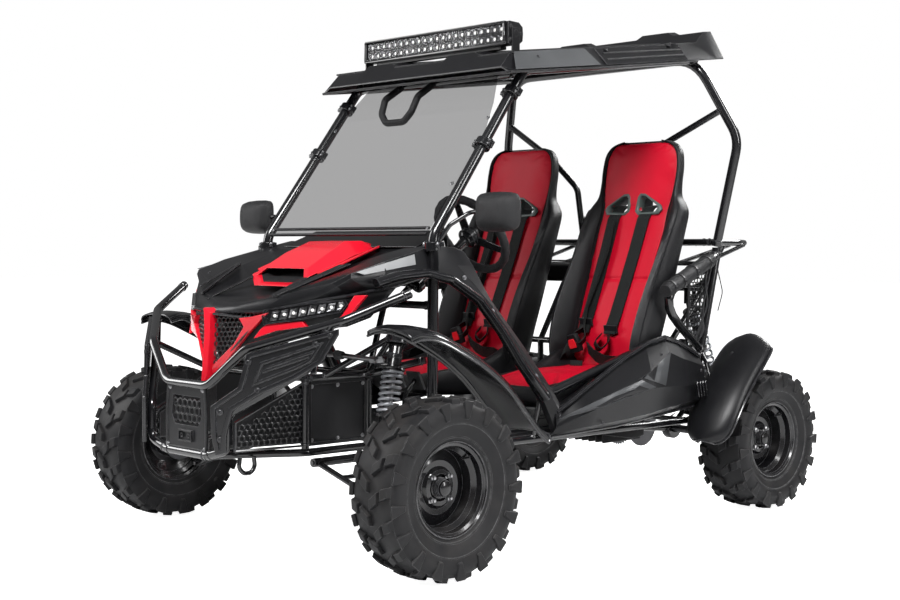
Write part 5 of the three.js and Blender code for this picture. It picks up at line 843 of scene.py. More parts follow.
def make_bumper():
    shape = tubes(Shape(), [(14, 70, BUMPER_MAIN), (14, 0, [(-110, -1243.5, 330), (110, -1243.5, 330)])]
                  + both([(14, 40, BUMPER_BRANCH), (10, 0, [(250, -997, 560), (250, -1207.5, 653)])]))
    for s in (1, -1):
        shape.turn([(0, 0), (0, 11), (3, 14.5), (6, 14.5)], (594 * s, -865, 822), (-s * 0.47, -0.8, -0.38), 24)
    piece("bumper_tubes", shape, "paint", "front_bumper")
    face, mesh = Shape(), Shape()
    on_skid = lambda x, z, out: Vector((x, -1246 - out, z))
    window = [(-62, 412), (-80, 440), (-74, 500), (74, 500), (80, 440), (62, 412)]
    edge = [(-110, 334), (-112, 440), (-104, 536), (104, 536), (112, 440), (110, 334)]
    for line in ([(edge, 0), (window, 0)], [(edge, -5), (window, -5)], [(window, 0), (window, -5)],
                 [(edge, -5), (edge, 0)]):
        face.rings([[on_skid(x, z, out) for x, z in ring] for ring, out in line], caps=False)
    raised_band(face, on_skid, edge, 10, 3)
    raised_band(face, on_skid, [(-36, 362), (-36, 398), (36, 398), (36, 362)], 5, 8)
    for x in (-18, 18):
        face.turn([(0, 8), (6, 8), (6, 4), (1, 3)], on_skid(x, 380, 0), (0, -1, 0), 16)
    honeycomb(mesh, lambda u, v: abs(u) < 78 and abs(v) < 45, (1, 0, 0), (0, 0, 1), (0, -1243, 456), 26, 7)
    hook = Shape()
    hook.tube([(214, -1200, 330), (214, -1204, 300), (214, -1186, 282), (214, -1160, 282), (214, -1146, 300),
               (214, -1150, 330)],
              7, 22, 16)
    piece("skid_face", face, "plastic", bevel=1.5)
    piece("skid_mesh", mesh, "plastic", thick=4.0)
    piece("tow_hook", hook, "paint")
    screens, borders, screen_shade_sheets = Shape(), Shape(), Shape()
    for s in (1, -1):
        corner = lambda u, v: Vector((s * mix(222, 252, u), mix(-1224, -990, u), v))
        across = (corner(1, 0) - corner(0, 0)).normalized()
        inside = lambda u, v: abs(u) < 110 and -64 < v < 50 + 0.52 * u
        honeycomb(screens, inside, across, (0, 0, 1), corner(0.5, 420), 19, 5)
        borders.tube([corner(u, v) for u, v in ((0, 352), (1, 352), (1, 546), (0, 436), (0, 352))], 5, 0, 8)
        # A dark sheet behind each screen paints the shade inside the nose
        screen_shade_sheets.prism([(s * 200, -1214, 356), (s * 232, -980, 356), (s * 232, -980, 540),
                       (s * 200, -1214, 430)], (-3 * s, 0, 0))
    piece("side_screen_shade_sheets", screen_shade_sheets, "rubber")
    piece("side_screens", screens, "plastic_gloss", thick=2.0)
    piece("side_screen_borders", borders, "paint")
    bolts = Shape()
    for s in (1, -1):
        for x, z in ((100, 346), (88, 524)):
            bolt(bolts, (x * s, -1246, z), (0, -1, 0), 5.5, 5)
    piece("skid_bolts", bolts, "zinc")


# The fairing's outline and its pressed-in panel, across and up on its own plane
FAIRING = [(273, 641), (302, 651), (500, 719), (500, 702), (460, 620), (393, 571), (306, 524), (238, 474),
           (222, 400), (222, 350),
           (195, 342), (184, 400), (182, 486), (251, 544), (264, 600)]
FAIRING_PANEL = [(306, 618), (462, 680), (432, 622), (396, 600), (286, 548)]


def on_fairing(x, z, out):
    return Vector((x + 0.57 * out, -1233 + 0.695 * (x - 250) - 0.82 * out, z))


def make_fairings():
    plate, bolts = Shape(), Shape()
    plate.prism([on_fairing(x, z, 0) for x, z in FAIRING], on_fairing(0, 0, -5) - on_fairing(0, 0, 0))
    raised_band(plate, on_fairing, FAIRING, 13, 7)
    raised_band(plate, on_fairing, FAIRING_PANEL, 9, 6)
    for low, high in (((312, 590), (428, 638)), ((322, 602), (440, 652))):
        bar = [(low[0], low[1] - 4), (high[0], high[1] - 4), (high[0], high[1] + 4), (low[0], low[1] + 4)]
        plate.prism([on_fairing(x, z, -1) for x, z in bar], on_fairing(0, 0, 6) - on_fairing(0, 0, 0))
    for x, z in ((276, 618), (444, 674), (205, 390), (300, 536), (205, 470), (480, 700)):
        bolt(bolts, on_fairing(x, z, 2), (0.57, -0.82, 0), 7, 6)
    each_side("fairing", plate, "plastic_gloss", "bumper_fairing", bevel=2.0)
    each_side("fairing_bolts", bolts, "plastic_gloss", slot="bare_steel")


# Half rows of the hood from its nose to its rear: centre, scoop side, crease, side top, side foot and lip
HOOD_ROWS = [
    [(0, -1146, 756), (60, -1138, 757), (176, -1099, 760), (277, -1030, 784), (312, -1008, 794),
     (340, -987, 800)],
    [(0, -1090, 778), (84, -1080, 784), (226, -1040, 812), (352, -966, 846), (366, -958, 836),
     (384, -925, 812)],
    [(0, -1010, 792), (104, -1000, 798), (290, -975, 846), (404, -935, 876), (408, -938, 862),
     (420, -880, 826)],
    [(0, -900, 812), (140, -884, 824), (292, -836, 893), (420, -818, 912), (430, -824, 872), (450, -801, 840)],
    [(0, -760, 880), (132, -740, 892), (290, -711, 934), (420, -692, 942), (432, -680, 888), (470, -703, 868)],
    [(0, -640, 944), (132, -620, 948), (288, -601, 958), (408, -596, 966), (434, -610, 880), (472, -640, 868)],
    [(0, -560, 966), (132, -556, 968), (286, -552, 974), (396, -550, 978), (430, -560, 900), (452, -580, 872)],
]
SCOOP_RINGS = [
    [(96, -922, 832), (148, -892, 862), (116, -866, 893)],
    [(104, -790, 872), (150, -790, 900), (112, -790, 936)],
    [(102, -706, 905), (146, -706, 930), (92, -706, 974)],
    [(94, -629, 925), (140, -629, 950), (84, -629, 977)],
    [(84, -561, 940), (130, -561, 952), (100, -561, 958)],
]


def ring_of(half):
    """A closed ring from its right half, lowest point first"""
    return [(-x, y, z) for x, y, z in half] + [(x, y, z) for x, y, z in reversed(half)]


def make_hood():
    piece("hood_shell", Shape().grid(HOOD_ROWS).both(), "plastic", "hood", angle=9, thick=4.0)
    lip, ribs, patch, screws = Shape(), Shape(), Shape(), Shape()
    edge = [row[-1] for row in HOOD_ROWS[1:]]
    front = [(x, y - 1, z - 3) for x, y, z in HOOD_ROWS[0]] + [(x + 1, y, z - 3) for x, y, z in edge[:4]]
    lip.tube(front, 5, 0, 10)
    piece("hood_lip", lip.both(), "plastic_gloss")
    for a, b, rise in (((196, -1060, 800), (268, -860, 893), 9), ((238, -1040, 823), (286, -846, 900), 5),
                       ((150, -1072, 786), (140, -900, 856), 5)):
        a, b = Vector(a), Vector(b)
        side = Vector((9, 2, 0))
        ribs.prism([a - side, a + side, b + side, b - side], (0, -2, rise))
    piece("hood_ribs", ribs.both(), "plastic", bevel=2.5)
    # A silvery strip on each side facet of the hood: a painted highlight
    for s in (1, -1):
        face = [(417, -930, 880), (420.5, -700, 934), (427, -700, 902), (421, -900, 872)]
        patch.prism([(s * (x + 2), y, z) for x, y, z in face], (1.5 * s, 0, 0.4))
        for x, y, z in ((400, -640, 956), (340, -585, 965), (300, -960, 868), (120, -575, 966),
                        (452, -690, 880)):
            bolt(screws, (x * s, y, z), (0.25 * s, -0.25, 0.93), 4.5, 3)
    piece("hood_side_highlight", patch, "patch", bevel=0.5)
    piece("hood_screws", screws, "steel")


def make_scoop():
    scoop, inside, line = Shape(), Shape(), Shape()
    rings = [ring_of(half) for half in SCOOP_RINGS]
    scoop.rings(rings, caps=False)
    middle = Vector((0, -894, 861))
    mouth = [Vector(p) for p in rings[0]]
    inner = [middle + (p - middle) * 0.82 + Vector((0, 14, 5)) for p in mouth]
    front = [p + Vector((0, -6, -2)) for p in mouth]
    inner_front = [middle + (p - middle) * 0.84 + Vector((0, -6, -2)) for p in mouth]
    scoop.rings([mouth, front, inner_front, inner], caps=False)
    piece("scoop_shell", scoop, "red", "hood_scoop", bevel=2.5)
    # The throat walls are black rubber; its closed end face is a dark sheet, painted shade deep in the scoop
    deep = [middle + (p - middle) * 0.74 + Vector((0, 110, 42)) for p in mouth]
    inside.rings([inner, deep], caps=False)
    inside.face(*deep)
    piece("scoop_throat_shade", inside, "rubber")
    for s in (1, -1):
        line.prism([(s * 160, -880, 858), (s * 170, -880, 861), (s * 176, -640, 952), (s * 164, -640, 950)],
                   (0, -1, 5))
        line.prism([(s * 148, -862, 868), (s * 182, -850, 876), (s * 188, -640, 954), (s * 148, -600, 957)],
                   (0, -1, 7))
    piece("scoop_wings", line, "red", bevel=1.5)


# The nose below the hood: its top edge from the middle to the side, and its foot above the bumper
MASK_TOP = [(0, -1138, 748), (60, -1130, 749), (176, -1091, 752), (277, -1022, 776), (340, -979, 794),
            (400, -888, 818),
            (446, -800, 836)]
MASK_LOW = [(0, -1140, 548), (30, -1134, 590), (96, -1100, 652), (190, -1030, 690), (262, -970, 702),
            (330, -900, 712),
            (380, -850, 740)]


def on_mask(i_share, v_share, out=0.0):
    count = len(MASK_TOP) - 1
    i = min(int(i_share * count), count - 1)
    t = i_share * count - i
    top = mixv(MASK_TOP[i], MASK_TOP[i + 1], t)
    low = mixv(MASK_LOW[i], MASK_LOW[i + 1], t)
    return mixv(low, top, v_share) + Vector((0.5 * min(1, i_share * 3), -0.86, 0)) * out


def make_mask():
    mask, mesh, trims, rim = Shape(), Shape(), Shape(), Shape()
    mask.grid([[on_mask(k / 24, v / 4, -26) for k in range(25)] for v in range(5)])
    piece("nose_mask", mask.both(), "plastic", "front_grille", thick=3.0)
    across, up = Vector((0.94, 0.3, 0.05)).normalized(), Vector((0, 0.04, 0.999)).normalized()
    inside = lambda u, v: 18 < u < 158 and v < 52 - 0.02 * u and v > -150 + 1.12 * u
    honeycomb(mesh, inside, across, up, (0, -1160, 698), 16.5, 4.0)
    piece("grille_mesh", mesh.both(), "plastic_gloss", thick=5.0)
    # The upright blade, the arm to each side, the bar under each lamp and the edge behind it
    blade = [(0, -1176, 768), (12, -1172, 752), (13, -1170, 690), (10, -1180, 560), (0, -1184, 528)]
    for a, b in zip(blade, blade[1:]):
        trims.face((0, a[1] - 12, a[2]), a, b, (0, b[1] - 12, b[2]))
        trims.face(a, (a[0], a[1] + 30, a[2]), (b[0], b[1] + 30, b[2]), b)
    bands = [
        [(18, -1166, 566), (34, -1160, 566), (104, -1128, 656), (150, -1132, 690), (206, -1096, 756),
         (156, -1126, 742),
         (118, -1138, 738), (134, -1132, 712), (96, -1140, 660), (22, -1168, 590)],
        [(173, -1124, 678), (186, -1108, 706), (202, -1094, 724), (293, -1032, 732), (305, -1026, 716),
         (230, -1082, 702)],
        [(447, -914, 812), (417, -934, 811), (393, -964, 749), (350, -996, 724), (383, -976, 723),
         (409, -955, 743)],
    ]
    for band in bands:
        trims.prism(band, (-6, 16, 0))
    piece("nose_blades", trims.both(), "red", "nose_trim", bevel=2.0)
    rim.tube([(16, -1160, 748), (118, -1130, 742), (150, -1112, 712), (96, -1132, 656), (24, -1160, 584)], 4, 0,
             8)
    rim.tube([(150, -1082, 664), (186, -1052, 676), (240, -1006, 692), (300, -958, 706), (352, -886, 730)], 6,
             0, 8)
    piece("nose_rims", rim.both(), "plastic_gloss")


def make_nose():
    make_hood()
    make_scoop()
    make_mask()
    refined("dashboard", "dash_shell", "plastic", 4.0)


LAMP_NEAR, LAMP_FAR = Vector((203, -1084, 744)), Vector((398, -951, 781))
LAMP_OUT, LAMP_UP = Vector((0.553, -0.812, 0.1)), Vector((0, 0.12, 0.99))


def make_headlights():
    along = LAMP_FAR - LAMP_NEAR
    at = lambda share, rise, out: LAMP_NEAR + along * share + LAMP_UP * rise + LAMP_OUT * out
    case, cells, glow, cover = Shape(), Shape(), Shape(), Shape()
    outline = [(-0.1, 4), (-0.07, 24), (0.5, 25), (1.0, 17), (1.04, 2), (0.96, -21), (0.4, -24), (-0.06, -24)]
    case.prism([at(a, b, -30) for a, b in outline], LAMP_OUT * 34)
    case.rings([[at(a, b, out) for a, b in outline] for out in (4, 11)]
               + [[at(mix(0.47, a, 0.93), b * 0.82, out) for a, b in outline] for out in (11, 4)], caps=False)
    for k in range(8):
        low, high = (k + 0.12) / 8, (k + 0.86) / 8
        h = 15 - 4 * low
        rim = [at(a, b, 8) for a, b in ((low, -h), (high, -h), (high + 0.02, h), (low + 0.02, h))]
        middle = sum(rim, Vector()) / 4
        inner = [middle + (p - middle) * 0.55 - LAMP_OUT * 4 for p in rim]
        cells.rings([rim, inner], caps=False)
        cells.face(*inner)
        glow.turn([(-3, 5.5), (0, 4), (1, 0)], middle - LAMP_OUT * 2, LAMP_OUT, 12)
    cover.prism([at(mix(0.47, a, 0.92), b * 0.8, 10) for a, b in outline], LAMP_OUT * 1.2)
    each_side("lamp_case", case, "plastic_gloss", "headlight", slot="lamp_lens")
    each_side("lamp_cells", cells, "reflector")
    each_side("lamp_leds", glow, "led")
    each_side("lamp_cover", cover, "lens")


def make_windshield():
    strip, pane, bolts = Shape(), Shape(), Shape()
    edge = lambda x, share: Vector((x, mix(-627.5, -219.5, share) - 8, mix(992, 1540, share)))
    outline = [(-408, 0.0), (408, 0.0), (408, 0.62), (372, 0.8), (318, 0.985), (-334, 0.985), (-382, 0.8),
               (-408, 0.62)]
    pane.prism([edge(x, share) for x, share in outline], (0, -3.2, 2.4))
    piece("windshield_pane", pane, "smoke", "windshield", angle=20)
    for share in (0.0, 0.035):
        a, b = edge(-406, share), edge(406, share)
        strip.prism([a, b, b + Vector((0, 4, 6)), a + Vector((0, 4, 6))], (0, -6, 5))
    for s in (1, -1):
        for share in (0.04, 0.3, 0.7, 0.96):
            bolt(bolts, edge((400 - 10 * share) * s, share) + Vector((0, -4, 2)), (0, -0.8, 0.6), 5, 4)
    piece("windshield_strip", strip, "rubber", bevel=1.0)
    piece("windshield_bolts", bolts, "zinc")


# Side cover: its front edge, ridge and rear edge from the top of the pillar to its foot
COVER_FRONT = [(468, -642, 960), (470, -640, 874), (480, -528, 812), (492, -464, 764), (520, -330, 600),
               (545, -236, 451),
               (560, -192, 352)]
COVER_RIDGE = [(474, -575, 956), (484, -575, 900), (492, -505, 836), (504, -446, 778), (530, -322, 622),
               (558, -220, 478),
               (574, -150, 362)]
COVER_REAR = [(468, -529, 942), (474, -497, 899), (482, -470, 850), (490, -430, 788), (515, -316, 650),
              (545, -206, 500),
              (562, -124, 376)]
ROCKER_ROWS = [
    # along the rocker: foot, belly, lower crease, upper crease and top edge
    [(556, -222, 346), (568, -216, 360), (576, -212, 378), (568, -206, 398), (556, -200, 424)],
    [(556, -64, 350), (592, -60, 370), (618, -62, 428), (600, -60, 452), (556, -50, 486)],
    [(556, 100, 356), (606, 104, 382), (626, 120, 478), (622, 128, 508), (558, 132, 576)],
    [(556, 235, 366), (606, 240, 394), (624, 240, 480), (632, 200, 540), (556, 262, 622)],
    [(552, 330, 376), (596, 336, 404), (612, 312, 480), (604, 334, 598), (550, 372, 640)],
    [(548, 452, 388), (584, 452, 412), (592, 446, 474), (584, 440, 570), (546, 452, 622)],
    [(540, 590, 396), (562, 590, 420), (568, 590, 470), (560, 590, 536), (536, 590, 566)],
]
ARCH = [(452, -880, 848), (470, -812, 868), (478, -701, 878), (482, -598, 856), (486, -483, 792),
        (506, -400, 690),
        (522, -330, 588), (548, -236, 470)]


def make_sides():
    cover, rocker, arch, louvres, screws = Shape(), Shape(), Shape(), Shape(), Shape()
    cover.grid([COVER_FRONT, COVER_RIDGE, COVER_REAR])
    inward = lambda row, by: [(x - by, y, z) for x, y, z in row]
    cover.grid([inward(COVER_FRONT, 26), COVER_FRONT])
    cover.grid([COVER_REAR, inward(COVER_REAR, 26)])
    rocker.grid(ROCKER_ROWS)
    top = [row[-1] for row in ROCKER_ROWS]
    rocker.grid([top, inward(top, 34)])
    low = [row[0] for row in ROCKER_ROWS]
    rocker.grid([inward(low, 30), low])
    flat = []
    for ring in sweep_rings(fillet(ARCH, 60, 5), 15, 12):
        mid = sum((Vector(p) for p in ring), Vector()) / len(ring)
        flat.append([mid + Vector(((p - mid).x * 1.5, (p - mid).y, (p - mid).z)) for p in ring])
    arch.rings(flat)
    for share in (0.3, 0.62, 0.9):
        i = int(share * 5)
        c = mixv(COVER_RIDGE[i], COVER_RIDGE[i + 1], share * 5 - i)
        bolt(screws, c + Vector((1, -10, -6)), (0.9, -0.3, 0.2), 5, 4)
    for x, y, z in ((560, -186, 408), (592, 300, 590), (566, 560, 520), (600, -20, 380), (556, 420, 600)):
        bolt(screws, (x + 4, y, z), (0.95, 0, 0.3), 5, 4)
    for k in range(4):
        y = 486 + k * 24
        louvres.prism([(606 - k * 6, y, 480), (612 - k * 6, y, 450), (604 - k * 6, y + 16, 430),
                       (596 - k * 6, y + 16, 486)], (6, 0, 0))
    # A lighter facet on each rocker, a painted highlight where light falls
    lit_facet, strips = Shape(), Shape()
    lit_facet.face((602, -240, 406), (630, 150, 514), (624, 235, 484), (622, -60, 430))
    lit_facet.face((632, 160, 520), (618, 296, 486), (608, 334, 600))
    strips.tube([(560, -196, 424), (562, 132, 580), (560, 262, 628), (553, 372, 646), (547, 452, 626),
                 (538, 590, 572)], 9, 20, 8)
    strips.tube([(556, -218, 344), (556, 100, 354), (552, 330, 374), (540, 590, 394)], 5, 20, 10)
    each_side("side_cover", cover, "plastic", "side_panel", thick=4.0, bevel=3.0)
    each_side("rocker", rocker, "plastic", angle=7, thick=4.0)
    each_side("side_arch", arch, "plastic_gloss")
    each_side("rocker_lit_facet", lit_facet, "lit_facet_grey", thick=2.0, offset=1.0)
    each_side("rocker_louvres", louvres, "plastic_gloss", bevel=1.5)
    each_side("rocker_edges", strips, "plastic_gloss")
    each_side("side_screws", screws, "steel")
    make_guards()


FRONT_GUARD = [(-975, 718), (-925, 728), (-850, 716), (-764, 680), (-663, 628), (-566, 560), (-484, 478),
               (-420, 412), (-382, 385)]
REAR_GUARD = [(806, 636), (786, 628), (752, 604), (710, 566), (652, 508), (598, 446), (552, 378), (520, 318),
              (508, 288), (504, 276)]
REAR_TAPER = [0.62, 0.86, 0.97, 1, 1, 1, 0.98, 0.86, 0.64, 0.34]


def guard_shape(line, across, way, taper=None):
    """A rolled mudguard: its crown line, the x and drop of each column across, and a taper for its ends"""
    shape = Shape()
    widths = spline_rows([[w, 0] for w in taper or [1] * len(line)], 5)
    rows = spline_rows(line, 5)
    middle = (across[0][0] + across[-1][0]) / 2
    grid = []
    for i, (y, z) in enumerate(rows):
        ahead, after = rows[max(i - 1, 0)], rows[min(i + 1, len(rows) - 1)]
        t = Vector((0, after[0] - ahead[0], after[1] - ahead[1])).normalized()
        n = Vector((0, t.z, -t.y)) * way
        grid.append([Vector((mix(middle, x, widths[i][0]), y, z)) - n * drop for x, drop in across])
    return shape.grid(grid)


def make_guards():
    front_across = [(520, 22), (523, 8), (534, 2), (560, -3), (620, -4), (676, 0), (700, 8), (712, 20),
                    (714, 34)]
    rear_across = [(508, 36), (511, 22), (522, 10), (546, -2), (580, -11), (612, -14), (646, -11), (682, -2),
                   (706, 10), (717, 22),
                   (720, 36)]
    front = guard_shape(FRONT_GUARD, front_across, -1)
    rear = guard_shape(REAR_GUARD, rear_across, 1, REAR_TAPER)
    stay, bolts, rim = Shape(), Shape(), Shape()
    stay.tube([(575, -754, 672), (500, -690, 672), (430, -627.5, 670)], 8, 40)
    stay.tube([(560, 640, 470), (520, 660, 540), (480, 674.5, 582)], 8, 40)
    for shape, count in ((front, len(front_across)), (rear, len(rear_across))):
        outer = list(reversed(shape.verts[count - 1::count]))
        rim.tube(shape.verts[::count] + shape.verts[-count:][1:] + outer[1:], 4.5, 0, 8)
    for x, y, z in ((545, -700, 652), (545, -560, 560), (660, -700, 650), (530, 560, 340), (700, 560, 340),
                    (600, 706, 580)):
        bolt(bolts, (x, y, z), (0.1, -0.75, 0.6), 5, 4)
    each_side("front_guard", front, "plastic_gloss", "front_fender", thick=3.5)
    each_side("rear_guard", rear, "plastic", "rear_fender", thick=3.5)
    each_side("guard_rims", rim, "plastic_gloss")
    each_side("guard_stays", stay, "paint")
    each_side("guard_bolts", bolts, "steel")


def make_roof():
    refined("roof_panel", "roof_shell", "plastic", 6.0, segments=3)
    bolts, side, rear, trim = Shape(), Shape(), Shape(), Shape()
    for s in (1, -1):
        for y, z in ((-190, 1585), (150, 1640), (500, 1690)):
            bolt(bolts, (455 * s, y, z), (0.3 * s, 0, 0.95), 6, 5)
        face = [(443, -292, 1591), (443, 52, 1637), (488, 88, 1580), (481, -318, 1529)]
        side.prism([(x * s, y, z) for x, y, z in face], (1.6 * s, 0, 1.0))
        face = [(446, 100, 1641), (446, 560, 1701), (496, 560, 1640), (490, 118, 1583)]
        rear.prism([(x * s, y, z) for x, y, z in face], (1.6 * s, 0, 1.0))
        for low, high in (((462, 130, 1626), (466, 550, 1680)), ((478, 134, 1604), (483, 550, 1660))):
            trim.tube([(low[0] * s, low[1], low[2]), (high[0] * s, high[1], high[2])], 4, 0, 8)
        trim.tube([(499 * s, 560, 1632), (489 * s, 60, 1567), (479 * s, -343, 1519)], 4.5, 0, 8)
    trim.tube([(-478, -344, 1519), (478, -344, 1519)], 4.5, 0, 8)
    trim.tube([(-452, -300, 1590), (452, -300, 1590)], 3.5, 0, 8)
    # The roof's side faces are a lighter grey, a painted highlight
    piece("roof_lit_side_faces", side, "lit_facet_grey", bevel=1.5)
    piece("roof_rear_faces", rear, "plastic_gloss", bevel=1.5)
    piece("roof_beads", trim, "plastic")
    piece("roof_bolts", bolts, "steel")


def make_light_bar():
    s = settings()
    lo, hi = (Vector(c) * 1000 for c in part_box("light_bar"))
    y0, y1, z0, z1 = lo.y - SHIFT, hi.y - SHIFT, lo.z, hi.z
    mid, half, middle = (z0 + z1) / 2, (z1 - z0) / 2, mix(y0, y1, 0.5)
    case, ends, rims = Shape(), Shape(), Shape()
    front = y0 + 10
    x_in = 371 - 14
    profile = [(front + 15, mid - half + 4), (front + 15, mid + half - 4), (front + 16, mid + half),
               (y1 - 20, mid + half - 2),
               (y1 - 2, mid + half - 16), (y1, mid), (y1 - 2, mid - half + 16), (y1 - 20, mid - half + 2),
               (front + 16, mid - half)]
    caps = [(front, mid - half + 4), (front, mid + half - 4),
            (front + 6, mid + half)] + profile[3:8] + [(front + 6, mid - half)]
    case.rings([[(x, y, z) for y, z in profile] for x in (-x_in, x_in)])
    for k in range(36):
        x = -x_in + 14 + k * (2 * x_in - 28) / 35
        case.block((x - 2, front + 26, mid + half - 5), (x + 2, y1 - 23, mid + half))
        case.block((x - 2, front + 26, mid - half + 1), (x + 2, y1 - 23, mid - half + 5))
    for e in (1, -1):
        ends.rings([[(x * e, y, z) for y, z in caps] for x in (x_in, x_in + 12)])
        for y, z in ((front + 12, mid + 22), (front + 12, mid - 22), (y1 - 18, mid)):
            bolt(ends, ((x_in + 12) * e, y, z), (e, 0, 0), 5, 4)
    cells, leds, bezel, lens = Shape(), Shape(), Shape(), Shape()
    span = (2 * x_in - 24) / s.led_columns
    for row in (-1, 1):
        for k in range(s.led_columns):
            c = Vector((-x_in + 12 + span * (k + 0.5), front, mid + row * 15.5))
            r = min(span, 31) / 2 - 2.0
            cells.turn([(-1, r), (6, r * 0.8), (14, r * 0.42), (14, 0)], c, (0, 1, 0), 20)
            leds.turn([(6, 0), (8, 5), (14, 5)], c, (0, 1, 0), 10)
            w, h = span / 2, 15.5
            ring = circle(Vector((0, -1, 0)), Vector((1, 0, 0)), Vector((0, 0, 1)), 20)
            square = [Vector((max(-w, min(w, 1.5 * w * p.x)), -1,
                              max(-h, min(h, 1.5 * h * p.z)))) for p in ring]
            bezel.rings([[c + Vector((r * p.x, -1, r * p.z)) for p in ring], [c + p for p in square]],
                        caps=False)
    lens.block((-x_in + 8, front - 4, mid - 31), (x_in - 8, front - 2.5, mid + 31))
    for za, zb in ((mid + 31, mid + half), (mid - half, mid - 31)):
        rims.block((-x_in, front - 8, za), (x_in, front + 8, zb))
    for e in (1, -1):
        rims.block((min(e * x_in, e * (x_in - 9)), front - 8, mid - 31),
                   (max(e * x_in, e * (x_in - 9)), front + 8, mid + 31))
        ends.turn([(0, 0), (0, 13), (5, 13), (7, 11), (7, 0)], ((x_in + 12) * e, middle, mid), (e, 0, 0), 24)
    ends.block((-x_in + 40, middle - 14, z0 - 10), (x_in - 40, middle + 14, z0 + 1))
    for name, shape, finish, extra in (("case", case, "plastic_gloss", {"replaces": "light_bar", "bevel": 1.5}),
                                       ("ends", ends, "plastic", {"bevel": 1.0}),
                                       ("bezel", rims, "plastic_gloss", {"bevel": 1.5}),
                                       ("cells", cells, "reflector", {}),
                                       ("plate", bezel, "rubber", {"slot": "lamp_lens"}),
                                       ("leds", leds, "led", {}),
                                       ("lens", lens, "lens", {})):
        piece("light_bar_" + name, shape, finish, body="light_bar_body", **extra)


FRONT_TYRE = {"radius": 267.0, "half": 88.0, "seat": 130.0}
REAR_TYRE = {"radius": 257.0, "half": 95.0, "seat": 130.0}


def tyre_shape(size, lugs, depth):
    """A balloon carcass with its tread blocks in chevrons and shoulder lugs, its axis along X"""
    r, h, seat = size["radius"], size["half"], size["seat"]
    top = r - depth
    profile = [(-h * 0.5, seat), (-h * 0.66, seat + 4), (-h * 0.72, seat + 16), (-h * 0.83, seat + 34),
               (-h * 0.95, top - 58),
               (-h, top - 34), (-h * 0.97, top - 18), (-h * 0.86, top - 6), (-h * 0.66, top - 1.5),
               (-h * 0.33, top),
               (0, top), (h * 0.33, top), (h * 0.66, top - 1.5), (h * 0.86, top - 6), (h * 0.97, top - 18),
               (h, top - 34),
               (h * 0.95, top - 58), (h * 0.83, seat + 34), (h * 0.72, seat + 16), (h * 0.66, seat + 4),
               (h * 0.5, seat)]
    carcass = Shape().turn(profile, (0, 0, 0), (1, 0, 0), 96)
    for edge in (-1, 1):
        for share in (0.74, 0.905):
            x, rr = edge * h * share, seat + 22 if share < 0.8 else top - 62
            carcass.turn([(x - 2, rr - 4), (x + edge * 2.5, rr - 2), (x + edge * 2.5, rr + 2), (x - 2, rr + 4)],
                         (0, 0, 0),
                         (1, 0, 0), 96)
    tread = Shape()

    def at(x, rad, a):
        return (x, rad * math.sin(a), rad * math.cos(a))

    def block(corners, low, high, shrink=0.82):
        cx = sum(c[0] for c in corners) / len(corners)
        ca = sum(c[1] for c in corners) / len(corners)
        lower = [at(x, low - abs(x) / h * 5, a) for x, a in corners]
        upper = [at(cx + (x - cx) * shrink, high - (abs(x) / h) ** 3 * 7, ca + (a - ca) * shrink) for x,
                 a in corners]
        tread.rings([lower, upper])

    step = 2 * math.pi / lugs
    for k in range(lugs):
        for side in (-1, 1):
            a = (k + (0.5 if side > 0 else 0.0)) * step
            x = lambda share: side * h * share
            block([(x(0.02), a - 0.16 * step), (x(0.44), a + 0.12 * step), (x(0.44), a + 0.5 * step),
                   (x(0.02), a + 0.2 * step)],
                  top - 4, r)
            block([(x(0.52), a + 0.16 * step), (x(0.88), a + 0.3 * step), (x(0.88), a + 0.66 * step),
                   (x(0.52), a + 0.55 * step)],
                  top - 4, r)
            quad = [at(x(0.93), top - 6, a - 0.32 * step), at(x(0.93), top - 6, a + 0.12 * step),
                    at(x(0.98), top - 52, a + 0.02 * step), at(x(0.98), top - 52, a - 0.2 * step)]
            lift = [at(x(1.02), top + 4, a - 0.3 * step), at(x(1.02), top + 4, a + 0.1 * step),
                    at(x(1.05), top - 46, a), at(x(1.05), top - 46, a - 0.18 * step)]
            tread.rings([quad, lift])
    return carcass, tread


def rim_shape(size, outer_side):
    """A pressed steel wheel: stepped barrel, rolled edges and a disc dished towards the middle of the kart"""
    seat, h = size["seat"], size["half"] * 0.72
    o = outer_side
    barrel = Shape()
    profile = [(-h, seat + 9), (-h + 3, seat + 12), (-h + 8, seat + 9), (-h + 10, seat), (-h + 24, seat - 1),
               (-h + 30, seat - 14),
               (h - 44, seat - 14), (h - 30, seat - 1), (h - 10, seat), (h - 8, seat + 9), (h - 3, seat + 12),
               (h, seat + 9),
               (h, seat + 6), (h - 6, seat + 3), (h - 10, seat - 5), (h - 32, seat - 6), (h - 44, seat - 18),
               (-h + 30, seat - 18),
               (-h + 24, seat - 6), (-h + 10, seat - 5), (-h + 6, seat + 3), (-h, seat + 6), (-h, seat + 9)]
    barrel.turn([(x * o, r) for x, r in profile], (0, 0, 0), (1, 0, 0), 72)
    disc = [(-20, seat - 17), (-16, seat - 17), (-12, seat - 26), (-4, 84), (0, 78), (-2, 62), (8, 52),
            (10, 40), (-6, 34), (-6, 24),
            (-12, 24), (-12, 38), (4, 40), (2, 50), (-8, 60), (-6, 76), (-12, 86), (-20, seat - 26),
            (-24, seat - 17)]
    barrel.turn([(x * o, r) for x, r in disc + disc[:1]], (0, 0, 0), (1, 0, 0), 72)
    return barrel


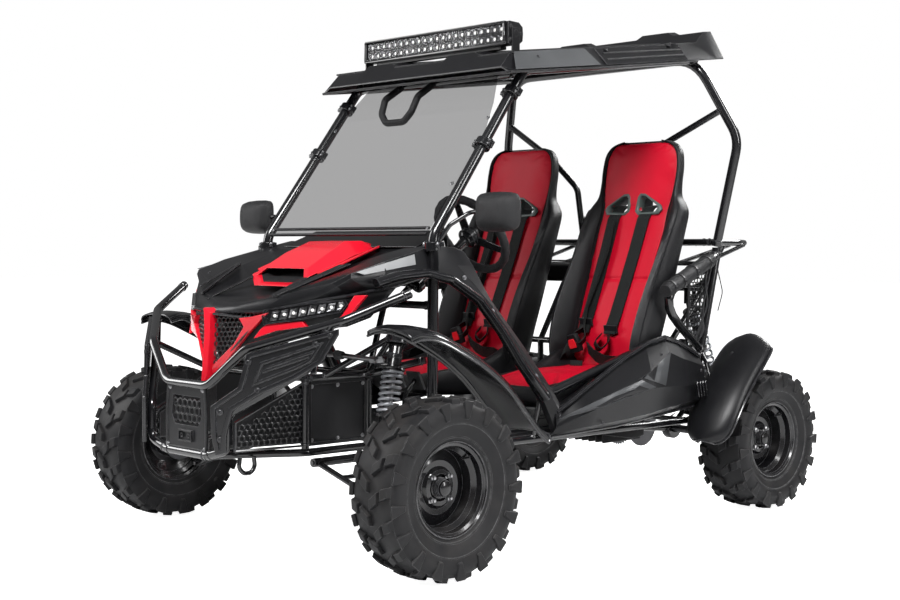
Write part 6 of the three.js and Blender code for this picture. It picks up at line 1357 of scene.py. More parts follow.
def hub_shape(outer_side, seat):
    hub, nuts = Shape(), Shape()
    o = outer_side
    hub.turn([(x * o, r) for x, r in [(-10, 0), (-10, 33), (8, 33), (10, 31), (10, 26), (26, 25), (34, 22),
                                      (38, 16), (38, 0)]],
             (0, 0, 0), (1, 0, 0), 40)
    for x, r in ((14, 25.6), (20, 25.2), (26, 24.6)):
        hub.sleeve((x - 1) * o, (x + 1) * o, r - 2, r + 1, (0, 0, 0), (1, 0, 0), 40)
    for k in range(4):
        a = math.pi / 4 + k * math.pi / 2
        c = (4 * o, 46 * math.sin(a), 46 * math.cos(a))
        nuts.turn([(0, 0), (0, 11), (3, 11), (4, 8.6), (12, 8.6), (14, 6), (19, 5), (20, 0)], c, (o, 0, 0), 6)
    return hub, nuts


def make_wheels():
    s = settings()
    for where, size, x, y in (("front", FRONT_TYRE, 709, FRONT_Y), ("rear", REAR_TYRE, 610, REAR_Y)):
        carcass, tread = tyre_shape(size, s.lug_count, s.lug_depth * 1000)
        for side, sign in SIDES.items():
            body = f"front_wheel_{side}_body" if where == "front" else "rear_wheels_body"
            high = size["radius"]
            hub, nuts = hub_shape(sign, size["seat"])
            valve = Shape().tube([(20 * sign, 78, 78), (44 * sign, 84, 84)], 3.2, 0, 12)
            for name, shape, finish, extra in (
                    ("carcass", carcass, "tyre", {"replaces": f"{where}_tyre_{side}"}),
                    ("tread", tread, "tyre", {"bevel": 2.2}),
                    ("wheel", rim_shape(size, sign), "rim", {"replaces": f"{where}_rim_{side}"}),
                    ("hubcap", hub, "rim", {}),
                    ("nuts", nuts, "zinc", {}), ("valve", valve, "rubber", {"slot": "rim_paint"})):
                piece(f"{where}_{name}_{side}", shape.moved((x * sign, y, high)), finish, body=body, **extra)


def coil(shape, start, end, radius, turns, wire, per_turn=30, dead=0.8):
    """A compression spring: its dead end turns lie close, ground flat against the seats"""
    a, b = Vector(start), Vector(end)
    axis = (b - a).normalized()
    travel = (b - a).length - wire * 2
    u = axis.orthogonal().normalized()
    v = axis.cross(u)
    close = 2.05 * wire
    rise_dead = close * dead / travel
    path = []
    for turn in (i / per_turn for i in range(int(turns * per_turn) + 1)):
        if turn < dead:
            rise = rise_dead * turn / dead
        elif turn > turns - dead:
            rise = 1 - rise_dead * (turns - turn) / dead
        else:
            rise = rise_dead + (1 - 2 * rise_dead) * (turn - dead) / (turns - 2 * dead)
        angle = 2 * math.pi * turn
        path.append(a + axis * (wire + travel * rise) + u * (radius * math.cos(angle))
                    + v * (radius * math.sin(angle)))
    shape.rings(sweep_rings(path, wire, 12))


STRUT_BASE, STRUT_AXIS = Vector((472, -885.5, 267)), Vector((-0.077, 0.25, 1))


def on_strut(rise, sign=1):
    p = STRUT_BASE + STRUT_AXIS * rise
    return Vector((p.x * sign, p.y, p.z))


def strut_turn(shape, profile, sign, steps=40):
    """A turned part of a strut, with its profile's places given as rises in z"""
    axis = Vector((STRUT_AXIS.x * sign, STRUT_AXIS.y, STRUT_AXIS.z))
    shape.turn([(rise * axis.length, r) for rise, r in profile], on_strut(0, sign), axis, steps)


def make_struts():
    for side, sign in SIDES.items():
        tube, rod, spring = Shape(), Shape(), Shape()
        strut_turn(tube, [(318, 12.5), (318, 36), (321, 38), (324, 36), (326, 24), (330, 22), (433, 22),
                          (436, 20), (438, 12),
                          (438, 0)], sign)
        for d in (352, 356, 360, 364):
            rise = d * STRUT_AXIS.length
            tube.sleeve(rise - 1, rise + 1, 21.5, 23.6, on_strut(0, sign),
                        (STRUT_AXIS.x * sign, *STRUT_AXIS.yz), 40)
        strut_turn(rod, [(122, 0), (122, 12), (320, 12), (320, 0)], sign, 32)
        tube.tube([(446.2 * sign, -801.8, 602), (459.6 * sign, -875.3, 602)], 6, 0)
        piece(f"strut_top_{side}", tube, "paint", f"strut_tube_{side}", body=f"strut_{side}_body")
        piece(f"strut_rod_{side}", rod, "zinc", body=f"strut_{side}_body")
        coil(spring, on_strut(185.5, sign), on_strut(317.5, sign), 29, settings().coil_turns, 4.8)
        made = piece(f"strut_spring_{side}", spring, "spring", f"front_spring_{side}", body=None, angle=60)
        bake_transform(made)


FRONT_AXLE = (0, FRONT_Y, 267)


def make_knuckles():
    for side, sign in SIDES.items():
        body = f"knuckle_{side}_body"
        tube, hub, disc = Shape(), Shape(), Shape()
        strut_turn(tube, [(24, 0), (24, 21), (176, 21), (178, 34), (180, 36), (184, 36), (185, 34), (185, 13)],
                   sign)
        for d in (60, 118):
            strut_turn(tube, [(d, 21), (d, 25), (d + 16, 25), (d + 16, 21)], sign)
        tube.prism([(474 * sign, -908, 240), (474 * sign, -850, 240), (474 * sign, -846, 330),
                    (474 * sign, -894, 330)],
                   (18 * sign, 0, 0))
        tube.turn([(0, 0), (0, 26), (30, 26), (34, 20), (120, 20), (124, 0)], (488 * sign, FRONT_Y, 267),
                  (sign, 0, 0), 32)
        piece(f"knuckle_tube_{side}", tube, "paint", f"knuckle_{side}", body=body)
        hub.turn([(600, 13), (600, 34), (618, 34), (620, 44), (626, 44), (640, 40), (696, 30), (700, 13),
                  (735, 13), (735, 0)],
                 FRONT_AXLE, (sign, 0, 0), 40)
        piece(f"front_hub_{side}", hub, "alloy", body=body, slot="bare_steel")
        disc.turn([(621.5, 40), (621.5, 60), (621.5, 63), (622, 64), (628, 64), (628.5, 63), (628.5, 40)],
                  FRONT_AXLE,
                  (sign, 0, 0), 64)
        piece(f"brake_disc_{side}", disc, "steel", body=body)


def make_arms():
    for side, sign in SIDES.items():
        arm = Shape()
        tip = (475.1 * sign, -895.5, 206)
        for y in (-939.5, -783.5):
            arm.tube([(250 * sign, y, 296), tip], 9, 0, 18)
            arm.sleeve(-16, 16, 8, 14, (250 * sign, y, 296), (0, 1, 0), 24)
        arm.sleeve(-191, 0, 8, 13.5, (250 * sign, -766, 296), (0, 1, 0), 24)
        mid = [mix(Vector((250 * sign, y, 296)), Vector(tip), 0.42) for y in (-939.5, -783.5)]
        arm.tube(mid, 7, 0, 16)
        arm.sleeve(0, 10, 0, 13, (475.1 * sign, -895.5, 205.4), (0, 0, 1), 32)
        piece(f"a_arm_{side}", arm, "paint", f"lower_arm_{side}", body=f"lower_arm_{side}_body")


def make_rack():
    shaft = Shape().tube([(-280, -889.5, 625), (280, -889.5, 625)], 8, 0, 24)
    piece("rack_rod", shaft, "zinc", "steering_rack", body="rack_body")
    for side, sign in SIDES.items():
        rod, boot = Shape(), Shape()
        rod.tube([(296 * sign, -889.5, 625), (450.7 * sign, -867.8, 616.5)], 8, 0, 20)
        rod.sleeve(0, 12, 4, 15, (458.2 * sign, -867.8, 610.5), (0, 0, 1), 28)
        rod.turn([(12, 0), (12, 8), (18, 8), (19, 6), (19, 0)], (458.2 * sign, -867.8, 610.5), (0, 0, 1), 6)
        rod.sleeve(0, 22, 10, 12, (424 * sign, -871.5, 618), (sign, 0.14, -0.055), 6)
        profile = [(0, 10)]
        for k in range(7):
            profile += [(2 + k * 4.4, 15.5 - k * 0.5), (4.2 + k * 4.4, 12 - k * 0.4)]
        boot.turn(profile + [(34, 8)], (281 * sign, -889.5, 625), (sign, 0, 0), 32)
        piece(f"track_rod_{side}", rod, "zinc", f"tie_rod_{side}", body="rack_body")
        piece(f"rack_boot_{side}", boot, "rubber", body="rack_body", slot="rubber_grip")


AXLE, SWING_PIVOT = (0, REAR_Y, 257), (0, 500.5, 290)


def make_rear_drive():
    arm, axle, disc, teeth = Shape(), Shape(), Shape(), Shape()
    arm.sleeve(-199, 199, 13, 18, SWING_PIVOT, (1, 0, 0), 32)
    for s in (1, -1):
        arm.tube([(169 * s, 500.5, 290), (205 * s, 861.5, 257)], 15, 0, 24)
        arm.turn([(187, 16.5), (187, 38), (190, 40), (220, 40), (223, 38), (223, 16.5)], AXLE, (s, 0, 0), 40)
        arm.tube([(205 * s, 861.5, 257), (271.6 * s, 985.5, 440)], 11, 0, 20)
        arm.sleeve(0, 12, 6, 16, (275.2 * s, 985.5, 440), (s, 0, 0), 24)
        gusset(arm, (200 * s, 820, 262), (180 * s, 560, 285), (255 * s, 960, 400), 80)
    arm.tube([(-169, 693.5, 245), (169, 693.5, 245)], 11, 0, 20)
    piece("rear_swing_arm", arm, "paint", "swing_arm", body="swing_body")
    axle.turn([(-610, 0), (-610, 13), (-606, 15), (606, 15), (610, 13), (610, 0)], AXLE, (1, 0, 0), 32)
    for x in (-58, 58):
        axle.sleeve(x - 14, x + 14, 15, 34, AXLE, (1, 0, 0), 32)
    for s in (1, -1):
        axle.turn([(520, 15), (520, 30), (560, 30), (562, 46), (572, 46), (572, 15)], AXLE, (s, 0, 0), 40)
    piece("rear_axle_shaft", axle, "steel", "rear_axle", body="rear_wheels_body")
    count = 38 * 4
    spot = lambda x, r, k: (x, 861.5 + r * math.cos(2 * math.pi * k / count),
                            257 + r * math.sin(2 * math.pi * k / count))
    tooth = (92, 92, 84, 84)
    teeth.rings([[spot(x, r or tooth[k % 4], k) for k in range(count)]
                 for x, r in ((-60, 34), (-60, 0), (-55, 0), (-55, 34), (-60, 34))], caps=False)
    disc.turn([(55.5, 34), (55.5, 86), (60.5, 86), (60.5, 34), (55.5, 34)], AXLE, (1, 0, 0), 72)
    piece("rear_sprocket", teeth, "steel", body="rear_wheels_body", bevel=0.5)
    piece("rear_brake_disc", disc, "steel", body="rear_wheels_body")


def make_shocks():
    for side, sign in SIDES.items():
        top, foot = Vector((300 * sign, 846.5, 765)), Vector((300 * sign, 985.5, 440))
        axis = (foot - top).normalized()
        span = (foot - top).length
        at = lambda share: top + axis * (span * share)
        tube, rod, spring = Shape(), Shape(), Shape()
        tube.turn([(0, 0), (0, 13), (8, 20)] + [(span * share, r) for share, r in (
            (0.1, 20), (0.12, 38), (0.13, 40), (0.145, 40), (0.15, 38), (0.155, 20), (0.58, 20), (0.6, 18),
            (0.6, 0))],
            top, axis, 36)
        for k in range(6):
            d = span * 0.17 + k * 5
            tube.sleeve(d - 1.2, d + 1.2, 19.8, 21.6, top, axis, 36)
        tube.sleeve(-11, 11, 4, 13, top, (1, 0, 0), 28)
        piece(f"shock_body_{side}", tube, "paint", f"rear_shock_tube_{side}", body=f"shock_tube_{side}_body")
        rod.turn([(span * share, r) for share, r in ((0.45, 0), (0.45, 8), (0.845, 8), (0.85, 38), (0.855, 40),
                                                     (0.87, 40),
                                                     (0.875, 24), (0.95, 16), (0.96, 0))], top, axis, 36)
        rod.sleeve(-11, 11, 4, 13, foot, (1, 0, 0), 28)
        piece(f"shock_shaft_{side}", rod, "steel", f"rear_shock_rod_{side}", body=f"shock_rod_{side}_body")
        coil(spring, at(0.147), at(0.848), 33, settings().shock_turns, 5)
        made = piece(f"shock_spring_{side}", spring, "spring", f"rear_spring_{side}", body=None, angle=60)
        place(at(0.147))
        place(at(0.848))
        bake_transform(made)


SEAT_X = 308.0
# The front face of the backrest by height: z, y, half width of the red pad, half width of the shell,
# reach of the bolsters and depth
BACK_ROWS = [
    (500, 318, 140, 192, 60, 76), (560, 330, 146, 206, 84, 76), (640, 346, 150, 214, 96, 76),
    (740, 378, 154, 218, 96, 76),
    (842, 414, 157, 217, 82, 76), (930, 444, 158, 217, 62, 76), (1020, 472, 156, 221, 44, 74),
    (1085, 495, 153, 219, 30, 72),
    (1118, 505, 156, 204, 20, 66), (1150, 511, 162, 184, 10, 58), (1200, 521, 167, 180, 7, 50),
    (1250, 529, 169, 181, 6, 48),
    (1300, 536, 162, 175, 6, 46), (1328, 540, 147, 161, 5, 44), (1346, 543, 122, 138, 4, 40),
    (1356, 545, 84, 104, 3, 34),
]


def seat_shell():
    """The black outer shell and bolsters of the backrest, as one loft of closed rings up its height"""
    shape = Shape()
    rings = []
    for z, y, pad, wide, reach, deep in spline_rows(BACK_ROWS, 4):
        half = [
            (pad * 0.96, y + 16), (pad + 2, y + 2), (mix(pad, wide, 0.35), y - reach * 0.75),
            (mix(pad, wide, 0.6), y - reach), (mix(pad, wide, 0.85), y - reach * 0.9), (wide, y - reach * 0.4),
            (wide + 2, y + 12), (wide - 4, y + deep * 0.63), (wide - deep * 0.4, y + deep),
        ]
        ring = [(-x, yy) for x, yy in half] + list(reversed(half))
        rings.append([(SEAT_X + x, yy, z) for x, yy in ring])
    return shape.rings(rings)


def centre_pad(low, high, columns=14):
    """A closed cushion on the backrest between two heights"""
    front, back = [], []
    across = [-1 + 2 * k / columns for k in range(columns + 1)]
    for z, y, half, *rest in spline_rows(BACK_ROWS, 6):
        if low <= z <= high:
            front.append([(SEAT_X + half * u, y - 10 * (1 - u ** 4), z) for u in across])
            back.append([(SEAT_X + half * u, y + 14, z) for u in across])
    return closed_pad(front, back)


def closed_pad(front, back):
    shape = Shape()
    shape.grid(front)
    shape.grid([list(reversed(row)) for row in back])
    for r in range(len(front) - 1):
        shape.face(front[r][0], front[r + 1][0], back[r + 1][0], back[r][0])
        shape.face(front[r][-1], back[r][-1], back[r + 1][-1], front[r + 1][-1])
    for row in (0, -1):
        for c in range(len(front[0]) - 1):
            shape.face(front[row][c], back[row][c], back[row][c + 1], front[row][c + 1])
    return shape


def base_shell():
    rings = []
    for y, half, top, low, side in ((-122, 150, 492, 440, 0), (-112, 172, 500, 424, 2), (-80, 184, 504, 414, 4),
                                    (-20, 188, 504, 408, 8), (80, 190, 506, 404, 16), (180, 192, 510, 402, 34),
                                    (270, 192, 520, 402, 70), (340, 188, 540, 404, 84),
                                    (372, 178, 560, 410, 60)):
        inner = half - 40
        points = [(-inner, top - 10), (-inner - 6, top + side * 0.7), (-inner - 16, top + side),
                  (-half + 8, top + side * 0.96),
                  (-half, top + side * 0.6), (-half - 2, top - 30), (-half + 10, low + 8), (-half + 40, low)]
        rings.append([(SEAT_X + x, y, z) for x, z in points + [(-x, z) for x, z in reversed(points)]])
    return Shape().rings(rings)


def base_pad(count=22, columns=14):
    """The cushion of a seat's base, its front edge rolled down"""
    rows, under = [], []
    for t in (r / count for r in range(count + 1)):
        y, half = mix(-116, 318, t), mix(150, 158, min(1, t * 1.6))
        nose = -26 * max(0, 1 - t / 0.13) ** 2
        across = [-1 + 2 * k / columns for k in range(columns + 1)]
        rows.append([(SEAT_X + half * u, y, 506 + 12 * (1 - u ** 4) + nose + 10 * t) for u in across])
        under.append([(SEAT_X + half * u, y, 470) for u in across])
    return closed_pad(rows, under)


def inflate(shape, name, pinned, seams=(), pressure=4.0, frames=20, voxel=0.006):
    """A cushion blown up as cloth from its flat cut, then held to its swell limit"""
    obj = mesh_object(name, shape, 1e-5)
    scene = bpy.context.scene
    bpy.context.view_layer.objects.active = obj
    for other in bpy.context.selected_objects:
        other.select_set(False)
    obj.select_set(True)
    remesh = obj.modifiers.new("remesh", "REMESH")
    remesh.mode = "VOXEL"
    remesh.voxel_size = voxel
    bpy.ops.object.modifier_apply(modifier=remesh.name)
    rest = [v.co.copy() for v in obj.data.vertices]
    group_pin = obj.vertex_groups.new(name="pin")
    held = [v.index for v in obj.data.vertices if pinned(v.co * 1000 - Vector((0, SHIFT, 0)))]
    group_pin.add(held, 1.0, "REPLACE")
    cloth = obj.modifiers.new("cloth", "CLOTH")
    c = cloth.settings
    c.use_pressure = True
    c.uniform_pressure_force = pressure
    c.tension_stiffness = c.compression_stiffness = 22
    c.shear_stiffness = 10
    c.bending_stiffness = 0.6
    c.quality = 7
    c.mass = 0.25
    c.vertex_group_mass = "pin"
    c.effector_weights.gravity = 0
    cloth.collision_settings.use_collision = False
    cloth.point_cache.frame_start, cloth.point_cache.frame_end = 1, frames
    for f in range(1, frames + 1):
        scene.frame_set(f)
    bpy.ops.object.modifier_apply(modifier=cloth.name)
    scene.frame_set(1)
    limit = settings().pad_swell
    for v, old in zip(obj.data.vertices, rest):
        step = v.co - old
        if step.length > limit:
            v.co = old + step * (limit / step.length)
    for v in obj.data.vertices:
        p = v.co * 1000 - Vector((0, SHIFT, 0))
        for test, axis, depth, width in seams:
            d = test(p)
            if abs(d) < width * 3:
                v.co -= Vector(axis) * (depth / 1000 * math.exp(-(d / width) ** 2))
    smooth = obj.modifiers.new("smooth", "SMOOTH")
    smooth.factor = 0.5
    smooth.iterations = 3
    return obj


def turned_over(obj):
    """Mirrors a mesh to the other side of the kart"""
    obj.data.transform(Matrix.Scale(-1, 4, Vector((1, 0, 0))))
    obj.data.flip_normals()


def finish_pad(obj):
    dress(obj, "vinyl", "chassis", None)
    modifiers(obj, subdivide=1)


def copy_to_right(obj, name):
    other = obj.copy()
    other.data = obj.data.copy()
    other.name = name
    turned_over(other)
    bpy.context.scene.collection.objects.link(other)
    return other


SLOT = [(12, 1094), (15, 1152), (26, 1164), (50, 1162), (126, 1116), (134, 1102), (122, 1084), (30, 1080)]


def slot_rings(s, share, out):
    """One belt slot's outline on the backrest, drawn in by a share and raised by out"""
    cx, cz = 62, 1120
    rows = []
    for x, z in SLOT:
        px, pz = mix(cx, x, share), mix(cz, z, share)
        rows.append(Vector((SEAT_X + s * px, back_y(pz) - 12 - out, pz)))
    return rows if s > 0 else list(reversed(rows))


def belt_slots():
    """The rubber trims round the two shoulder belt slots of a seat, and the cutter for the slots"""
    trims, cutter = Shape(), Shape()
    for s in (-1, 1):
        rings = [slot_rings(s, 1.0, -4), slot_rings(s, 1.0, 3), slot_rings(s, 0.93, 7), slot_rings(s, 0.8, 7),
                 slot_rings(s, 0.72, 3), slot_rings(s, 0.7, -26)]
        trims.rings(rings, caps=False)
        cutter.rings([slot_rings(s, 0.74, 60), slot_rings(s, 0.74, -160)])
    return trims, cutter


def cut_slots(obj, cutter):
    m = obj.modifiers.new("slots", "BOOLEAN")
    m.operation = "DIFFERENCE"
    m.solver = "EXACT"
    m.object = cutter
    bpy.context.view_layer.objects.active = obj
    bpy.ops.object.modifier_apply(modifier=m.name)


def ribbon(points, width_dir, half, thick):
    """A flat strap through points, its width along one direction"""
    w = Vector(width_dir).normalized() * half
    path = fillet(points, 18, 5)
    shape = Shape()
    rings = []
    for i, p in enumerate(path):
        t = (path[min(i + 1, len(path) - 1)] - path[max(i - 1, 0)]).normalized()
        n = w.cross(t).normalized() * (thick / 2)
        rings.append([p - w - n, p + w - n, p + w + n, p - w + n])
    return shape.rings(rings)


def harness_shapes(cx):
    """A four-point harness hanging loose on the seat: straps, adjusters, buckle and its button"""
    straps, metal, buckle, button = Shape(), Shape(), Shape(), Shape()
    on_pad = lambda x, z, out=20: (cx + x, back_y(z) - out, z)
    runs = [
        [(cx - 66, 560, 1118), (cx - 68, 498, 1108), on_pad(-74, 1070, 24), on_pad(-80, 950), on_pad(-86, 830),
         on_pad(-92, 720),
         on_pad(-96, 650, 26)],
        [(cx + 66, 560, 1118), (cx + 68, 498, 1108), on_pad(66, 1070, 24), on_pad(56, 950), on_pad(46, 830),
         on_pad(36, 720),
         on_pad(30, 650, 26)],
    ]
    for run in runs:
        straps.join(ribbon(run, (1, 0, 0), 27, 3.4))
    loose = [on_pad(-64, 1060, 30), on_pad(-58, 960, 34), on_pad(-74, 850, 36), on_pad(-96, 740, 34),
             on_pad(-84, 668, 40)]
    straps.join(ribbon(loose, (0.8, -0.6, 0), 12, 3.0))
    laps = [
        [(cx - 158, 300, 524), (cx - 150, 268, 566), (cx - 128, 268, 596), (cx - 104, 286, 612)],
        [(cx + 158, 300, 524), (cx + 128, 262, 556), (cx + 70, 258, 556), (cx + 10, 268, 574),
         (cx - 36, 282, 600)],
        [on_pad(-92, 664, 30), (cx - 116, 292, 640), (cx - 80, 276, 600), (cx - 54, 292, 632),
         (cx - 70, 300, 672)],
        [on_pad(30, 650, 30), (cx + 54, 292, 622), (cx + 20, 282, 590), (cx - 14, 290, 620),
         (cx + 8, 304, 648)],
        [(cx - 60, 250, 552), (cx - 40, 224, 536), (cx + 10, 176, 529), (cx + 16, 120, 527)],
    ]
    for lap, across in zip(laps, ((0.3, 0.2, 1), (0.1, -0.4, 1), (0.6, -0.8, 0.4), (0.7, -0.6, 0.3),
                                  (1, 0.3, 0))):
        straps.join(ribbon(lap, across, 24, 3.2))
    for x, z in ((-90, 690), (34, 668)):
        c = Vector(on_pad(x, z, 25))
        metal.prism([c + Vector((-31, 3, -14)), c + Vector((31, 3, -14)), c + Vector((31, -3, 14)),
                     c + Vector((-31, -3, 14))],
                    (0, -5, -1))
    c = Vector((cx - 95, 288, 616))
    u, v = Vector((0.96, -0.2, 0.2)).normalized(), Vector((-0.2, -0.25, 0.95)).normalized()
    n = u.cross(v).normalized()
    n = n if n.y < 0 else -n
    outline = lambda w, h: [c + u * a + v * b for a,
                            b in ((-w, -h), (w, -h), (w * 1.1, 0), (w * 0.8, h), (-w * 0.8, h), (-w * 1.1, 0))]
    buckle.prism(outline(29, 34), n * 20)
    button.prism([p + n * 18 for p in outline(18, 17)], n * 6)
    return straps, metal, buckle, button


def make_seats():
    trims, holes = belt_slots()
    cutter = mesh_object("slot_cutter", holes, 1e-5)
    for shell in each_side("seat_shell", seat_shell(), "vinyl_dark", "seat", angle=50):
        cut_slots(shell, cutter)
        turned_over(cutter)
    for pan in each_side("seat_base", base_shell(), "vinyl_dark", subdivide=1):
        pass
    back = inflate(centre_pad(520, 1350), "seat_back_pad_left", lambda p: p.y > back_y(p.z) + 4,
                   [(lambda p: p.z - 848, (0, -1, 0), 6, 5)])
    cut_slots(back, cutter)
    base = inflate(base_pad(), "seat_base_pad_left", lambda p: p.z < 484,
                   [(lambda p: p.y - 96, (0, 0, 1), 6, 5)])
    for obj in (back, base):
        right = copy_to_right(obj, obj.name.replace("left", "right"))
        finish_pad(obj)
        finish_pad(right)
    bpy.data.objects.remove(cutter)
    edging = Shape()
    rows = spline_rows(BACK_ROWS, 4)
    for s in (-1, 1):
        edging.tube([(SEAT_X + s * (pad + 4), y - 5, z) for z, y, pad, wide, reach,
                     deep in rows if 530 <= z <= 1356], 2.6, 0, 8)
        edging.tube([(SEAT_X + s * mix(pad, wide, 0.92), y - reach * 0.72, z)
                     for z, y, pad, wide, reach, deep in rows if 520 < z < 1110], 2.6, 0, 8)
    each_side("belt_slot_trims", trims, "slot_trim", angle=50)
    each_side("seat_piping", edging, "thread", angle=60)
    for side, s in SIDES.items():
        straps, metal, buckle, button = harness_shapes(SEAT_X * s)
        piece("belt_straps_" + side, straps, "webbing", "harness_" + side)
        piece("belt_adjusters_" + side, metal, "plastic", slot="bare_steel", bevel=1.0)
        piece("belt_buckle_" + side, buckle, "plastic", bevel=3.0)
        piece("belt_button_" + side, button, "red_button", bevel=1.5)


def back_y(z):
    rows = spline_rows(BACK_ROWS, 4)
    for a, b in zip(rows, rows[1:]):
        if a[0] <= z <= b[0]:
            return mix(a[1], b[1], (z - a[0]) / (b[0] - a[0]))
    return rows[0][1] if z < rows[0][0] else rows[-1][1]


WHEEL_AT, WHEEL_RUN = Vector((300, -336.5, 1000)), Vector((0, -0.8288, -0.5595))


def make_steering():
    u = Vector((1, 0, 0))
    v = WHEEL_RUN.cross(u).normalized()
    ring, spokes, cap = Shape(), Shape(), Shape()
    rings = []
    for k, p in enumerate(circle(WHEEL_AT, u * 138, v * 138, 72)):
        grip = 15.2 if k % 3 == 0 else 14
        rings.append(circle(p, (p - WHEEL_AT).normalized() * grip, WHEEL_RUN * grip, 16))
    ring.rings(rings + rings[:1], caps=False)
    piece("wheel_grip", ring, "foam", "steering_wheel", body="steering_wheel_body", angle=60)
    hub = WHEEL_AT + WHEEL_RUN * 15
    for end in (WHEEL_AT + u * (126 * math.cos(a)) + v * (126 * math.sin(a)) for a in map(math.radians,
            (90, 210, 330))):
        side = WHEEL_RUN.cross(end - hub).normalized() * 13
        n = WHEEL_RUN * 4
        outline = [hub - side * 1.6, end - side, end + side, hub + side * 1.6]
        spokes.prism([p - n / 2 for p in outline], n)
    spokes.turn([(-4, 0), (-4, 30), (0, 34), (18, 34), (24, 24), (30, 20), (30, 0)], WHEEL_AT + WHEEL_RUN * 8,
                WHEEL_RUN, 36)
    spokes.sleeve(0, 308, 0, 12, WHEEL_AT, WHEEL_RUN, 24)
    spokes.sleeve(273, 281, 12, 20, WHEEL_AT, WHEEL_RUN, 28)
    piece("wheel_spokes", spokes, "paint", body="steering_wheel_body", bevel=0.8)
    cap.turn([(-14, 0), (-14, 20), (-12, 24), (0, 28), (6, 28)], WHEEL_AT, WHEEL_RUN, 36)
    for k in range(6):
        a = math.radians(60 * k + 30)
        c = WHEEL_AT + u * (26 * math.cos(a)) + v * (26 * math.sin(a)) + WHEEL_RUN * 4
        cap.turn([(0, 3.5), (-3, 3.5), (-3, 0)], c, WHEEL_RUN, 8)
    piece("wheel_cap", cap, "plastic", body="steering_wheel_body")


def make_mirrors():
    for side, s in SIDES.items():
        outline = [(-88, -40), (-80, -56), (-60, -64), (50, -62), (76, -54), (88, -36), (90, 10), (84, 46),
                   (70, 60), (-66, 62),
                   (-84, 52), (-90, 30)]
        at = lambda scale, back: [(621 * s + s * x * scale, back - 537, 1066 + z * scale) for x, z in outline]
        case = Shape().rings([at(*spot) for spot in ((0.05, -44), (0.42, -42), (0.72, -34), (0.92, -16),
                                                     (1.0, 2), (1.0, 12),
                                                     (0.93, 14), (0.92, 8))])
        glass = Shape().face(*at(0.92, 9))
        piece("mirror_case_" + side, case, "rubber", "mirror_" + side, body=f"mirror_{side}_body", subdivide=1)
        piece("mirror_glass_" + side, glass, "mirror", body=f"mirror_{side}_body")


def make_pedals():
    up, out, across = Vector((0, -0.447, 0.894)), Vector((0, 0.894, 0.447)), Vector((1, 0, 0))
    for name, x in (("throttle", 250), ("brake", 342)):
        arm, pad = Shape(), Shape()
        arm.tube([(x, -676.5, 378), (x, -664.1, 490), (x, -622, 538)], 7, 60, 16)
        arm.sleeve(-12, 12, 8, 15, (x, -676.5, 378), across, 28)
        c = Vector((x, -614.5, 538))
        plate = [c + across * a + up * b for a, b in ((-30, -31), (30, -31), (30, 31), (-30, 31))]
        pad.prism([p - out * 8 for p in plate], out * 8)
        for b in range(-24, 25, 12):
            row = [c + across * a + up * (b + d) for a, d in ((-26, -2.5), (26, -2.5), (26, 2.5), (-26, 2.5))]
            pad.prism(row, out * 3)
        piece(name + "_arm", arm, "paint", name + "_pedal", body=name + "_body")
        piece(name + "_pad", pad, "rubber", body=name + "_body", slot="rubber_grip", bevel=1.0)


# Centres of the crankshaft and of the muffler drum
CRANK, MUFFLER = (0, 612.5, 420), (0, 695.5, 660)


def make_engine():
    refined("engine", "engine_case", "alloy", 3.0)
    fins, pipe, cover = Shape(), Shape(), Shape()
    axis = (Vector((0, 562.5, 570)) - Vector(CRANK)).normalized()
    for k in range(9):
        d = 92 + k * 8
        fins.sleeve(d, d + 2.5, 40, 62, CRANK, axis, 40)
    fins.turn([(160, 0), (160, 40), (172, 44), (186, 38), (188, 0)], CRANK, axis, 28)
    piece("engine_fins", fins, "alloy")
    pipe.tube([(0, 600, 520), (-60, 612.5, 530), (-112, 625, 545), (-118, 680, 610), (-112, 695.5, 660)], 15,
              40, 20)
    pipe.turn([(-131, 0), (-131, 30), (-126, 46), (-118, 53), (118, 53), (126, 46), (131, 30), (131, 0)],
              MUFFLER,
              (1, 0, 0), 48)
    for x in (-90, 90):
        pipe.sleeve(x - 7, x + 7, 53, 55.5, MUFFLER, (1, 0, 0), 48)
    piece("exhaust_pipe", pipe, "steel", slot="engine_alloy")
    for s in (1, -1):
        cover.turn([(112, 0), (112, 76), (118, 78), (128, 76), (134, 66), (136, 40), (140, 38), (140, 0)],
                   CRANK,
                   (s, 0, 0), 48)
        for k in range(6):
            a = math.pi / 3 * k
            bolt(cover, (128 * s, 612.5 + 70 * math.cos(a), 420 + 70 * math.sin(a)), (s, 0, 0), 4.5, 7)
    belly = Shape()
    belly.prism([(-150, 420, 300), (-150, 452, 262), (-150, 640, 232), (-150, 700, 240), (-150, 700, 300)],
                (350, 0, 0))
    for x in range(-120, 200, 34):
        belly.block((x - 4, 470, 226), (x + 4, 690, 262))
    piece("engine_guard", belly, "plastic", bevel=3.0)
    piece("engine_covers", cover, "alloy")


CAMERA_AT = (3735.339, -3683.158, 940.986)
CAMERA_RIGHT = (0.687243, 0.726399, 0.006390)
CAMERA_UP = (-0.028297, 0.017980, 0.999438)
CAMERA_FORWARD = (-0.725876, 0.687038, -0.032912)
FOCAL_SHARE = 1450.57 / 900


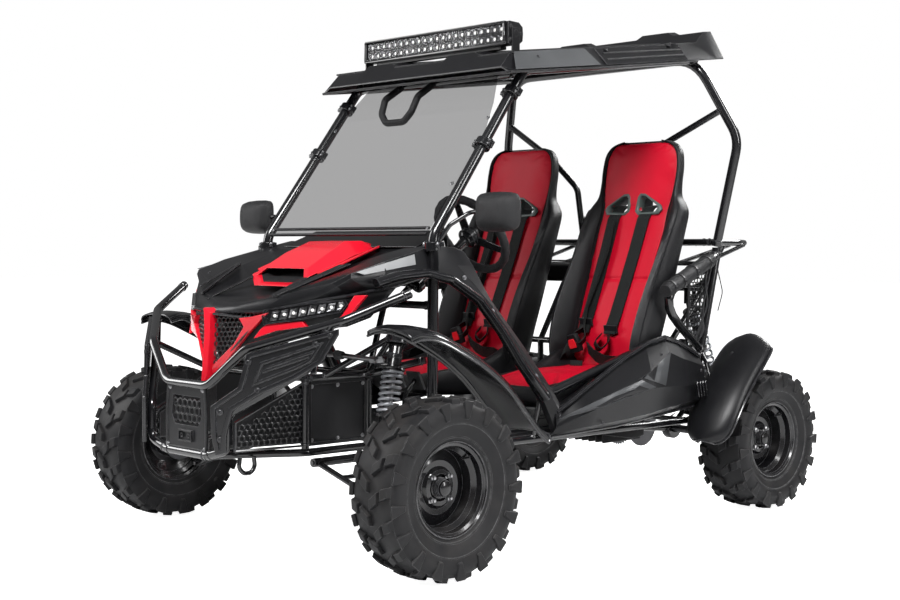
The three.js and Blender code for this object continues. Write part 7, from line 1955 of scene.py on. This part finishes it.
def area_light(name, where, towards, size, power, tint=(1, 1, 1)):
    light = bpy.data.lights.new(name, "AREA")
    light.shape = "RECTANGLE"
    light.size, light.size_y = size
    light.energy = power
    light.color = tint
    obj = linked(name, light)
    obj.location = where
    obj.rotation_mode = "QUATERNION"
    obj.rotation_quaternion = (Vector(towards) - Vector(where)).to_track_quat("-Z", "Y")
    obj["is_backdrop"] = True


def make_stage():
    scene = bpy.context.scene
    camera = bpy.data.cameras.new("photo_camera")
    camera.sensor_width = 36.0
    camera.lens = 36.0 * FOCAL_SHARE
    camera.clip_start, camera.clip_end = 0.05, 200
    obj = linked("photo_camera", camera)
    r, u, f = Vector(CAMERA_RIGHT), Vector(CAMERA_UP), Vector(CAMERA_FORWARD)
    basis = Matrix((r, u, -f)).transposed().to_4x4()
    obj.matrix_world = Matrix.Translation(place(CAMERA_AT)) @ basis
    scene.camera = obj
    mesh = bpy.data.meshes.new("floor")
    reach = 40.0
    mesh.from_pydata([(-reach, -reach, 0), (reach, -reach, 0), (reach, reach, 0), (-reach, reach, 0)], [],
                     [(0, 1, 2, 3)])
    floor = linked("floor", mesh)
    floor.location.z = -0.0015
    material = bpy.data.materials.new("floor")
    material.use_nodes = True
    tree = material.node_tree
    main = tree.nodes["Principled BSDF"]
    main.inputs["Roughness"].default_value = 0.55
    shade = mixed(tree, noise(tree, coordinates(tree), 3.0, 4.0), (0.9, 0.9, 0.9, 1), (0.94, 0.94, 0.94, 1))
    tree.links.new(shade, main.inputs["Base Color"])
    seen = node(tree, "ShaderNodeLightPath").outputs["Is Camera Ray"]
    main.inputs["Emission Color"].default_value = (1, 1, 1, 1)
    tree.links.new(math_node(tree, "MULTIPLY", seen, 0.95), main.inputs["Emission Strength"])
    mesh.materials.append(material)
    floor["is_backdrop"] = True
    world = bpy.data.worlds.new("studio")
    world.use_nodes = True
    scene.world = world
    tree = world.node_tree
    back = tree.nodes["Background"]
    path = node(tree, "ShaderNodeLightPath")
    coord = node(tree, "ShaderNodeTexCoord").outputs["Generated"]
    up = node(tree, "ShaderNodeSeparateXYZ", [(0, coord)])
    soft = node(tree, "ShaderNodeMapRange", [("Value", up.outputs["Z"]), ("From Min", -0.1), ("From Max", 0.9),
                                             ("To Min", 0.1),
                                             ("To Max", 0.3)])
    strength = node(tree, "ShaderNodeMix", [(0, path.outputs["Is Camera Ray"]), (2, soft.outputs["Result"]),
                                            (3, 1.0)])
    tree.links.new(strength.outputs[0], back.inputs["Strength"])
    back.inputs["Color"].default_value = (1, 1, 1, 1)
    area_light("key", (2.2, -3.2, 4.8), (0, -0.3, 0.7), (2.0, 1.4), 430)
    area_light("side", (4.6, 0.8, 2.6), (0, 0.2, 0.7), (0.7, 3.0), 150)
    area_light("fill", (-3.6, -3.0, 2.6), (0, -0.4, 0.8), (1.4, 2.6), 130)
    area_light("rim", (0.6, 4.6, 3.6), (0, 0, 0.9), (2.6, 1.2), 240)
    scene.view_settings.view_transform = "Standard"
    scene.view_settings.look = "None"
    scene.view_settings.exposure = 0
    scene.view_settings.gamma = 1


class KART_OT_materials(bpy.types.Operator):
    """Makes the shared node groups and the materials of all pieces"""
    bl_idname = "kart.materials"
    bl_label = "Materials"
    bl_options = {"REGISTER", "UNDO"}

    def execute(self, context):
        make_groups()
        make_materials()
        return {"FINISHED"}


class KART_OT_floor(bpy.types.Operator):
    """Rails, side bars, cross tubes and the floor sheet"""
    bl_idname = "kart.floor"
    bl_label = "Floor frame"
    bl_options = {"REGISTER", "UNDO"}

    def execute(self, context):
        make_floor()
        return {"FINISHED"}


class KART_OT_front_frame(bpy.types.Operator):
    """Box tubes, dash bar, strut towers and the side screens"""
    bl_idname = "kart.front_frame"
    bl_label = "Front frame"
    bl_options = {"REGISTER", "UNDO"}

    def execute(self, context):
        make_front_frame()
        return {"FINISHED"}


class KART_OT_rear_frame(bpy.types.Operator):
    """Posts, hip hoops with their foam, cargo rack and shock mounts"""
    bl_idname = "kart.rear_frame"
    bl_label = "Rear frame"
    bl_options = {"REGISTER", "UNDO"}

    def execute(self, context):
        make_rear_frame()
        return {"FINISHED"}


class KART_OT_cage(bpy.types.Operator):
    """Pillars, hoop, braces, clamps and the grab loop"""
    bl_idname = "kart.cage"
    bl_label = "Roll cage"
    bl_options = {"REGISTER", "UNDO"}

    def execute(self, context):
        make_cage()
        return {"FINISHED"}


class KART_OT_bumper(bpy.types.Operator):
    """Bumper tubes, skid face and tow hook"""
    bl_idname = "kart.bumper"
    bl_label = "Bumper"
    bl_options = {"REGISTER", "UNDO"}

    def execute(self, context):
        make_bumper()
        return {"FINISHED"}


class KART_OT_fairings(bpy.types.Operator):
    """Fairings with their ribs and bolts"""
    bl_idname = "kart.fairings"
    bl_label = "Bumper fairings"
    bl_options = {"REGISTER", "UNDO"}

    def execute(self, context):
        make_fairings()
        return {"FINISHED"}


class KART_OT_nose(bpy.types.Operator):
    """Hood, scoop, red blades, grille and dashboard"""
    bl_idname = "kart.nose"
    bl_label = "Nose"
    bl_options = {"REGISTER", "UNDO"}

    def execute(self, context):
        make_nose()
        return {"FINISHED"}


class KART_OT_headlights(bpy.types.Operator):
    """Lamp cases, cells, lights and covers"""
    bl_idname = "kart.headlights"
    bl_label = "Headlights"
    bl_options = {"REGISTER", "UNDO"}

    def execute(self, context):
        make_headlights()
        return {"FINISHED"}


class KART_OT_windshield(bpy.types.Operator):
    """Smoked pane with its strip and bolts"""
    bl_idname = "kart.windshield"
    bl_label = "Windshield"
    bl_options = {"REGISTER", "UNDO"}

    def execute(self, context):
        make_windshield()
        return {"FINISHED"}


class KART_OT_sides(bpy.types.Operator):
    """Side covers, rockers and the four wheel guards"""
    bl_idname = "kart.sides"
    bl_label = "Side panels"
    bl_options = {"REGISTER", "UNDO"}

    def execute(self, context):
        make_sides()
        return {"FINISHED"}


class KART_OT_roof(bpy.types.Operator):
    """Roof panel and its bolts"""
    bl_idname = "kart.roof"
    bl_label = "Roof"
    bl_options = {"REGISTER", "UNDO"}

    def execute(self, context):
        make_roof()
        return {"FINISHED"}


class KART_OT_light_bar(bpy.types.Operator):
    """Two rows of lamps in their finned case"""
    bl_idname = "kart.light_bar"
    bl_label = "Light bar"
    bl_options = {"REGISTER", "UNDO"}

    def execute(self, context):
        make_light_bar()
        return {"FINISHED"}


class KART_OT_wheels(bpy.types.Operator):
    """Tyres with tread, rims, hub caps and nuts"""
    bl_idname = "kart.wheels"
    bl_label = "Wheels"
    bl_options = {"REGISTER", "UNDO"}

    def execute(self, context):
        make_wheels()
        return {"FINISHED"}


class KART_OT_front_suspension(bpy.types.Operator):
    """Struts, springs, knuckles, arms and the steering rack"""
    bl_idname = "kart.front_suspension"
    bl_label = "Front suspension"
    bl_options = {"REGISTER", "UNDO"}

    def execute(self, context):
        make_struts()
        make_knuckles()
        make_arms()
        make_rack()
        return {"FINISHED"}


class KART_OT_rear_suspension(bpy.types.Operator):
    """Swing arm, axle and the two rear shocks"""
    bl_idname = "kart.rear_suspension"
    bl_label = "Rear suspension"
    bl_options = {"REGISTER", "UNDO"}

    def execute(self, context):
        make_rear_drive()
        make_shocks()
        return {"FINISHED"}


class KART_OT_seats(bpy.types.Operator):
    """Bucket seats with cloth cushions, belt slots and harnesses"""
    bl_idname = "kart.seats"
    bl_label = "Seats"
    bl_options = {"REGISTER", "UNDO"}

    def execute(self, context):
        make_seats()
        return {"FINISHED"}


class KART_OT_cockpit(bpy.types.Operator):
    """Steering wheel, pedals and mirrors"""
    bl_idname = "kart.cockpit"
    bl_label = "Cockpit"
    bl_options = {"REGISTER", "UNDO"}

    def execute(self, context):
        make_steering()
        make_pedals()
        make_mirrors()
        return {"FINISHED"}


class KART_OT_engine(bpy.types.Operator):
    """Crankcase, fins, covers and exhaust"""
    bl_idname = "kart.engine"
    bl_label = "Engine"
    bl_options = {"REGISTER", "UNDO"}

    def execute(self, context):
        make_engine()
        return {"FINISHED"}


class KART_OT_stage(bpy.types.Operator):
    """Camera at the photo's angle, floor, world and lights"""
    bl_idname = "kart.stage"
    bl_label = "Stage"
    bl_options = {"REGISTER", "UNDO"}

    def execute(self, context):
        make_stage()
        return {"FINISHED"}


class KART_PT_panel(bpy.types.Panel):
    """Sizes, colours and the pieces of the kart"""
    bl_label = "Off road kart"
    bl_idname = "KART_PT_panel"
    bl_space_type = "VIEW_3D"
    bl_region_type = "UI"
    bl_category = "Kart"

    def draw(self, context):
        column = self.layout.column()
        for name in KartSettings.__annotations__:
            column.prop(context.scene.kart_settings, name)
        for made in OPERATORS:
            column.operator(made.bl_idname)


OPERATORS = (
    KART_OT_materials, KART_OT_floor, KART_OT_front_frame, KART_OT_rear_frame, KART_OT_cage,
    KART_OT_bumper, KART_OT_fairings, KART_OT_nose, KART_OT_headlights, KART_OT_windshield, KART_OT_sides,
    KART_OT_roof, KART_OT_light_bar, KART_OT_wheels, KART_OT_front_suspension, KART_OT_rear_suspension,
    KART_OT_seats, KART_OT_cockpit, KART_OT_engine, KART_OT_stage,
)
CLASSES = (KartSettings, *OPERATORS, KART_PT_panel)


def register():
    for made in CLASSES:
        bpy.utils.register_class(made)
    bpy.types.Scene.kart_settings = PointerProperty(type=KartSettings)


def unregister():
    del bpy.types.Scene.kart_settings
    for made in reversed(CLASSES):
        bpy.utils.unregister_class(made)


def main():
    register()
    bpy.ops.kart.materials()
    bpy.ops.kart.floor()
    bpy.ops.kart.front_frame()
    bpy.ops.kart.rear_frame()
    bpy.ops.kart.cage()
    bpy.ops.kart.bumper()
    bpy.ops.kart.fairings()
    bpy.ops.kart.nose()
    bpy.ops.kart.headlights()
    bpy.ops.kart.windshield()
    bpy.ops.kart.sides()
    bpy.ops.kart.roof()
    bpy.ops.kart.light_bar()
    bpy.ops.kart.wheels()
    bpy.ops.kart.front_suspension()
    bpy.ops.kart.rear_suspension()
    bpy.ops.kart.seats()
    bpy.ops.kart.cockpit()
    bpy.ops.kart.engine()
    bpy.ops.kart.stage()
    new_box = [list(corner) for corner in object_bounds()]


if __name__ == "__main__":
    main()
